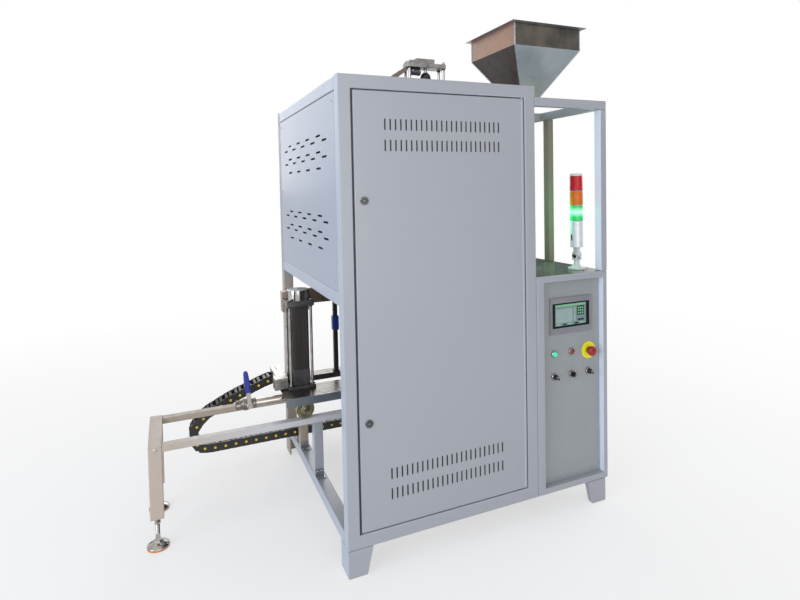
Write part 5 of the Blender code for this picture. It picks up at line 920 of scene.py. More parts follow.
def control_cabinet():
    low, high = span("control_cabinet")
    plate_low, plate_high = span("control_panel")
    body = box_form((low.x, 0, FRAME_BASE), high, TUBE_CORNER)
    gap = 0.0015
    opening = box_form((plate_low.x - gap, -0.05, plate_low.z - SEAT),
                       (plate_high.x + gap, 0.050, plate_high.z + gap), 0.0)
    inner = box_form((low.x + 0.002, 0.045, FRAME_BASE + 0.002),
                     (high.x - 0.002, high.y - 0.002, high.z - 0.002), 0.0)
    body = combined(combined(body, inner), opening)
    foot_right = high.x - FOOT_INSET
    # The left-facing right reveal of the panel recess gets the painted highlight colour, number 1.
    repaint(body, 1, (plate_high.x, 0, plate_low.z - TUBE),
            (plate_high.x + TUBE, PLATE_FACE + TUBE, plate_high.z + TUBE))
    # The cabinet's upward faces get the painted shade colour, number 2.
    repaint(body, 2, (low.x, 0, high.z - SEAT), (high.x, high.y, high.z + SEAT), (0, 0, 1))
    feet = [foot_form(foot_right, -1, 0, 1), foot_form(foot_right, -1, high.y, -1)]
    seams = []
    for x in (low.x + 0.035, high.x - 0.025):
        seams.append(box_form((x - 0.0005, 0.0002, FRAME_BASE + 0.0012),
                              (x + 0.0005, 0.0010, high.z - 0.0012), 0.0))
    make("control_cabinet_shell", gather(body, *feet), [powder, powder_bright, top_dark], "root",
         ["control_cabinet"])
    # Painted shade: black strips in the gaps at both sides of the control plate, standing in for the shade
    # in the recess.
    shade_strip = []
    for x in (plate_low.x - gap - 0.0006, plate_high.x + gap - 0.0010):
        shade_strip.append(box_form((x, PLATE_FACE + 0.0025, plate_low.z),
                             (x + 0.0016, PLATE_FACE + 0.010, plate_high.z), 0.0))
    make("panel_seal", gather(*shade_strip), black_nylon, "root")


def device_places():
    """Name of each front device and its axis in the cabinet's frame."""
    places = {}
    for joint in ("green_button_press", "red_button_press", "emergency_stop_press"):
        node = joint.replace("_press", "")
        low, high = span(node)
        places[node] = Vector(((low.x + high.x) / 2, 0, (low.z + high.z) / 2))
    for side in ("left", "middle", "right"):
        joint = frame_joint(f"{side}_selector_turn")
        place = Vector(joint["pos_m"]) - ORIGIN
        places[f"{side}_selector"] = Vector((place.x, 0, place.z))
    return places


def front_plate():
    low, high = span("control_panel")
    plate_low = Vector((low.x, PLATE_FACE, low.z))
    plate = box_form(plate_low, (high.x, high.y, high.z), 0.0009)
    screen_low, screen_high = span("touch_screen")
    cut = box_form((screen_low.x + 0.012, -0.01, screen_low.z + 0.012),
                   (screen_high.x - 0.012, 0.05, screen_high.z - 0.012), 0)
    plate = combined(plate, cut)
    holes = []
    rings = []
    shade_rims = []
    for name, place in device_places().items():
        holes.append(rod_form((place.x, -0.02, place.z), (place.x, 0.05, place.z), RING_BORE, SMALL_SIDES,
                              0))
        if name != "emergency_stop":
            profile = [(0.0112, 0.0045), (0.0112, 0.0012), (0.0124, 0), (0.0142, 0), (0.0154, 0.0014)]
            profile += [(0.0154, 0.0045)]
            ring_low = (place.x, PLATE_FACE - RING_PROUD, place.z)
            rings.append((lathe_form(profile, ring_low, (0, 1, 0), LATHE_SIDES, True), 0))
            # Painted shade: a black rim under each chrome ring, giving it a dark outline.
            rim_low = (place.x, PLATE_FACE - RING_PROUD + 0.0046, place.z)
            shade_rims.append(lathe_form([(0.0112, 0), (0.0162, 0), (0.0162, 0.0012), (0.0112, 0.0012)],
                                    rim_low, (0, 1, 0), LATHE_SIDES, True))
    stop = device_places()["emergency_stop"]
    disc = ring_form((stop.x, PLATE_FACE - STOP_DISC_SHEET, stop.z), (0, 1, 0), 0.0115, STOP_DISC_RADIUS,
                     STOP_DISC_SHEET - 0.0002)
    plate = combined(plate, gather(*holes))
    make("front_plate", plate, panel_satin, "root", ["control_panel"])
    make("device_rings", gather(*rings), chrome, "root")
    make("ring_seats", gather(*shade_rims), black_nylon, "root")
    make("stop_disc", disc, yellow_disc, "root")


def touch_screen():
    low, high = span("touch_screen")
    face = PLATE_FACE - SEAT
    bezel = box_form(low, (high.x, face, high.z), 0.0016)
    window_low = (low.x + 0.012, low.y - OVERRUN, low.z + 0.026)
    window_high = (high.x - 0.013, low.y + 0.0016, high.z - 0.024)
    bezel = combined(bezel, box_form(window_low, window_high, 0.0008))
    ears = []
    for x in (low.x + 0.0012, high.x - 0.0112):
        ears.append((box_form((x, low.y - 0.0006, low.z + 0.002),
                              (x + 0.010, low.y + 0.002, high.z - 0.002), 0.0005), 0))
        for step in range(3):
            sx = x + 0.0022 + step * 0.0026
            ears.append((box_form((sx, low.y - 0.0010, low.z + 0.006), (sx + 0.0010, low.y, high.z - 0.006),
                                  0.0003, 2), 0))
    back = box_form((low.x + 0.0125, face - 0.002, low.z + 0.0125),
                    (high.x - 0.0125, high.y, high.z - 0.0125), 0.0008)
    make("screen_case", gather(bezel, back, *ears), grey_moulding, "root", ["touch_screen"])
    black = box_form((window_low[0] + SEAT, low.y + 0.0010, window_low[2] + SEAT),
                     (window_high[0] - SEAT, low.y + 0.0026, window_high[2] - SEAT), 0.0004)
    make("screen_border", black, black_gloss, "root")
    left = window_low[0] + 0.014
    right = window_high[0] - 0.018
    base = window_low[2] + 0.009
    top = window_high[2] - 0.006
    glass = low.y + 0.0007

    def tile(x0, z0, x1, z1, lift=0.0):
        width = right - left
        height = top - base
        place_low = (left + x0 * width, glass - lift, base + z0 * height)
        return box_form(place_low, (left + x1 * width, glass + 0.0005, base + z1 * height), 0.0)

    tiles = [(tile(0, 0, 1, 1), 0), (tile(0.03, 0.14, 0.55, 0.80, 0.00008), 1),
             (tile(0.70, 0.42, 0.93, 0.86, 0.00008), 3),
             (tile(0.02, 0.90, 0.98, 0.98, 0.00008), 2), (tile(0.60, 0.16, 0.66, 0.80, 0.00008), 1),
             (tile(0.72, 0.16, 0.93, 0.24, 0.00008), 3)]
    for index in range(5):
        start = 0.05 + index * 0.19
        tiles.append((tile(start, 0.02, start + 0.12, 0.09, 0.00008), 3 if index % 2 else 2))
    for step in range(1, 4):
        height = 0.14 + step * 0.165
        tiles.append((tile(0.04, height, 0.54, height + 0.006, 0.00012), 2))
    points = []
    for step in range(25):
        share = step / 24
        rise = 0.20 + 0.48 * min(1.0, max(0.0, share * 2.1)) - 0.42 * max(0.0, share - 0.72) / 0.28
        x = left + (0.05 + 0.48 * share) * (right - left)
        points.append((x, glass - 0.00016, base + rise * (top - base)))
    tiles.append((sweep_form(points, 0.0006, 6), 2))
    for row in range(3):
        for column in range(3):
            tiles.append((tile(0.73 + column * 0.065, 0.47 + row * 0.125, 0.775 + column * 0.065,
                               0.55 + row * 0.125, 0.00014), 2))
    make("screen_picture", gather(*tiles), [screen_back, screen_light, screen_line, screen_dark], "root")


def push_button(name, lens_material):
    low, high = span(name)
    x = (low.x + high.x) / 2
    z = (low.z + high.z) / 2
    depth = high.y - low.y
    profile = [(0.0003, 0), (0.0060, 0.0003), (0.0088, 0.0010), (0.0100, 0.0024), (0.0104, 0.0042),
               (0.0104, 0.0068)]
    lens = lathe_form(profile, (x, low.y, z), (0, 1, 0))
    stem = [(0.0103, 0.0068), (0.0103, 0.0123), (0.0135, 0.0123), (0.0135, 0.0153), (0.0105, 0.0153),
            (0.0105, depth)]
    base = lathe_form(stem, (x, low.y, z), (0, 1, 0))
    make(f"{name}_cap", gather((lens, 0), (base, 1)), [lens_material, black_nylon], name, [name])


def emergency_stop():
    low, high = span("emergency_stop")
    x = (low.x + high.x) / 2
    z = (low.z + high.z) / 2
    depth = high.y - low.y
    sides = 96
    loops = []
    profile = [(0.0004, 0.0002), (0.0080, 0.0002), (0.0135, 0.0010), (0.0178, 0.0028), (0.0204, 0.0060),
               (0.0214, 0.0098), (0.0211, 0.0146), (0.0192, 0.0198), (0.0140, 0.0200)]
    for radius, far in profile:
        ripple = 0.0005 if 0.005 < far < 0.018 else 0.0
        loop = []
        for index in range(sides):
            angle = math.tau * index / sides
            reach = radius - ripple * (1 + math.cos(angle * 12)) / 2
            loop.append((x + reach * math.cos(angle), low.y + far, z + reach * math.sin(angle)))
        loops.append(loop)
    head = skin(bmesh.new(), loops)
    stem = lathe_form([(0.0105, 0.0195), (0.0105, depth)], (x, low.y, z), (0, 1, 0))
    collar = lathe_form([(0.0150, 0.0202), (0.0158, 0.0212), (0.0158, 0.0236), (0.0109, 0.0236)],
                        (x, low.y, z), (0, 1, 0))
    form = gather((head, 0), (stem, 1), (collar, 1))
    make("stop_mushroom", form, [stop_red, black_nylon], "emergency_stop", ["emergency_stop"])


def selectors():
    for side, lean in (("left", -45), ("middle", 45), ("right", -45)):
        name = f"{side}_selector"
        low, high = span(name)
        place = joint_place(f"{name}_turn")
        turn = Matrix.Translation((place.x, 0, place.z)) @ Matrix.Rotation(math.radians(lean), 4, "Y")
        seat = PLATE_FACE - RING_PROUD - SEAT
        knob = lathe_form([(0.0085, seat - 0.008), (0.0106, seat - 0.0072), (0.0118, seat - 0.0045),
                           (0.012, seat), (0.0104, seat), (0.0104, high.y)], (0, 0, 0), (0, 1, 0))
        front = low.y
        outline = [(-0.0036, front, -0.0098), (0.0036, front, -0.0098), (0.0040, front, 0.0100),
                   (-0.0040, front, 0.0100)]
        handle = prism_form(outline, (0, seat - 0.006 - front, 0), 0.0011)
        mark = box_form((-0.0009, front - 0.00006, 0.0010), (0.0009, front + 0.0012, 0.0092), 0.0002, 2)
        form = gather((knob, 0), (handle, 0), (mark, 1))
        bmesh.ops.transform(form, matrix=turn, verts=form.verts)
        make(f"{name}_knob", form, [black_gloss, white_moulding], name, [name])


# Hopper frame and hopper

def hopper_frame():
    for node in ("hopper_frame_front_post", "hopper_frame_mid_post"):
        low, high = span(node)
        # The front post keeps the powder coat; the mid post takes the painted shade colour.
        paint = powder if node.endswith("front_post") else post_brown
        post = repaint(box_form(low, high, 0.0025), 1, low, (low.x + SHEET, high.y, high.z))
        # The front post's left face takes the painted highlight colour; the mid post keeps its painted
        # shade colour there too.
        left_face_painted_light = powder_bright if paint is powder else paint
        make(f"{node}_tube", post, [paint, left_face_painted_light], "root", [node])
    low, high = span("hopper_frame_top")
    post_low, post_high = span("hopper_frame_front_post")
    left = post_low.x
    forms = [box_form((left, 0, low.z), high, 0.0025)]
    width = post_high.x - post_low.x
    feed_y = frame_joint("feeder_screw_turn")["pos_m"][1] - ORIGIN.y
    for y in (0, feed_y + 0.0303, high.y - width):
        forms.append(box_form((low.x, y, low.z), (left + 0.002, y + width, high.z), 0.0025))
    make("hopper_frame_top_tubes", gather(*forms), powder, "root", ["hopper_frame_top"])


def hopper():
    low, high = span("hopper")
    rim = 0.022
    sheet = 0.002
    band_low = Vector((low.x + rim, low.y + rim))
    band_high = Vector((high.x - rim, high.y - rim))
    shoulder = high.z - 0.100
    feed = joint_place("feeder_screw_turn")
    out_x = 1.045
    out_top = 1.775

    def loop(box, inset, z, corner, steps=3):
        x0, y0, x1, y1 = box[0] + inset, box[1] + inset, box[2] - inset, box[3] - inset
        points = []
        for cx, cy, start in ((x1 - corner, y1 - corner, 0), (x0 + corner, y1 - corner, 90),
                              (x0 + corner, y0 + corner, 180), (x1 - corner, y0 + corner, 270)):
            for step in range(steps + 1):
                angle = math.radians(start + 90 * step / steps)
                points.append((cx + corner * math.cos(angle), cy + corner * math.sin(angle), z))
        return points

    band = (band_low.x, band_low.y, band_high.x, band_high.y)
    outlet = (out_x - 0.025, feed.y - 0.030, out_x + 0.025, feed.y + 0.030)
    corner = 0.004
    loops = [loop(outlet, 0, low.z, corner), loop(outlet, 0, out_top, corner)]
    funnel_steps = 10
    for step in range(1, funnel_steps):
        share = step / funnel_steps
        sag = 0.0016 * math.sin(math.pi * share)
        box = [outlet[i] + (band[i] - outlet[i]) * share for i in range(4)]
        loops.append(loop(box, sag, out_top + (shoulder - out_top) * share, corner))
    loops += [loop(band, 0, shoulder, corner), loop(band, 0.0006, shoulder + 0.003, corner)]
    loops += [loop(band, 0.0006, high.z - sheet - 0.002, corner), loop(band, 0, high.z - sheet, corner)]
    loops += [loop(band, -rim + 0.0004, high.z - sheet, corner),
              loop(band, -rim, high.z - sheet / 2, corner)]
    loops += [loop(band, -rim + 0.0004, high.z, corner), loop(band, sheet, high.z, corner)]
    loops += [loop(band, sheet, shoulder, corner - sheet / 2),
              loop(outlet, sheet, out_top, corner - sheet / 2)]
    loops += [loop(outlet, sheet, low.z, corner - sheet / 2)]
    bm = bmesh.new()
    skin(bm, loops, False)
    # Painted reflections by face direction: upper front faces dark, upper left faces tan, lower left faces
    # brown, the rest pale.
    for face in bm.faces:
        normal = face.normal
        centre = face.calc_center_median()
        front = normal.y < -0.5
        left = normal.x < -0.5
        upper = centre.z > shoulder
        if upper and front:
            face.material_index = 1
        elif upper and left:
            face.material_index = 3
        elif not upper and left:
            face.material_index = 2
    seams = []
    top_z = high.z - sheet - 0.001
    for x, y, ox, oy in ((band[0], band[1], outlet[0], outlet[1]), (band[2], band[1], outlet[2], outlet[1]),
                         (band[0], band[3], outlet[0], outlet[3]),
                         (band[2], band[3], outlet[2], outlet[3])):
        in_x = 0.0012 if x < out_x else -0.0012
        in_y = 0.0012 if y < feed.y else -0.0012
        path = [(x + in_x, y + in_y, top_z), (x + in_x, y + in_y, shoulder),
                (ox + in_x, oy + in_y, out_top)]
        fine = [Vector(path[0]) + (Vector(path[1]) - Vector(path[0])) * k / 12 for k in range(12)]
        fine += [Vector(path[1]) + (Vector(path[2]) - Vector(path[1])) * k / 24 for k in range(25)]
        bead = [point + Vector((0.0003 * math.sin(index * 2.4), 0.0003 * math.cos(index * 1.9),
                                0)) for index, point in enumerate(fine)]
        seams.append(sweep_form(bead, 0.0030, 10))
    rivets = []
    for index in range(4):
        x = band[0] + 0.055 + index * (band[2] - band[0] - 0.11) / 3
        rivets.append(lathe_form([(0.0042, 0), (0.0040, 0.0012), (0.0022, 0.0022), (0, 0.0025)],
                                 (x, band[1] - rim / 2, high.z), (0, 0, 1), 20))
        rivets.append(lathe_form([(0.0042, 0), (0.0040, 0.0012), (0.0022, 0.0022), (0, 0.0025)],
                                 (x, band[3] + rim / 2, high.z), (0, 0, 1), 20))
    make("hopper_sheet", bm, [hopper_pale_painted_reflection, hopper_dark_painted_reflection, hopper_brown_painted_reflection, hopper_tan_painted_reflection], "root",
         ["hopper"])
    make("hopper_seams", gather(*seams), galvanised, "root")


def feeder():
    axis = joint_place("feeder_screw_turn")
    low, high = span("feeder_motor")
    right = high.x
    half = 0.045
    left = low.x
    body = []
    core_radius = 0.034
    body.append(rod_form((left + 0.020, axis.y, axis.z), (right - 0.050, axis.y, axis.z), core_radius,
                         LATHE_SIDES, 0.001))
    fins = 28
    for index in range(fins):
        angle = math.tau * index / fins
        reach = Vector((0, math.cos(angle), math.sin(angle)))
        side = Vector((0, -math.sin(angle), math.cos(angle)))
        root = Vector((left + 0.030, axis.y, axis.z)) + reach * (core_radius - 0.002)
        points = [root + side * 0.0008, root - side * 0.0008, root - side * 0.0006 + reach * 0.010,
                  root + side * 0.0006 + reach * 0.010]
        body.append(prism_form(points, (0.088, 0, 0), 0))
    body.append(lathe_form([(0.036, 0), (0.043, 0.004), (0.0445, 0.012), (0.0445, 0.026), (0.042, 0.028)],
                           (left, axis.y, axis.z), (1, 0, 0)))
    gear = box_form((right - 0.058, axis.y - half, axis.z - half), (right, axis.y + half, axis.z + half),
                    0.004)
    box = box_form((left + 0.052, axis.y - 0.024, axis.z + 0.030),
                   (left + 0.108, axis.y + 0.024, axis.z + half), 0.003)
    foot = box_form((right - 0.080, axis.y - half, low.z), (right, axis.y + half, low.z + 0.008), 0.001)
    web = box_form((right - 0.062, axis.y - 0.030, low.z + 0.004),
                   (right - 0.010, axis.y + 0.030, axis.z - half + 0.004), 0.003)
    bolts = []
    for y in (axis.y - 0.034, axis.y + 0.034):
        bolts.append((nut_form((right - 0.071, y, low.z + 0.008), (0, 0, 1), 0.0075, 0.005), 1))
    form = gather(*body, gear, box, foot, web, *bolts)
    make("feeder_motor_set", form, [gear_grey, chrome], "root", ["feeder_motor"])


# Stopper drive

def stopper_drive():
    low, high = span("stopper_drive")
    rod_low, rod_high = span("stopper_rod")
    axis_x = (rod_low.x + rod_high.x) / 2
    axis_y = (rod_low.y + rod_high.y) / 2
    left, right = 0.4937, 0.6678
    front, back = 0.500, 0.548
    base = low.z
    bridge_base = 1.956
    bridge_top = 1.977
    flange = box_form((left - 0.020, front - 0.020, base), (right + 0.020, back + 0.020, base + 0.006),
                      0.001)
    flange = combined(flange, rod_form((axis_x, axis_y, base - 0.01), (axis_x, axis_y, base + 0.02), 0.018,
                                       LATHE_SIDES, 0))
    bridge = box_form((left - 0.010, front - 0.010, bridge_base), (right + 0.010, back + 0.010, bridge_top),
                      0.0015)
    block_left = axis_x - 0.060
    block = box_form((block_left, front - 0.008, bridge_top - 0.001),
                     (block_left + 0.095, back + 0.008, high.z), 0.0018)
    bore = rod_form((axis_x, axis_y, bridge_base - 0.01), (axis_x, axis_y, high.z + 0.01), 0.0085,
                    SMALL_SIDES, 0)
    block = combined(block, rod_form((axis_x, axis_y, bridge_base - 0.01), (axis_x, axis_y, high.z + 0.01),
                                     0.0085, SMALL_SIDES, 0))
    bridge = combined(bridge, bore)
    step = box_form((block_left - 0.034, front - 0.004, bridge_top - 0.001),
                    (block_left + 0.004, back + 0.004, bridge_top + 0.011), 0.0012)
    columns = []
    nuts = []
    for x in (left, right):
        for y in (front, back):
            columns.append((rod_form((x, y, base + 0.002), (x, y, bridge_top + 0.012), 0.007), 1))
            nuts.append((nut_form((x, y, bridge_top), (0, 0, 1), 0.0088, 0.006), 1))
            nuts.append((nut_form((x, y, bridge_base - 0.006), (0, 0, 1), 0.0088, 0.006), 2))
            nuts.append((nut_form((x, y, base + 0.006), (0, 0, 1), 0.0088, 0.006), 2))
    middle = (front + back) / 2
    cylinder_z = bridge_base - 0.016
    start = (left + 0.010, middle, cylinder_z)
    end = (left + 0.062, middle, cylinder_z)
    cylinder = [(rod_form(start, end, 0.0165, LATHE_SIDES, 0.001), 3)]
    for x in (left + 0.0102, left + 0.052):
        cylinder.append((rod_form((x, middle, cylinder_z), (x + 0.0098, middle, cylinder_z), 0.018,
                                  LATHE_SIDES, 0.001), 3))
    ports = []
    for x in (left + 0.018, left + 0.054):
        ports.append((rod_form((x, middle - 0.024, cylinder_z + 0.002),
                               (x, middle - 0.010, cylinder_z + 0.002), 0.0038), 1))
    screws = []
    for x in (block_left + 0.010, block_left + 0.085):
        for y in (front, back):
            screws.append((nut_form((x, y, high.z - 0.0035), (0, 0, 1), 0.0045, 0.0034), 1))
    form = gather((flange, 0), (bridge, 0), (block, 0), (step, 0), *columns, *nuts, *cylinder, *ports,
                  *screws)
    make("stopper_stand", form, [drive_steel, chrome, black_nylon, cylinder_grey], "root",
         ["stopper_drive"])
    duct()
    stopper_rod_pieces(rod_low, rod_high, axis_x, axis_y)


def duct():
    """Sloped cable duct from the roof to the bridge, with a ribbed cover."""
    base = span("stopper_drive")[0].z
    right = 0.4937 - 0.005
    top = 1.977 - 0.012
    middle = 0.524
    outline = [(right - 0.245, base), (right - 0.201, base), (right, top - 0.022), (right, top)]
    points = [(x, middle - 0.015, z) for x, z in outline]
    body = prism_form(points, (0, 0.030, 0), 0.0016)
    ribs = []
    slope = Vector((0.245, 0, top - base)).normalized()
    normal = Vector((-slope.z, 0, slope.x))
    for index in range(11):
        place = Vector((right - 0.245, middle, base)) + slope * (0.018 + index * 0.0225)
        a = place - slope * 0.004 - normal * 0.003
        b = place + slope * 0.004 - normal * 0.003
        points = [a, b, b + normal * 0.0042, a + normal * 0.0042]
        points = [Vector((p.x, middle - 0.0156, p.z)) for p in points]
        ribs.append(prism_form(points, (0, 0.0312, 0), 0.0008, 2))
    tie = box_form((right - 0.002, middle - 0.013, 1.956), (0.4937, middle + 0.013, top - 0.002), 0.001)
    make("cable_duct", gather(body, *ribs, tie), [duct_brown], "root")


def stopper_rod_pieces(low, high, x, y):
    base = low.z
    clamp_top = 1.956 - 0.015 - 0.002
    clamp_base = clamp_top - 0.045
    tip = [(0.0015, 0), (0.0055, 0.0012), (0.0082, 0.005), (0.009, 0.012)]
    shaft = lathe_form(tip + [(0.009, clamp_base - base + 0.006)], (x, y, base), (0, 0, 1))
    dome = [(0.0262, 0), (0.0270, 0.0020), (0.0270, 0.0100)]
    for step in range(1, 10):
        angle = math.radians(90 * step / 10)
        dome.append((0.0108 + 0.0162 * math.cos(angle), 0.010 + 0.031 * math.sin(angle)))
    dome += [(0.0108, 0.0425), (0.0108, 0.045)]
    head = lathe_form(dome, (x, y, clamp_base), (0, 0, 1))
    neck = lathe_form([(0.0078, 0), (0.008, 0.0005), (0.008, high.z - clamp_top + 0.002),
                       (0.0072, high.z - clamp_top + 0.003)], (x, y, clamp_top - 0.003), (0, 0, 1))
    fork = nut_form((x, y, clamp_top - 0.0068), (0, 0, 1), 0.0125, 0.008)
    form = gather((shaft, 0), (head, 1), (neck, 2), (fork, 2))
    make("stopper_rod_set", form, [alumina, black_gloss, chrome], "stopper_rod",
         ["stopper_rod"])


# Signal tower

def signal_tower():
    low, high = span("tower_base")
    x = (low.x + high.x) / 2
    y = (low.y + high.y) / 2
    base = low.z
    profile = [(0.0360, 0), (0.0375, 0.0012), (0.0375, 0.0060), (0.0360, 0.0080), (0.0300, 0.0092),
               (0.0230, 0.0120), (0.0175, 0.0175), (0.0140, 0.0250), (0.0124, 0.0330), (0.0124, 0.0440)]
    stand = lathe_form(profile, (x, y, base), (0, 0, 1))
    hinge_z = Vector(frame_joint("tower_fold")["pos_m"]).z - ORIGIN.z
    cheeks = []
    for side in (-1, 1):
        inner = x + side * 0.008
        outer = x + side * 0.014
        cheeks.append((rod_form((inner, y, hinge_z), (outer, y, hinge_z), 0.016, LATHE_SIDES, 0.0012), 0))
        cheeks.append((box_form((min(inner, outer), y - 0.0155, hinge_z - 0.020),
                                (max(inner, outer), y + 0.0155, hinge_z), 0.0012), 0))
    yoke = box_form((x - 0.014, y - 0.0155, hinge_z - 0.024), (x + 0.014, y + 0.0155, hinge_z - 0.0175),
                    0.0018)
    bolt = nut_form((x - 0.0140, y, hinge_z), (-1, 0, 0), 0.0060, 0.0012)
    bolt_right = nut_form((x + 0.0140, y, hinge_z), (1, 0, 0), 0.0060, 0.0012)
    pin = rod_form((x - 0.012, y, hinge_z), (x + 0.012, y, hinge_z), 0.0039)
    screws = []
    for index in range(3):
        angle = math.radians(-100 + 120 * index)
        place = (x + 0.029 * math.cos(angle), y + 0.029 * math.sin(angle), base + 0.0088)
        screws.append((screw_form(place, (0, 0, 1), 0.0035), 1))
    form = gather((stand, 0), *cheeks, (yoke, 0), (bolt, 1), (bolt_right, 1), (pin, 1), *screws)
    make("tower_foot", form, [white_moulding, chrome], "root", ["tower_base"])
    tower_stack(x, y, hinge_z)


def tower_stack(x, y, hinge_z):
    body_base = 1.119
    body_top = 1.235
    tower_green = lit_lens("tower_green", (0.005, 0.46, 0.12), (0.55, 1.0, 0.78), 1.276, 0.024)
    tongue = rod_form((x - 0.0075, y, hinge_z), (x + 0.0075, y, hinge_z), 0.0155, LATHE_SIDES, 0.001)
    neck = box_form((x - 0.0075, y - 0.0150, hinge_z + 0.002), (x + 0.0075, y + 0.0150, body_base + 0.002),
                    0.0015)
    hole = rod_form((x - 0.02, y, hinge_z), (x + 0.02, y, hinge_z), 0.0043, SMALL_SIDES, 0)
    tongue = combined(combined(tongue, neck, "UNION"), hole)
    profile = [(0.0262, 0), (0.0277, 0.0012), (0.0279, 0.0040), (0.0279, 0.0950), (0.0270, 0.0965),
               (0.0270, 0.0985), (0.0279, 0.1000), (0.0279, 0.1150), (0.0268, 0.1160)]
    tube = lathe_form(profile, (x, y, body_base), (0, 0, 1))
    clip = box_form((x - 0.0288, y - 0.004, 1.150), (x - 0.0260, y + 0.004, 1.176), 0.0008)
    form = gather((tongue, 0), (tube, 1), (clip, 2))
    make("tower_tube", form, [white_moulding, tower_silver, black_nylon], "tower_stack",
         ["tower_stack"])
    bottom = body_top
    for name, top, material in (("green", LENS_TOPS[0], tower_green), ("amber", LENS_TOPS[1], tower_amber),
                                ("red", LENS_TOPS[2], tower_red)):
        make(f"tower_{name}_lens", ribbed_lens(x, y, bottom + 0.0022, top - 0.0004), material,
             "tower_stack")
        ring = lathe_form([(0.0262, 0), (0.0284, 0.0002), (0.0284, 0.0018), (0.0262, 0.0022)],
                          (x, y, bottom), (0, 0, 1))
        make(f"tower_{name}_ring", ring, white_moulding, "tower_stack")
        bottom = top
    cap = lathe_form([(0.0275, 0), (0.0284, 0.0012), (0.0284, 0.0060), (0.0268, 0.0088), (0.0245, 0.0106),
                      (0.0010, 0.0110)],
                     (x, y, LENS_TOPS[-1]), (0, 0, 1))
    make("tower_cap", cap, white_moulding, "tower_stack")


def ribbed_lens(x, y, bottom, top):
    """A lens with fine upright ribs."""
    sides = LENS_RIBS * 4
    height = top - bottom
    loops = []
    for radius, far in ((0.0258, 0), (0.0280, 0.0012), (0.0283, 0.004), (0.0283, height - 0.004),
                        (0.0280, height - 0.0012), (0.0258, height)):
        loop = []
        for index in range(sides):
            angle = math.tau * index / sides
            reach = radius - 0.00035 * (1 + math.cos(angle * LENS_RIBS)) / 2
            loop.append((x + reach * math.cos(angle), y + reach * math.sin(angle), bottom + far))
        loops.append(loop)
    return skin(bmesh.new(), loops)


# Track

def track():
    for node, material in (("track_front_rail", track_paint), ("track_rear_rail", track_rear_reflection_paint)):
        low, high = span(node)
        bar = box_form(low, high, 0.0028)
        make(f"{node}_tube", bar, material, "root", [node])
    low, high = span("track_outer_portal")
    rail_low = span("track_front_rail")[0]
    leg = 0.050
    forms = []
    for front in (low.y, high.y - leg):
        tube = box_form((low.x, front, low.z), (high.x, front + leg, high.z), 0.0030)
        bore_place = (low.x + leg / 2, front + leg / 2)
        bore = rod_form((*bore_place, low.z - 0.01), (*bore_place, low.z + 0.056), 0.0088, SMALL_SIDES, 0)
        forms.append(combined(tube, bore))
    cross = box_form((low.x, low.y + leg - 0.002, rail_low.z), (high.x, high.y - leg + 0.002, high.z),
                     0.0028)
    screws = []
    for front in (low.y, high.y - leg):
        screws.append((screw_form((low.x + leg * 0.5, front, rail_low.z + 0.012), (0, -1, 0), 0.0062), 1))
    form = gather(*forms, cross, *screws)
    make("track_end_portal", form, [track_tan, chrome], "root", ["track_outer_portal"])
    for node in ("track_post_front", "track_post_rear"):
        low, high = span(node)
        post_front = high.y - 0.040
        post = box_form((low.x, post_front, low.z), high, 0.0026)
        upright = box_form((low.x + 0.0005, post_front - 0.004, low.z),
                           (high.x - 0.0005, post_front + 0.001, low.z + 0.030), 0.0008)
        sole = box_form((low.x + 0.0005, low.y, low.z), (high.x - 0.0005, post_front, low.z + 0.004),
                        0.0008)
        screws = []
        for x in (low.x + 0.012, low.x + 0.028):
            screws.append((screw_form((x, post_front - 0.004, low.z + 0.020), (0, -1, 0), 0.0042), 1))
            screws.append((screw_form((x, low.y + 0.014, low.z + 0.004), (0, 0, 1), 0.0050), 1))
        form = gather((post, 0), (upright, 2), (sole, 2), *screws)
        paint = powder if node == "track_post_front" else track_rear_reflection_paint
        make(f"{node}_tube", form, [paint, chrome, galvanised], "root", [node])
    low, high = span("track_inner_portal")
    width = 0.040
    forms = [box_form((low.x, low.y, low.z), (high.x, low.y + width, high.z), 0.0026),
             box_form((low.x, high.y - width, low.z), (high.x, high.y, high.z), 0.0026),
             box_form((low.x + SEAT, low.y + width - 0.002, high.z - 0.040),
                      (high.x - SEAT, high.y - width + 0.002, high.z), 0.0026)]
    make("track_inner_portal_tubes", gather(*forms), powder, "root", ["track_inner_portal"])


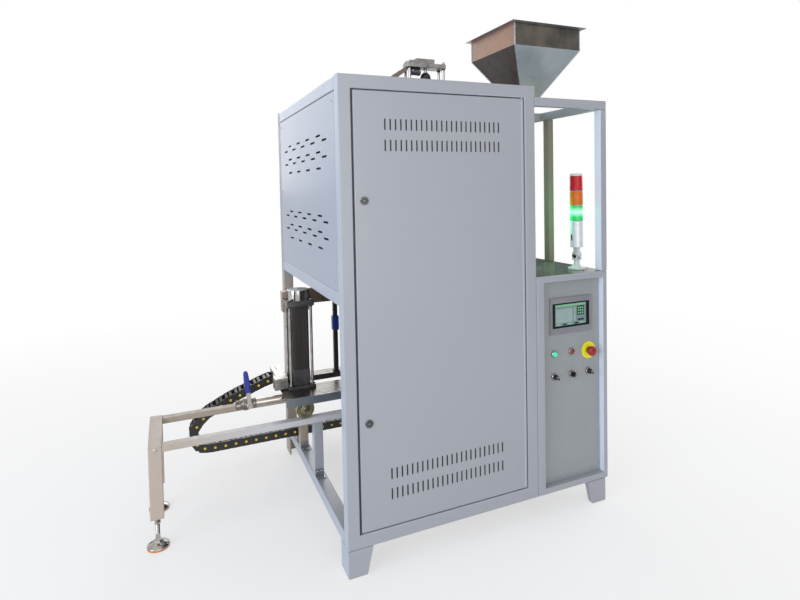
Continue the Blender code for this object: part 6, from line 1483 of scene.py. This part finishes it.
def levelling_feet():
    for node in ("levelling_foot_front", "levelling_foot_rear"):
        low, high = span(node)
        x = (low.x + high.x) / 2
        y = (low.y + high.y) / 2
        sole = lathe_form([(0.0395, 0), (0.0412, 0.0008), (0.0418, 0.0030), (0.0415, 0.0062),
                           (0.0380, 0.0066)], (x, y, 0), (0, 0, 1))
        cup = [(0.0385, 0.0060), (0.0420, 0.0066), (0.0425, 0.0085), (0.0418, 0.0104), (0.0400, 0.0118)]
        cup += [(0.0360, 0.0150), (0.0300, 0.0188), (0.0230, 0.0222), (0.0175, 0.0252), (0.0150, 0.0282),
                (0.0132, 0.0300)]
        cup = lathe_form(cup + [(0.0120, 0.0302)], (x, y, 0), (0, 0, 1), 72)
        stem = [(0.0118, 0.0290), (0.0110, 0.0320), (0.0092, 0.0400), (0.0082, 0.0500)]
        turn_z = 0.0560
        while turn_z < high.z - 0.003:
            stem += [(0.0080, turn_z), (0.0074, turn_z + 0.00075)]
            turn_z += 0.0015
        stem.append((0.0070, high.z))
        spindle = lathe_form(stem, (x, y, 0), (0, 0, 1), 32)
        nut_base = span("track_outer_portal")[0].z - LEVEL_UP - 2 * SEAT - FOOT_NUT_HEIGHT
        nut = nut_form((x, y, nut_base), (0, 0, 1), 0.0130, FOOT_NUT_HEIGHT)
        form = gather((sole, 1), (cup, 0), (spindle, 0), (nut, 0))
        make(f"{node}_set", form, [chrome, rubber_orange], node, [node])


# Trolley

def trolley():
    low = span("trolley_frame")[0]
    deck_top = 0.515
    plate_base = deck_top - 0.006
    front = low.y
    back = 0.780
    beam_front = back - 0.066
    left, right = -0.119, 0.745
    deck = box_form((left, front, plate_base), (right, back, deck_top), 0.0008)
    window = box_form((0.045, front + 0.147, plate_base - 0.01), (0.340, beam_front, deck_top + 0.01), 0.0)
    deck = combined(deck, window)
    riser_x, riser_y = 0.500, 0.550
    deck = combined(deck, rod_form((riser_x, riser_y, plate_base - 0.01),
                                   (riser_x, riser_y, deck_top + 0.01), 0.017, SMALL_SIDES, 0))
    make("trolley_deck", deck, brown_deck, "trolley", ["trolley_frame"])
    flange = box_form((left, front, 0.480), (right, front + 0.004, plate_base + 0.001), 0.0009)
    edge = box_form((left, front - 0.0001, plate_base + 0.0002), (right, front + 0.010, deck_top + 0.0001),
                    0.0007)
    make("trolley_front_flange", gather(flange, edge), flange_grey, "trolley")
    beam = box_form((left, beam_front, 0.489), (right, back, plate_base + 0.001), 0.0016)
    make("trolley_rear_beam", beam, dark_steel, "trolley")
    lugs = []
    heads = []
    for name, side in (("wheel_front_left", 1), ("wheel_front_right", 1), ("wheel_rear_left", -1),
                       ("wheel_rear_right", -1)):
        place = joint_place(f"{name}_roll")
        near = place.y + side * 0.0135
        far = near + side * 0.008
        y0, y1 = min(near, far), max(near, far)
        outline = [(place.x - 0.020, y0, plate_base + 0.001), (place.x - 0.020, y0, place.z)]
        for step in range(1, 12):
            angle = math.radians(180 + 180 * step / 12)
            outline.append((place.x + 0.020 * math.cos(angle), y0, place.z + 0.016 * math.sin(angle)))
        outline += [(place.x + 0.020, y0, place.z), (place.x + 0.020, y0, plate_base + 0.001)]
        lugs.append(prism_form(outline, (0, y1 - y0, 0), 0.0006, 2))
        inner = place.y - side * 0.0135
        lugs.append(rod_form((place.x, near + side * 0.002, place.z), (place.x, inner, place.z), 0.006))
        heads.append(nut_form((place.x, inner + side * 0.0008, place.z), (0, -side, 0), 0.0100, 0.0046))
        heads.append(nut_form((place.x, far, place.z), (0, side, 0), 0.0085, 0.005))
    make("axle_lugs", gather(*lugs), dark_steel, "trolley")
    make("axle_nuts", gather(*heads), chrome, "trolley")
    tab_low_x = CHAIN_END_X + SEAT
    chain_low, chain_high = span("drag_chain")
    bracket = [box_form((tab_low_x, back - 0.002, plate_base), (tab_low_x + 0.050, chain_high.y, deck_top),
                        0.0008),
               box_form((tab_low_x, chain_low.y, CHAIN_END_Z - 0.021),
                        (tab_low_x + 0.004, chain_high.y, plate_base + 0.001), 0.0006)]
    bolts = []
    for y in (chain_low.y + 0.020, chain_high.y - 0.020):
        bolts.append((screw_form((tab_low_x + 0.022, y, deck_top), (0, 0, 1), 0.0055), 1))
    make("chain_bracket", gather(*bracket, *bolts), [dull_steel, chrome], "trolley")
    mast(beam_front, deck_top)


def mast(beam_front, deck_top):
    left = 0.165
    size = 0.020
    y = beam_front + 0.004
    top = deck_top + 0.385
    post = box_form((left, y, deck_top - 0.001), (left + size, y + size, top), 0.0022)
    ribs = []
    for index in range(14):
        z = deck_top + 0.020 + index * 0.0125
        ribs.append(box_form((left - 0.0006, y - 0.0006, z),
                             (left + size + 0.0006, y + size + 0.0006, z + 0.0035), 0.0006, 2))
    foot = box_form((left - 0.004, y - 0.003, deck_top), (left + size + 0.004, y + size + 0.004,
                                                          deck_top + 0.008), 0.0012)
    make("air_mast", gather(post, foot, *ribs), black_nylon, "trolley")
    base = deck_top + 0.2025
    knob_low = (left - 0.005, y - 0.005, base)
    body = box_form(knob_low, (left + size + 0.005, y + size + 0.005, base + 0.070), 0.0030)
    grooves = []
    for index in range(6):
        z = base + 0.014 + index * 0.0085
        grooves.append(box_form((left - 0.0054, y - 0.0054, z),
                                (left + size + 0.0054, y + size + 0.0054, z + 0.0035), 0.0008, 2))
    make("air_regulator", gather(body, *grooves), regulator_blue, "trolley")


def wheels():
    for name in ("wheel_front_left", "wheel_front_right", "wheel_rear_left", "wheel_rear_right"):
        place = joint_place(f"{name}_roll")
        half = 0.010
        profile = [(0.0066, -half - 0.002), (0.0130, -half - 0.002), (0.0140, -half - 0.0012),
                   (0.0140, -half + 0.0015)]
        profile += [(0.0165, -half + 0.0026), (0.0235, -half + 0.0026), (0.0260, -half + 0.0004),
                    (0.0375, -half)]
        profile += [(0.0390, -half + 0.0014), (0.0390, half - 0.0014), (0.0375, half),
                    (0.0260, half - 0.0004)]
        profile += [(0.0235, half - 0.0026), (0.0165, half - 0.0026), (0.0140, half - 0.0015),
                    (0.0140, half + 0.0012)]
        profile += [(0.0130, half + 0.002), (0.0066, half + 0.002)]
        tyre = lathe_form(profile, place, (0, 1, 0), 80, True)
        marks = []
        for index in range(3):
            angle = math.tau * index / 3 + 0.4
            spot = place + Vector((0.020 * math.cos(angle), 0, 0.020 * math.sin(angle)))
            for side in (-1, 1):
                marks.append((rod_form(spot + Vector((0, side * (half - 0.0030), 0)),
                                       spot + Vector((0, side * (half - 0.0016), 0)), 0.0024, 16), 1))
        make(f"{name}_rim", gather((tyre, 0), *marks), [zinc_yellow, chrome], name, [name])


def lift_column():
    low = span("lift_column")[0]
    x, y = -0.028, 0.602
    left, right = x - 0.060, x + 0.060
    front, back = y - 0.050, y + 0.050
    foot = low.z
    top_base = 0.908 - 0.023
    plates = [box_form((left, front, foot), (right, back, foot + 0.015), 0.0012),
              box_form((left, front, top_base), (right, back, 0.908), 0.0012)]
    rods = []
    nuts = []
    for side_x in (-1, 1):
        for side_y in (-1, 1):
            rx = x + side_x * 0.047
            ry = y + side_y * 0.038
            rods.append((rod_form((rx, ry, foot + 0.002), (rx, ry, 0.908 + 0.008), 0.006, SMALL_SIDES,
                                  0.0008), 1))
            nuts.append((nut_form((rx, ry, foot + 0.015), (0, 0, 1), 0.0102, 0.0080), 1))
            nuts.append((nut_form((rx, ry, 0.908), (0, 0, 1), 0.0102, 0.0055), 1))
            nuts.append((nut_form((rx, ry, top_base - 0.0055), (0, 0, 1), 0.0102, 0.0055), 1))
    guide = box_form((x - 0.015, back - 0.012, foot + 0.002), (x + 0.015, back + 0.012, 0.906), 0.0010)
    half = 0.037
    barrel_low = foot + 0.014
    barrel = [box_form((x - half, y - half, barrel_low), (x + half, back - 0.010, top_base + 0.001), 0.0060,
                       4)]
    for index in range(5):
        px = x - half + 0.012 + index * 0.0125
        barrel.append(box_form((px, y - half - 0.0008, barrel_low + 0.085),
                               (px + 0.0050, y - half + 0.002, top_base - 0.060), 0.0006, 2))
    for side in (-1, 1):
        for index in range(4):
            py = y - half + 0.012 + index * 0.015
            x0 = x + side * half
            barrel.append(box_form((min(x0, x0 + side * 0.0008) - 0.0004, py, barrel_low + 0.085),
                                   (max(x0, x0 + side * 0.0008) + 0.0004, py + 0.006, top_base - 0.060),
                                   0.0004, 2))
    lower = box_form((x - half - 0.001, y - half - 0.0015, barrel_low + 0.001),
                     (x + half + 0.001, back - 0.012, barrel_low + 0.070), 0.0030)
    form = gather(*[(p, 0) for p in plates], *rods, *nuts, (guide, 1), *[(b, 2) for b in barrel],
                  (lower, 0))
    make("lift_column_set", form, [column_grey, chrome, barrel_black], "trolley",
         ["lift_column"])
    profile = [(0.0470, 0), (0.0470, 0.0425), (0.0462, 0.0452), (0.0440, 0.0460), (0.0360, 0.0460),
               (0.0345, 0.0450), (0.0010, 0.0450)]
    cap = lathe_form(profile, (x, y, 0.908), (0, 0, 1), 96)
    make("lift_cap", cap, chrome, "trolley")
    box_left = low.x
    body = box_form((box_left, y - 0.025, foot + 0.002), (left + 0.002, y + 0.025, foot + 0.052), 0.0025)
    lid = box_form((box_left - 0.0004, y - 0.0254, foot + 0.036), (left - 0.004, y + 0.0254, foot + 0.0525),
                   0.0020)
    glands = [(rod_form((box_left - 0.0002, y - 0.010, foot + 0.020),
                        (box_left + 0.003, y - 0.010, foot + 0.020), 0.0075), 1)]
    make("terminal_box", gather((body, 0), (lid, 0), *glands), [dull_steel, black_nylon], "trolley")


def quench_pan():
    low, high = span("quench_pan")
    pan = tray_form(low, high, 0.0022, "Z", 1, 0.006)
    hole = rod_form((0.500, 0.550, low.z - 0.01), (0.500, 0.550, low.z + 0.01), 0.013, SMALL_SIDES, 0)
    pan = combined(pan, hole)
    make("quench_pan_sheet", pan, stainless, "trolley", ["quench_pan"])


def drain():
    low, high = span("drain_valve")
    y, z = 0.550, 0.4922
    left = low.x
    stem_x = -0.2595
    pipe = lathe_form([(0.0130, 0), (0.0165, 0.0), (0.0165, 0.740), (0.0130, 0.740)], (-0.236, y, z),
                      (1, 0, 0), 48, True)
    elbow = []
    for step in range(9):
        angle = math.radians(90 * step / 8)
        elbow.append((0.500 - 0.012 + 0.012 * math.sin(angle), y, z + 0.012 - 0.012 * math.cos(angle)))
    riser = rod_form((0.500, y, z), (0.500, y, high.z), 0.0160, 40, 0.0003)
    make("drain_pipe", gather(pipe, riser), polished_pipe, "trolley", ["drain_valve"])
    body_profile = [(0.0135, 0.0005), (0.0160, 0.0), (0.0200, 0.0), (0.0206, 0.0015), (0.0206, 0.0175),
                    (0.0190, 0.0188), (0.0205, 0.0215)]
    for step in range(13):
        angle = math.radians(-60 + 120 * step / 12)
        body_profile.append((0.0145 + 0.0108 * math.cos(angle), 0.041 + 0.0195 * math.sin(angle)))
    body_profile += [(0.0205, 0.0605), (0.0190, 0.0632), (0.0206, 0.0645), (0.0206, 0.0805),
                     (0.0200, 0.082), (0.0160, 0.082), (0.0135, 0.0815)]
    body = lathe_form(body_profile, (left, y, z), (1, 0, 0), 64, True)
    hexes = []
    for start in (left + 0.0005, left + 0.0645):
        hexes.append(lathe_form([(0.0205, 0), (0.0214, 0.0012), (0.0214, 0.0155), (0.0205, 0.0170),
                                 (0.0140, 0.0170), (0.0140, 0)],
                                (start, y, z), (1, 0, 0), HEX, True, math.radians(30)))
    boss = lathe_form([(0.0130, 0.012), (0.0130, 0.026), (0.0112, 0.0275), (0.0112, 0.032),
                       (0.0080, 0.032)], (stem_x, y, z), (0, -1, 0), 40)
    stem = lathe_form([(0.0068, 0.030), (0.0068, 0.0358), (0.0060, 0.0372)], (stem_x, y, z), (0, -1, 0), 24)
    form = gather((body, 0), *[(h, 0) for h in hexes], (boss, 0), (stem, 1))
    make("valve_body", form, [cast_valve, chrome], "trolley")
    lever()


def lever():
    low, high = span("valve_lever")
    joint = frame_joint("valve_turn")
    pivot = Vector(joint["pos_m"]) - ORIGIN
    lean = math.radians(6)
    face = high.y
    length = 0.154
    sheet = 0.003
    hub = rod_form((0, face - sheet, 0), (0, face, 0), 0.012, 40, 0.0005)
    blade = box_form((-0.0085, face - sheet, 0), (0.0085, face, length - 0.012), 0.0006)
    hole = rod_form((0, face - 0.01, 0), (0, face + 0.01, 0), 0.0073, 24, 0)
    blade = combined(combined(hub, blade, "UNION"), hole)
    middle = (low.y + high.y) / 2
    thick = (high.y - low.y) / 2
    loops = []
    start = length - 0.095
    steps = 26
    for step in range(steps + 1):
        share = step / steps
        z = start + (length - start) * share
        width = 0.0098 + 0.0018 * math.sin(math.pi * min(1.0, share * 1.15))
        if share > 0.86:
            width *= math.sqrt(max(0.02, 1 - ((share - 0.86) / 0.14) ** 2))
        if share < 0.06:
            width *= 0.86 + 0.14 * share / 0.06
        grip = 0.0004 * (1 + math.cos(share * math.tau * 7)) / 2 if 0.15 < share < 0.85 else 0.0
        depth = (thick - grip) * (0.80 if share in (0, 1) else 1.0)
        ring = []
        for index in range(24):
            angle = math.tau * index / 24
            c, s = math.cos(angle), math.sin(angle)
            ring.append((width * math.copysign(abs(c) ** 0.6, c),
                         middle + depth * math.copysign(abs(s) ** 0.6, s), z))
        loops.append(ring)
    sleeve = skin(bmesh.new(), loops)
    turn = Matrix.Translation((pivot.x, 0, pivot.z)) @ Matrix.Rotation(-lean, 4, "Y")
    form = gather((blade, 1), (sleeve, 0))
    bmesh.ops.transform(form, matrix=turn, verts=form.verts)
    make("valve_handle", form, [lever_blue, chrome], "valve_lever", ["valve_lever"])


# Drag chain

def chain_path():
    """Middle line of the chain from its fixed end to the trolley, as in the solids."""
    high = span("drag_chain")[1]
    floor_rail = span("left_floor_rail")[1].z
    half = 0.021
    low_z = floor_rail + SEAT + half
    run_end = CHAIN_END_X - CHAIN_END_RUN
    reach = run_end - CHAIN_TURN_X
    rise = CHAIN_END_Z - low_z
    route = [(high.x, low_z), (CHAIN_TURN_X, low_z)]
    for share_x, share_z in CHAIN_BEND_SHARES:
        route.append((CHAIN_TURN_X + share_x * reach, low_z + share_z * rise))
    route += [(run_end, CHAIN_END_Z), (CHAIN_END_X, CHAIN_END_Z)]
    return [Vector((x, 0, z)) for x, z in route]


def chain():
    low, high = span("drag_chain")
    route = chain_path()
    lengths = [(b - a).length for a, b in zip(route, route[1:])]
    total = sum(lengths)
    count = round(total / CHAIN_PITCH)
    pitch = total / count

    def place(far):
        for a, b, length in zip(route, route[1:], lengths):
            if far <= length:
                return a + (b - a) * far / length
            far -= length
        return route[-1]

    joints = [place(index * pitch) for index in range(count + 1)]
    links = []
    pins = []
    for index, (a, b) in enumerate(zip(joints, joints[1:])):
        way = b - a
        length = way.length
        angle = math.atan2(way.z, way.x)
        turn = Matrix.Translation(a) @ Matrix.Rotation(-angle, 4, "Y")
        forms = []
        half = 0.0205 if index % 2 else 0.0198
        for side in (0, 1):
            inset = 0.0006 + (0.0016 if index % 2 else 0.0)
            y0 = low.y + inset if side == 0 else high.y - inset - 0.0055
            outline = []
            for cx, sx in ((length * 0.93, 1), (length * 0.07, -1)):
                for step in range(7):
                    a_turn = math.radians(-90 + 180 * step / 6)
                    outline.append((cx + sx * 0.0095 * math.cos(a_turn), y0, sx * half * math.sin(a_turn)))
            forms.append(prism_form(outline, (0, 0.0055, 0), 0.0007, 2))
        for z_side in (-1, 1):
            z0 = z_side * (half - 0.0032) - 0.0015
            for start, end in ((0.16, 0.42), (0.58, 0.84)):
                forms.append(box_form((length * start, low.y + 0.004, z0),
                                      (length * end, high.y - 0.004, z0 + 0.0032), 0.0008, 2))
        link = gather(*forms)
        bmesh.ops.transform(link, matrix=turn, verts=link.verts)
        links.append(link)
        for y, sign in ((low.y + 0.0004, -1), (high.y - 0.0004, 1)):
            pin = lathe_form([(0.0058, -0.002), (0.0058, 0.0003), (0.0052, 0.0008), (0.0018, 0.0009),
                              (0.0010, 0.0004)],
                             (length / 2, y, 0), (0, sign, 0), 20)
            bmesh.ops.transform(pin, matrix=turn, verts=pin.verts)
            pins.append(pin)
    start = (0, 0, route[0].z + 0.022 + ORIGIN.z)
    end = (0, 0, CHAIN_END_Z - 0.010 + ORIGIN.z)
    body = make("chain_links", gather(*links), black_nylon, "", ["drag_chain"])
    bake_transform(body)
    dots = make("chain_pins", gather(*pins), pin_yellow, "")
    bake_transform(dots)
    cables(route, low)


def cables(route, low):
    """Leads and an air hose that lie inside the chain."""
    forms = []
    for y, z, radius in ((0.020, -0.006, 0.0055), (0.036, 0.004, 0.0045), (0.052, -0.004, 0.0055)):
        points = []
        for a, b in zip(route, route[1:]):
            steps = max(2, int((b - a).length / 0.03))
            for step in range(steps):
                point = a + (b - a) * step / steps
                points.append(Vector((point.x, low.y + y, point.z + z)))
        points.append(Vector((route[-1].x, low.y + y, route[-1].z + z)))
        forms.append(sweep_form(points, radius, 10))
    inner = make("chain_cables", gather(*forms), grey_moulding, "")
    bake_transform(inner)


# Solids that keep their own shape

def dress_solids():
    """Finishes for the solids that are shown as they are."""
    finishes = {
        "chamber_floor": galvanised, "lining": fire_brick, "lining_lid": fire_brick,
        "heater": heating_alloy,
        "crucible": alumina, "control_gear": gear_grey, "feeder_tube": stainless, "feeder_screw": stainless,
        "lift_arm": arm_steel,
    }
    for name, node in frame["nodes"].items():
        material = finishes.get(name, powder)
        node.data.materials.clear()
        node.data.materials.append(material)


# Stage

def stage():
    floor_mesh = bpy.data.meshes.new("floor")
    reach = 14.0
    floor_mesh.from_pydata([(-reach, -reach, 0), (reach, -reach, 0), (reach, reach, 0), (-reach, reach, 0)],
                           [], [(0, 1, 2, 3)])
    floor = bpy.data.objects.new("floor", floor_mesh)
    floor.location = (0, 0, -0.0005)
    bpy.context.scene.collection.objects.link(floor)
    material = bpy.data.materials.new("floor_white")
    material.use_nodes = True
    tree = material.node_tree
    shader = tree.nodes["Principled BSDF"]
    shader.inputs["Base Color"].default_value = (0.80, 0.80, 0.80, 1)
    shader.inputs["Roughness"].default_value = 0.9
    shader.inputs["Specular IOR Level"].default_value = 0.1
    output = tree.nodes["Material Output"]
    white = tree.nodes.new("ShaderNodeEmission")
    white.inputs["Color"].default_value = (1, 1, 1, 1)
    white.inputs["Strength"].default_value = 1.0
    path = tree.nodes.new("ShaderNodeLightPath")
    distance = tree.nodes.new("ShaderNodeVectorMath")
    distance.operation = "LENGTH"
    tree.links.new(object_coords(tree), distance.inputs[0])
    far = ranged(tree, distance.outputs["Value"], 0.5, 4.5, 0.55, 1.0)
    rays = path.outputs["Is Camera Ray"]
    for kind in ("Is Glossy Ray", "Is Transmission Ray"):
        both = add_node(tree, "ShaderNodeMath", operation="MAXIMUM")
        tree.links.new(rays, both.inputs[0])
        tree.links.new(path.outputs[kind], both.inputs[1])
        rays = both.outputs[0]
    seen = times(tree, rays, far)
    mix = tree.nodes.new("ShaderNodeMixShader")
    tree.links.new(seen, mix.inputs["Fac"])
    tree.links.new(shader.outputs["BSDF"], mix.inputs[1])
    tree.links.new(white.outputs["Emission"], mix.inputs[2])
    tree.links.new(mix.outputs["Shader"], output.inputs["Surface"])
    floor_mesh.materials.append(material)


def world():
    scene_world = bpy.data.worlds.new("studio")
    scene_world.use_nodes = True
    bpy.context.scene.world = scene_world
    tree = scene_world.node_tree
    background = tree.nodes["Background"]
    background.inputs["Color"].default_value = (1, 1, 1, 1)
    path = tree.nodes.new("ShaderNodeLightPath")
    seen = add_node(tree, "ShaderNodeMath", operation="MAXIMUM")
    tree.links.new(path.outputs["Is Camera Ray"], seen.inputs[0])
    tree.links.new(path.outputs["Is Transmission Ray"], seen.inputs[1])
    either = add_node(tree, "ShaderNodeMath", operation="MAXIMUM")
    tree.links.new(seen.outputs[0], either.inputs[0])
    tree.links.new(path.outputs["Is Glossy Ray"], either.inputs[1])
    strength = ranged(tree, either.outputs[0], 0.0, 1.0, WORLD_LIGHT, 1.0)
    tree.links.new(strength, background.inputs["Strength"])


def lamp(name, place, aim, size, power, colour=(1, 1, 1)):
    light = bpy.data.lights.new(name, "AREA")
    light.shape = "RECTANGLE"
    light.size = size[0]
    light.size_y = size[1]
    light.energy = power
    light.color = colour
    obj = bpy.data.objects.new(name, light)
    obj.location = place
    obj.rotation_euler = (Vector(aim) - Vector(place)).to_track_quat("-Z", "Y").to_euler()
    bpy.context.scene.collection.objects.link(obj)


def lights():
    lamp("left_window", (-3.9, -1.9, 1.7), (0, 0, 0.9), (3.2, 3.0), 120, (0.74, 0.85, 1.0))
    lamp("front_fill", (-0.6, -4.4, 1.5), (0, 0, 0.8), (3.4, 2.6), 58, (1.0, 0.97, 0.93))
    lamp("right_fill", (4.4, 0.4, 2.6), (0, 0, 1.0), (3.0, 2.6), 72, (0.95, 0.97, 1.0))
    lamp("rear_fill", (0.4, 4.4, 2.6), (0, 0, 1.0), (3.0, 2.6), 72, (1.0, 0.98, 0.96))


def tower_glow():
    """The green lamp's own light on the posts beside it."""
    low, high = span("tower_base")
    x = (low.x + high.x) / 2
    y = (low.y + high.y) / 2
    for name, shift, power in (("glow_rear", (-0.06, 0.07), 1.3), ("glow_side", (0.040, 0.0), 0.05)):
        light = bpy.data.lights.new(name, "POINT")
        light.energy = power
        light.color = (0.10, 1.0, 0.38)
        light.shadow_soft_size = 0.012
        obj = bpy.data.objects.new(name, light)
        obj.location = ORIGIN + Vector((x + shift[0], y + shift[1], 1.275))
        obj.visible_camera = False
        obj.visible_glossy = False
        bpy.context.scene.collection.objects.link(obj)


def flags():
    """Dark cards beside the set that only metal sees, so that chrome has an edge."""
    material = bpy.data.materials.new("card_black")
    material.use_nodes = True
    material.node_tree.nodes["Principled BSDF"].inputs["Base Color"].default_value = (0.02, 0.02, 0.022, 1)
    material.node_tree.nodes["Principled BSDF"].inputs["Roughness"].default_value = 0.9
    cards = (("card_left", (-2.6, -1.9, 0.9), (0.9, 1.9)), ("card_right", (2.4, -2.4, 0.9), (1.0, 1.9)),
             ("card_rear", (-1.8, 2.8, 0.9), (0.9, 1.9)), ("card_far", (2.6, 2.2, 0.9), (0.9, 1.9)))
    for name, place, size in cards:
        mesh = bpy.data.meshes.new(name)
        half_w, half_h = size[0] / 2, size[1] / 2
        mesh.from_pydata([(-half_w, 0, -half_h), (half_w, 0, -half_h), (half_w, 0, half_h),
                          (-half_w, 0, half_h)], [], [(0, 1, 2, 3)])
        mesh.materials.append(material)
        obj = bpy.data.objects.new(name, mesh)
        obj.location = place
        obj.rotation_euler = (0, 0, math.atan2(place[0], -place[1]))
        obj.visible_camera = False
        obj.visible_diffuse = False
        obj.visible_shadow = False
        obj.visible_transmission = False
        bpy.context.scene.collection.objects.link(obj)


def camera():
    data = bpy.data.cameras.new("camera")
    data.sensor_width = CAMERA_SENSOR
    data.lens = CAMERA_LENS
    data.shift_x, data.shift_y = CAMERA_SHIFT
    forward = Vector((math.sin(CAMERA_YAW) * math.cos(CAMERA_PITCH),
                      math.cos(CAMERA_YAW) * math.cos(CAMERA_PITCH), math.sin(CAMERA_PITCH)))
    level = Vector((math.cos(CAMERA_YAW), -math.sin(CAMERA_YAW), 0))
    rise = level.cross(forward)
    right = math.cos(CAMERA_ROLL) * level + math.sin(CAMERA_ROLL) * rise
    up = -math.sin(CAMERA_ROLL) * level + math.cos(CAMERA_ROLL) * rise
    turn = Matrix((right, up, -forward)).transposed().to_4x4()
    obj = bpy.data.objects.new("camera", data)
    obj.matrix_world = Matrix.Translation(ORIGIN + Vector(CAMERA_PLACE)) @ turn
    bpy.context.scene.collection.objects.link(obj)
    bpy.context.scene.camera = obj


def main():
    camera()
    dress_solids()
    front_frame()
    rear_frame()
    side_rails()
    cover_panels()
    roof()
    door()
    locks()
    control_cabinet()
    front_plate()
    touch_screen()
    push_button("green_button", green_lens)
    push_button("red_button", red_lens)
    emergency_stop()
    selectors()
    hopper_frame()
    hopper()
    feeder()
    stopper_drive()
    signal_tower()
    track()
    levelling_feet()
    trolley()
    wheels()
    lift_column()
    quench_pan()
    drain()
    chain()
    stage()
    world()
    lights()
    tower_glow()
    flags()
    bpy.context.scene.view_settings.view_transform = "Standard"


main()
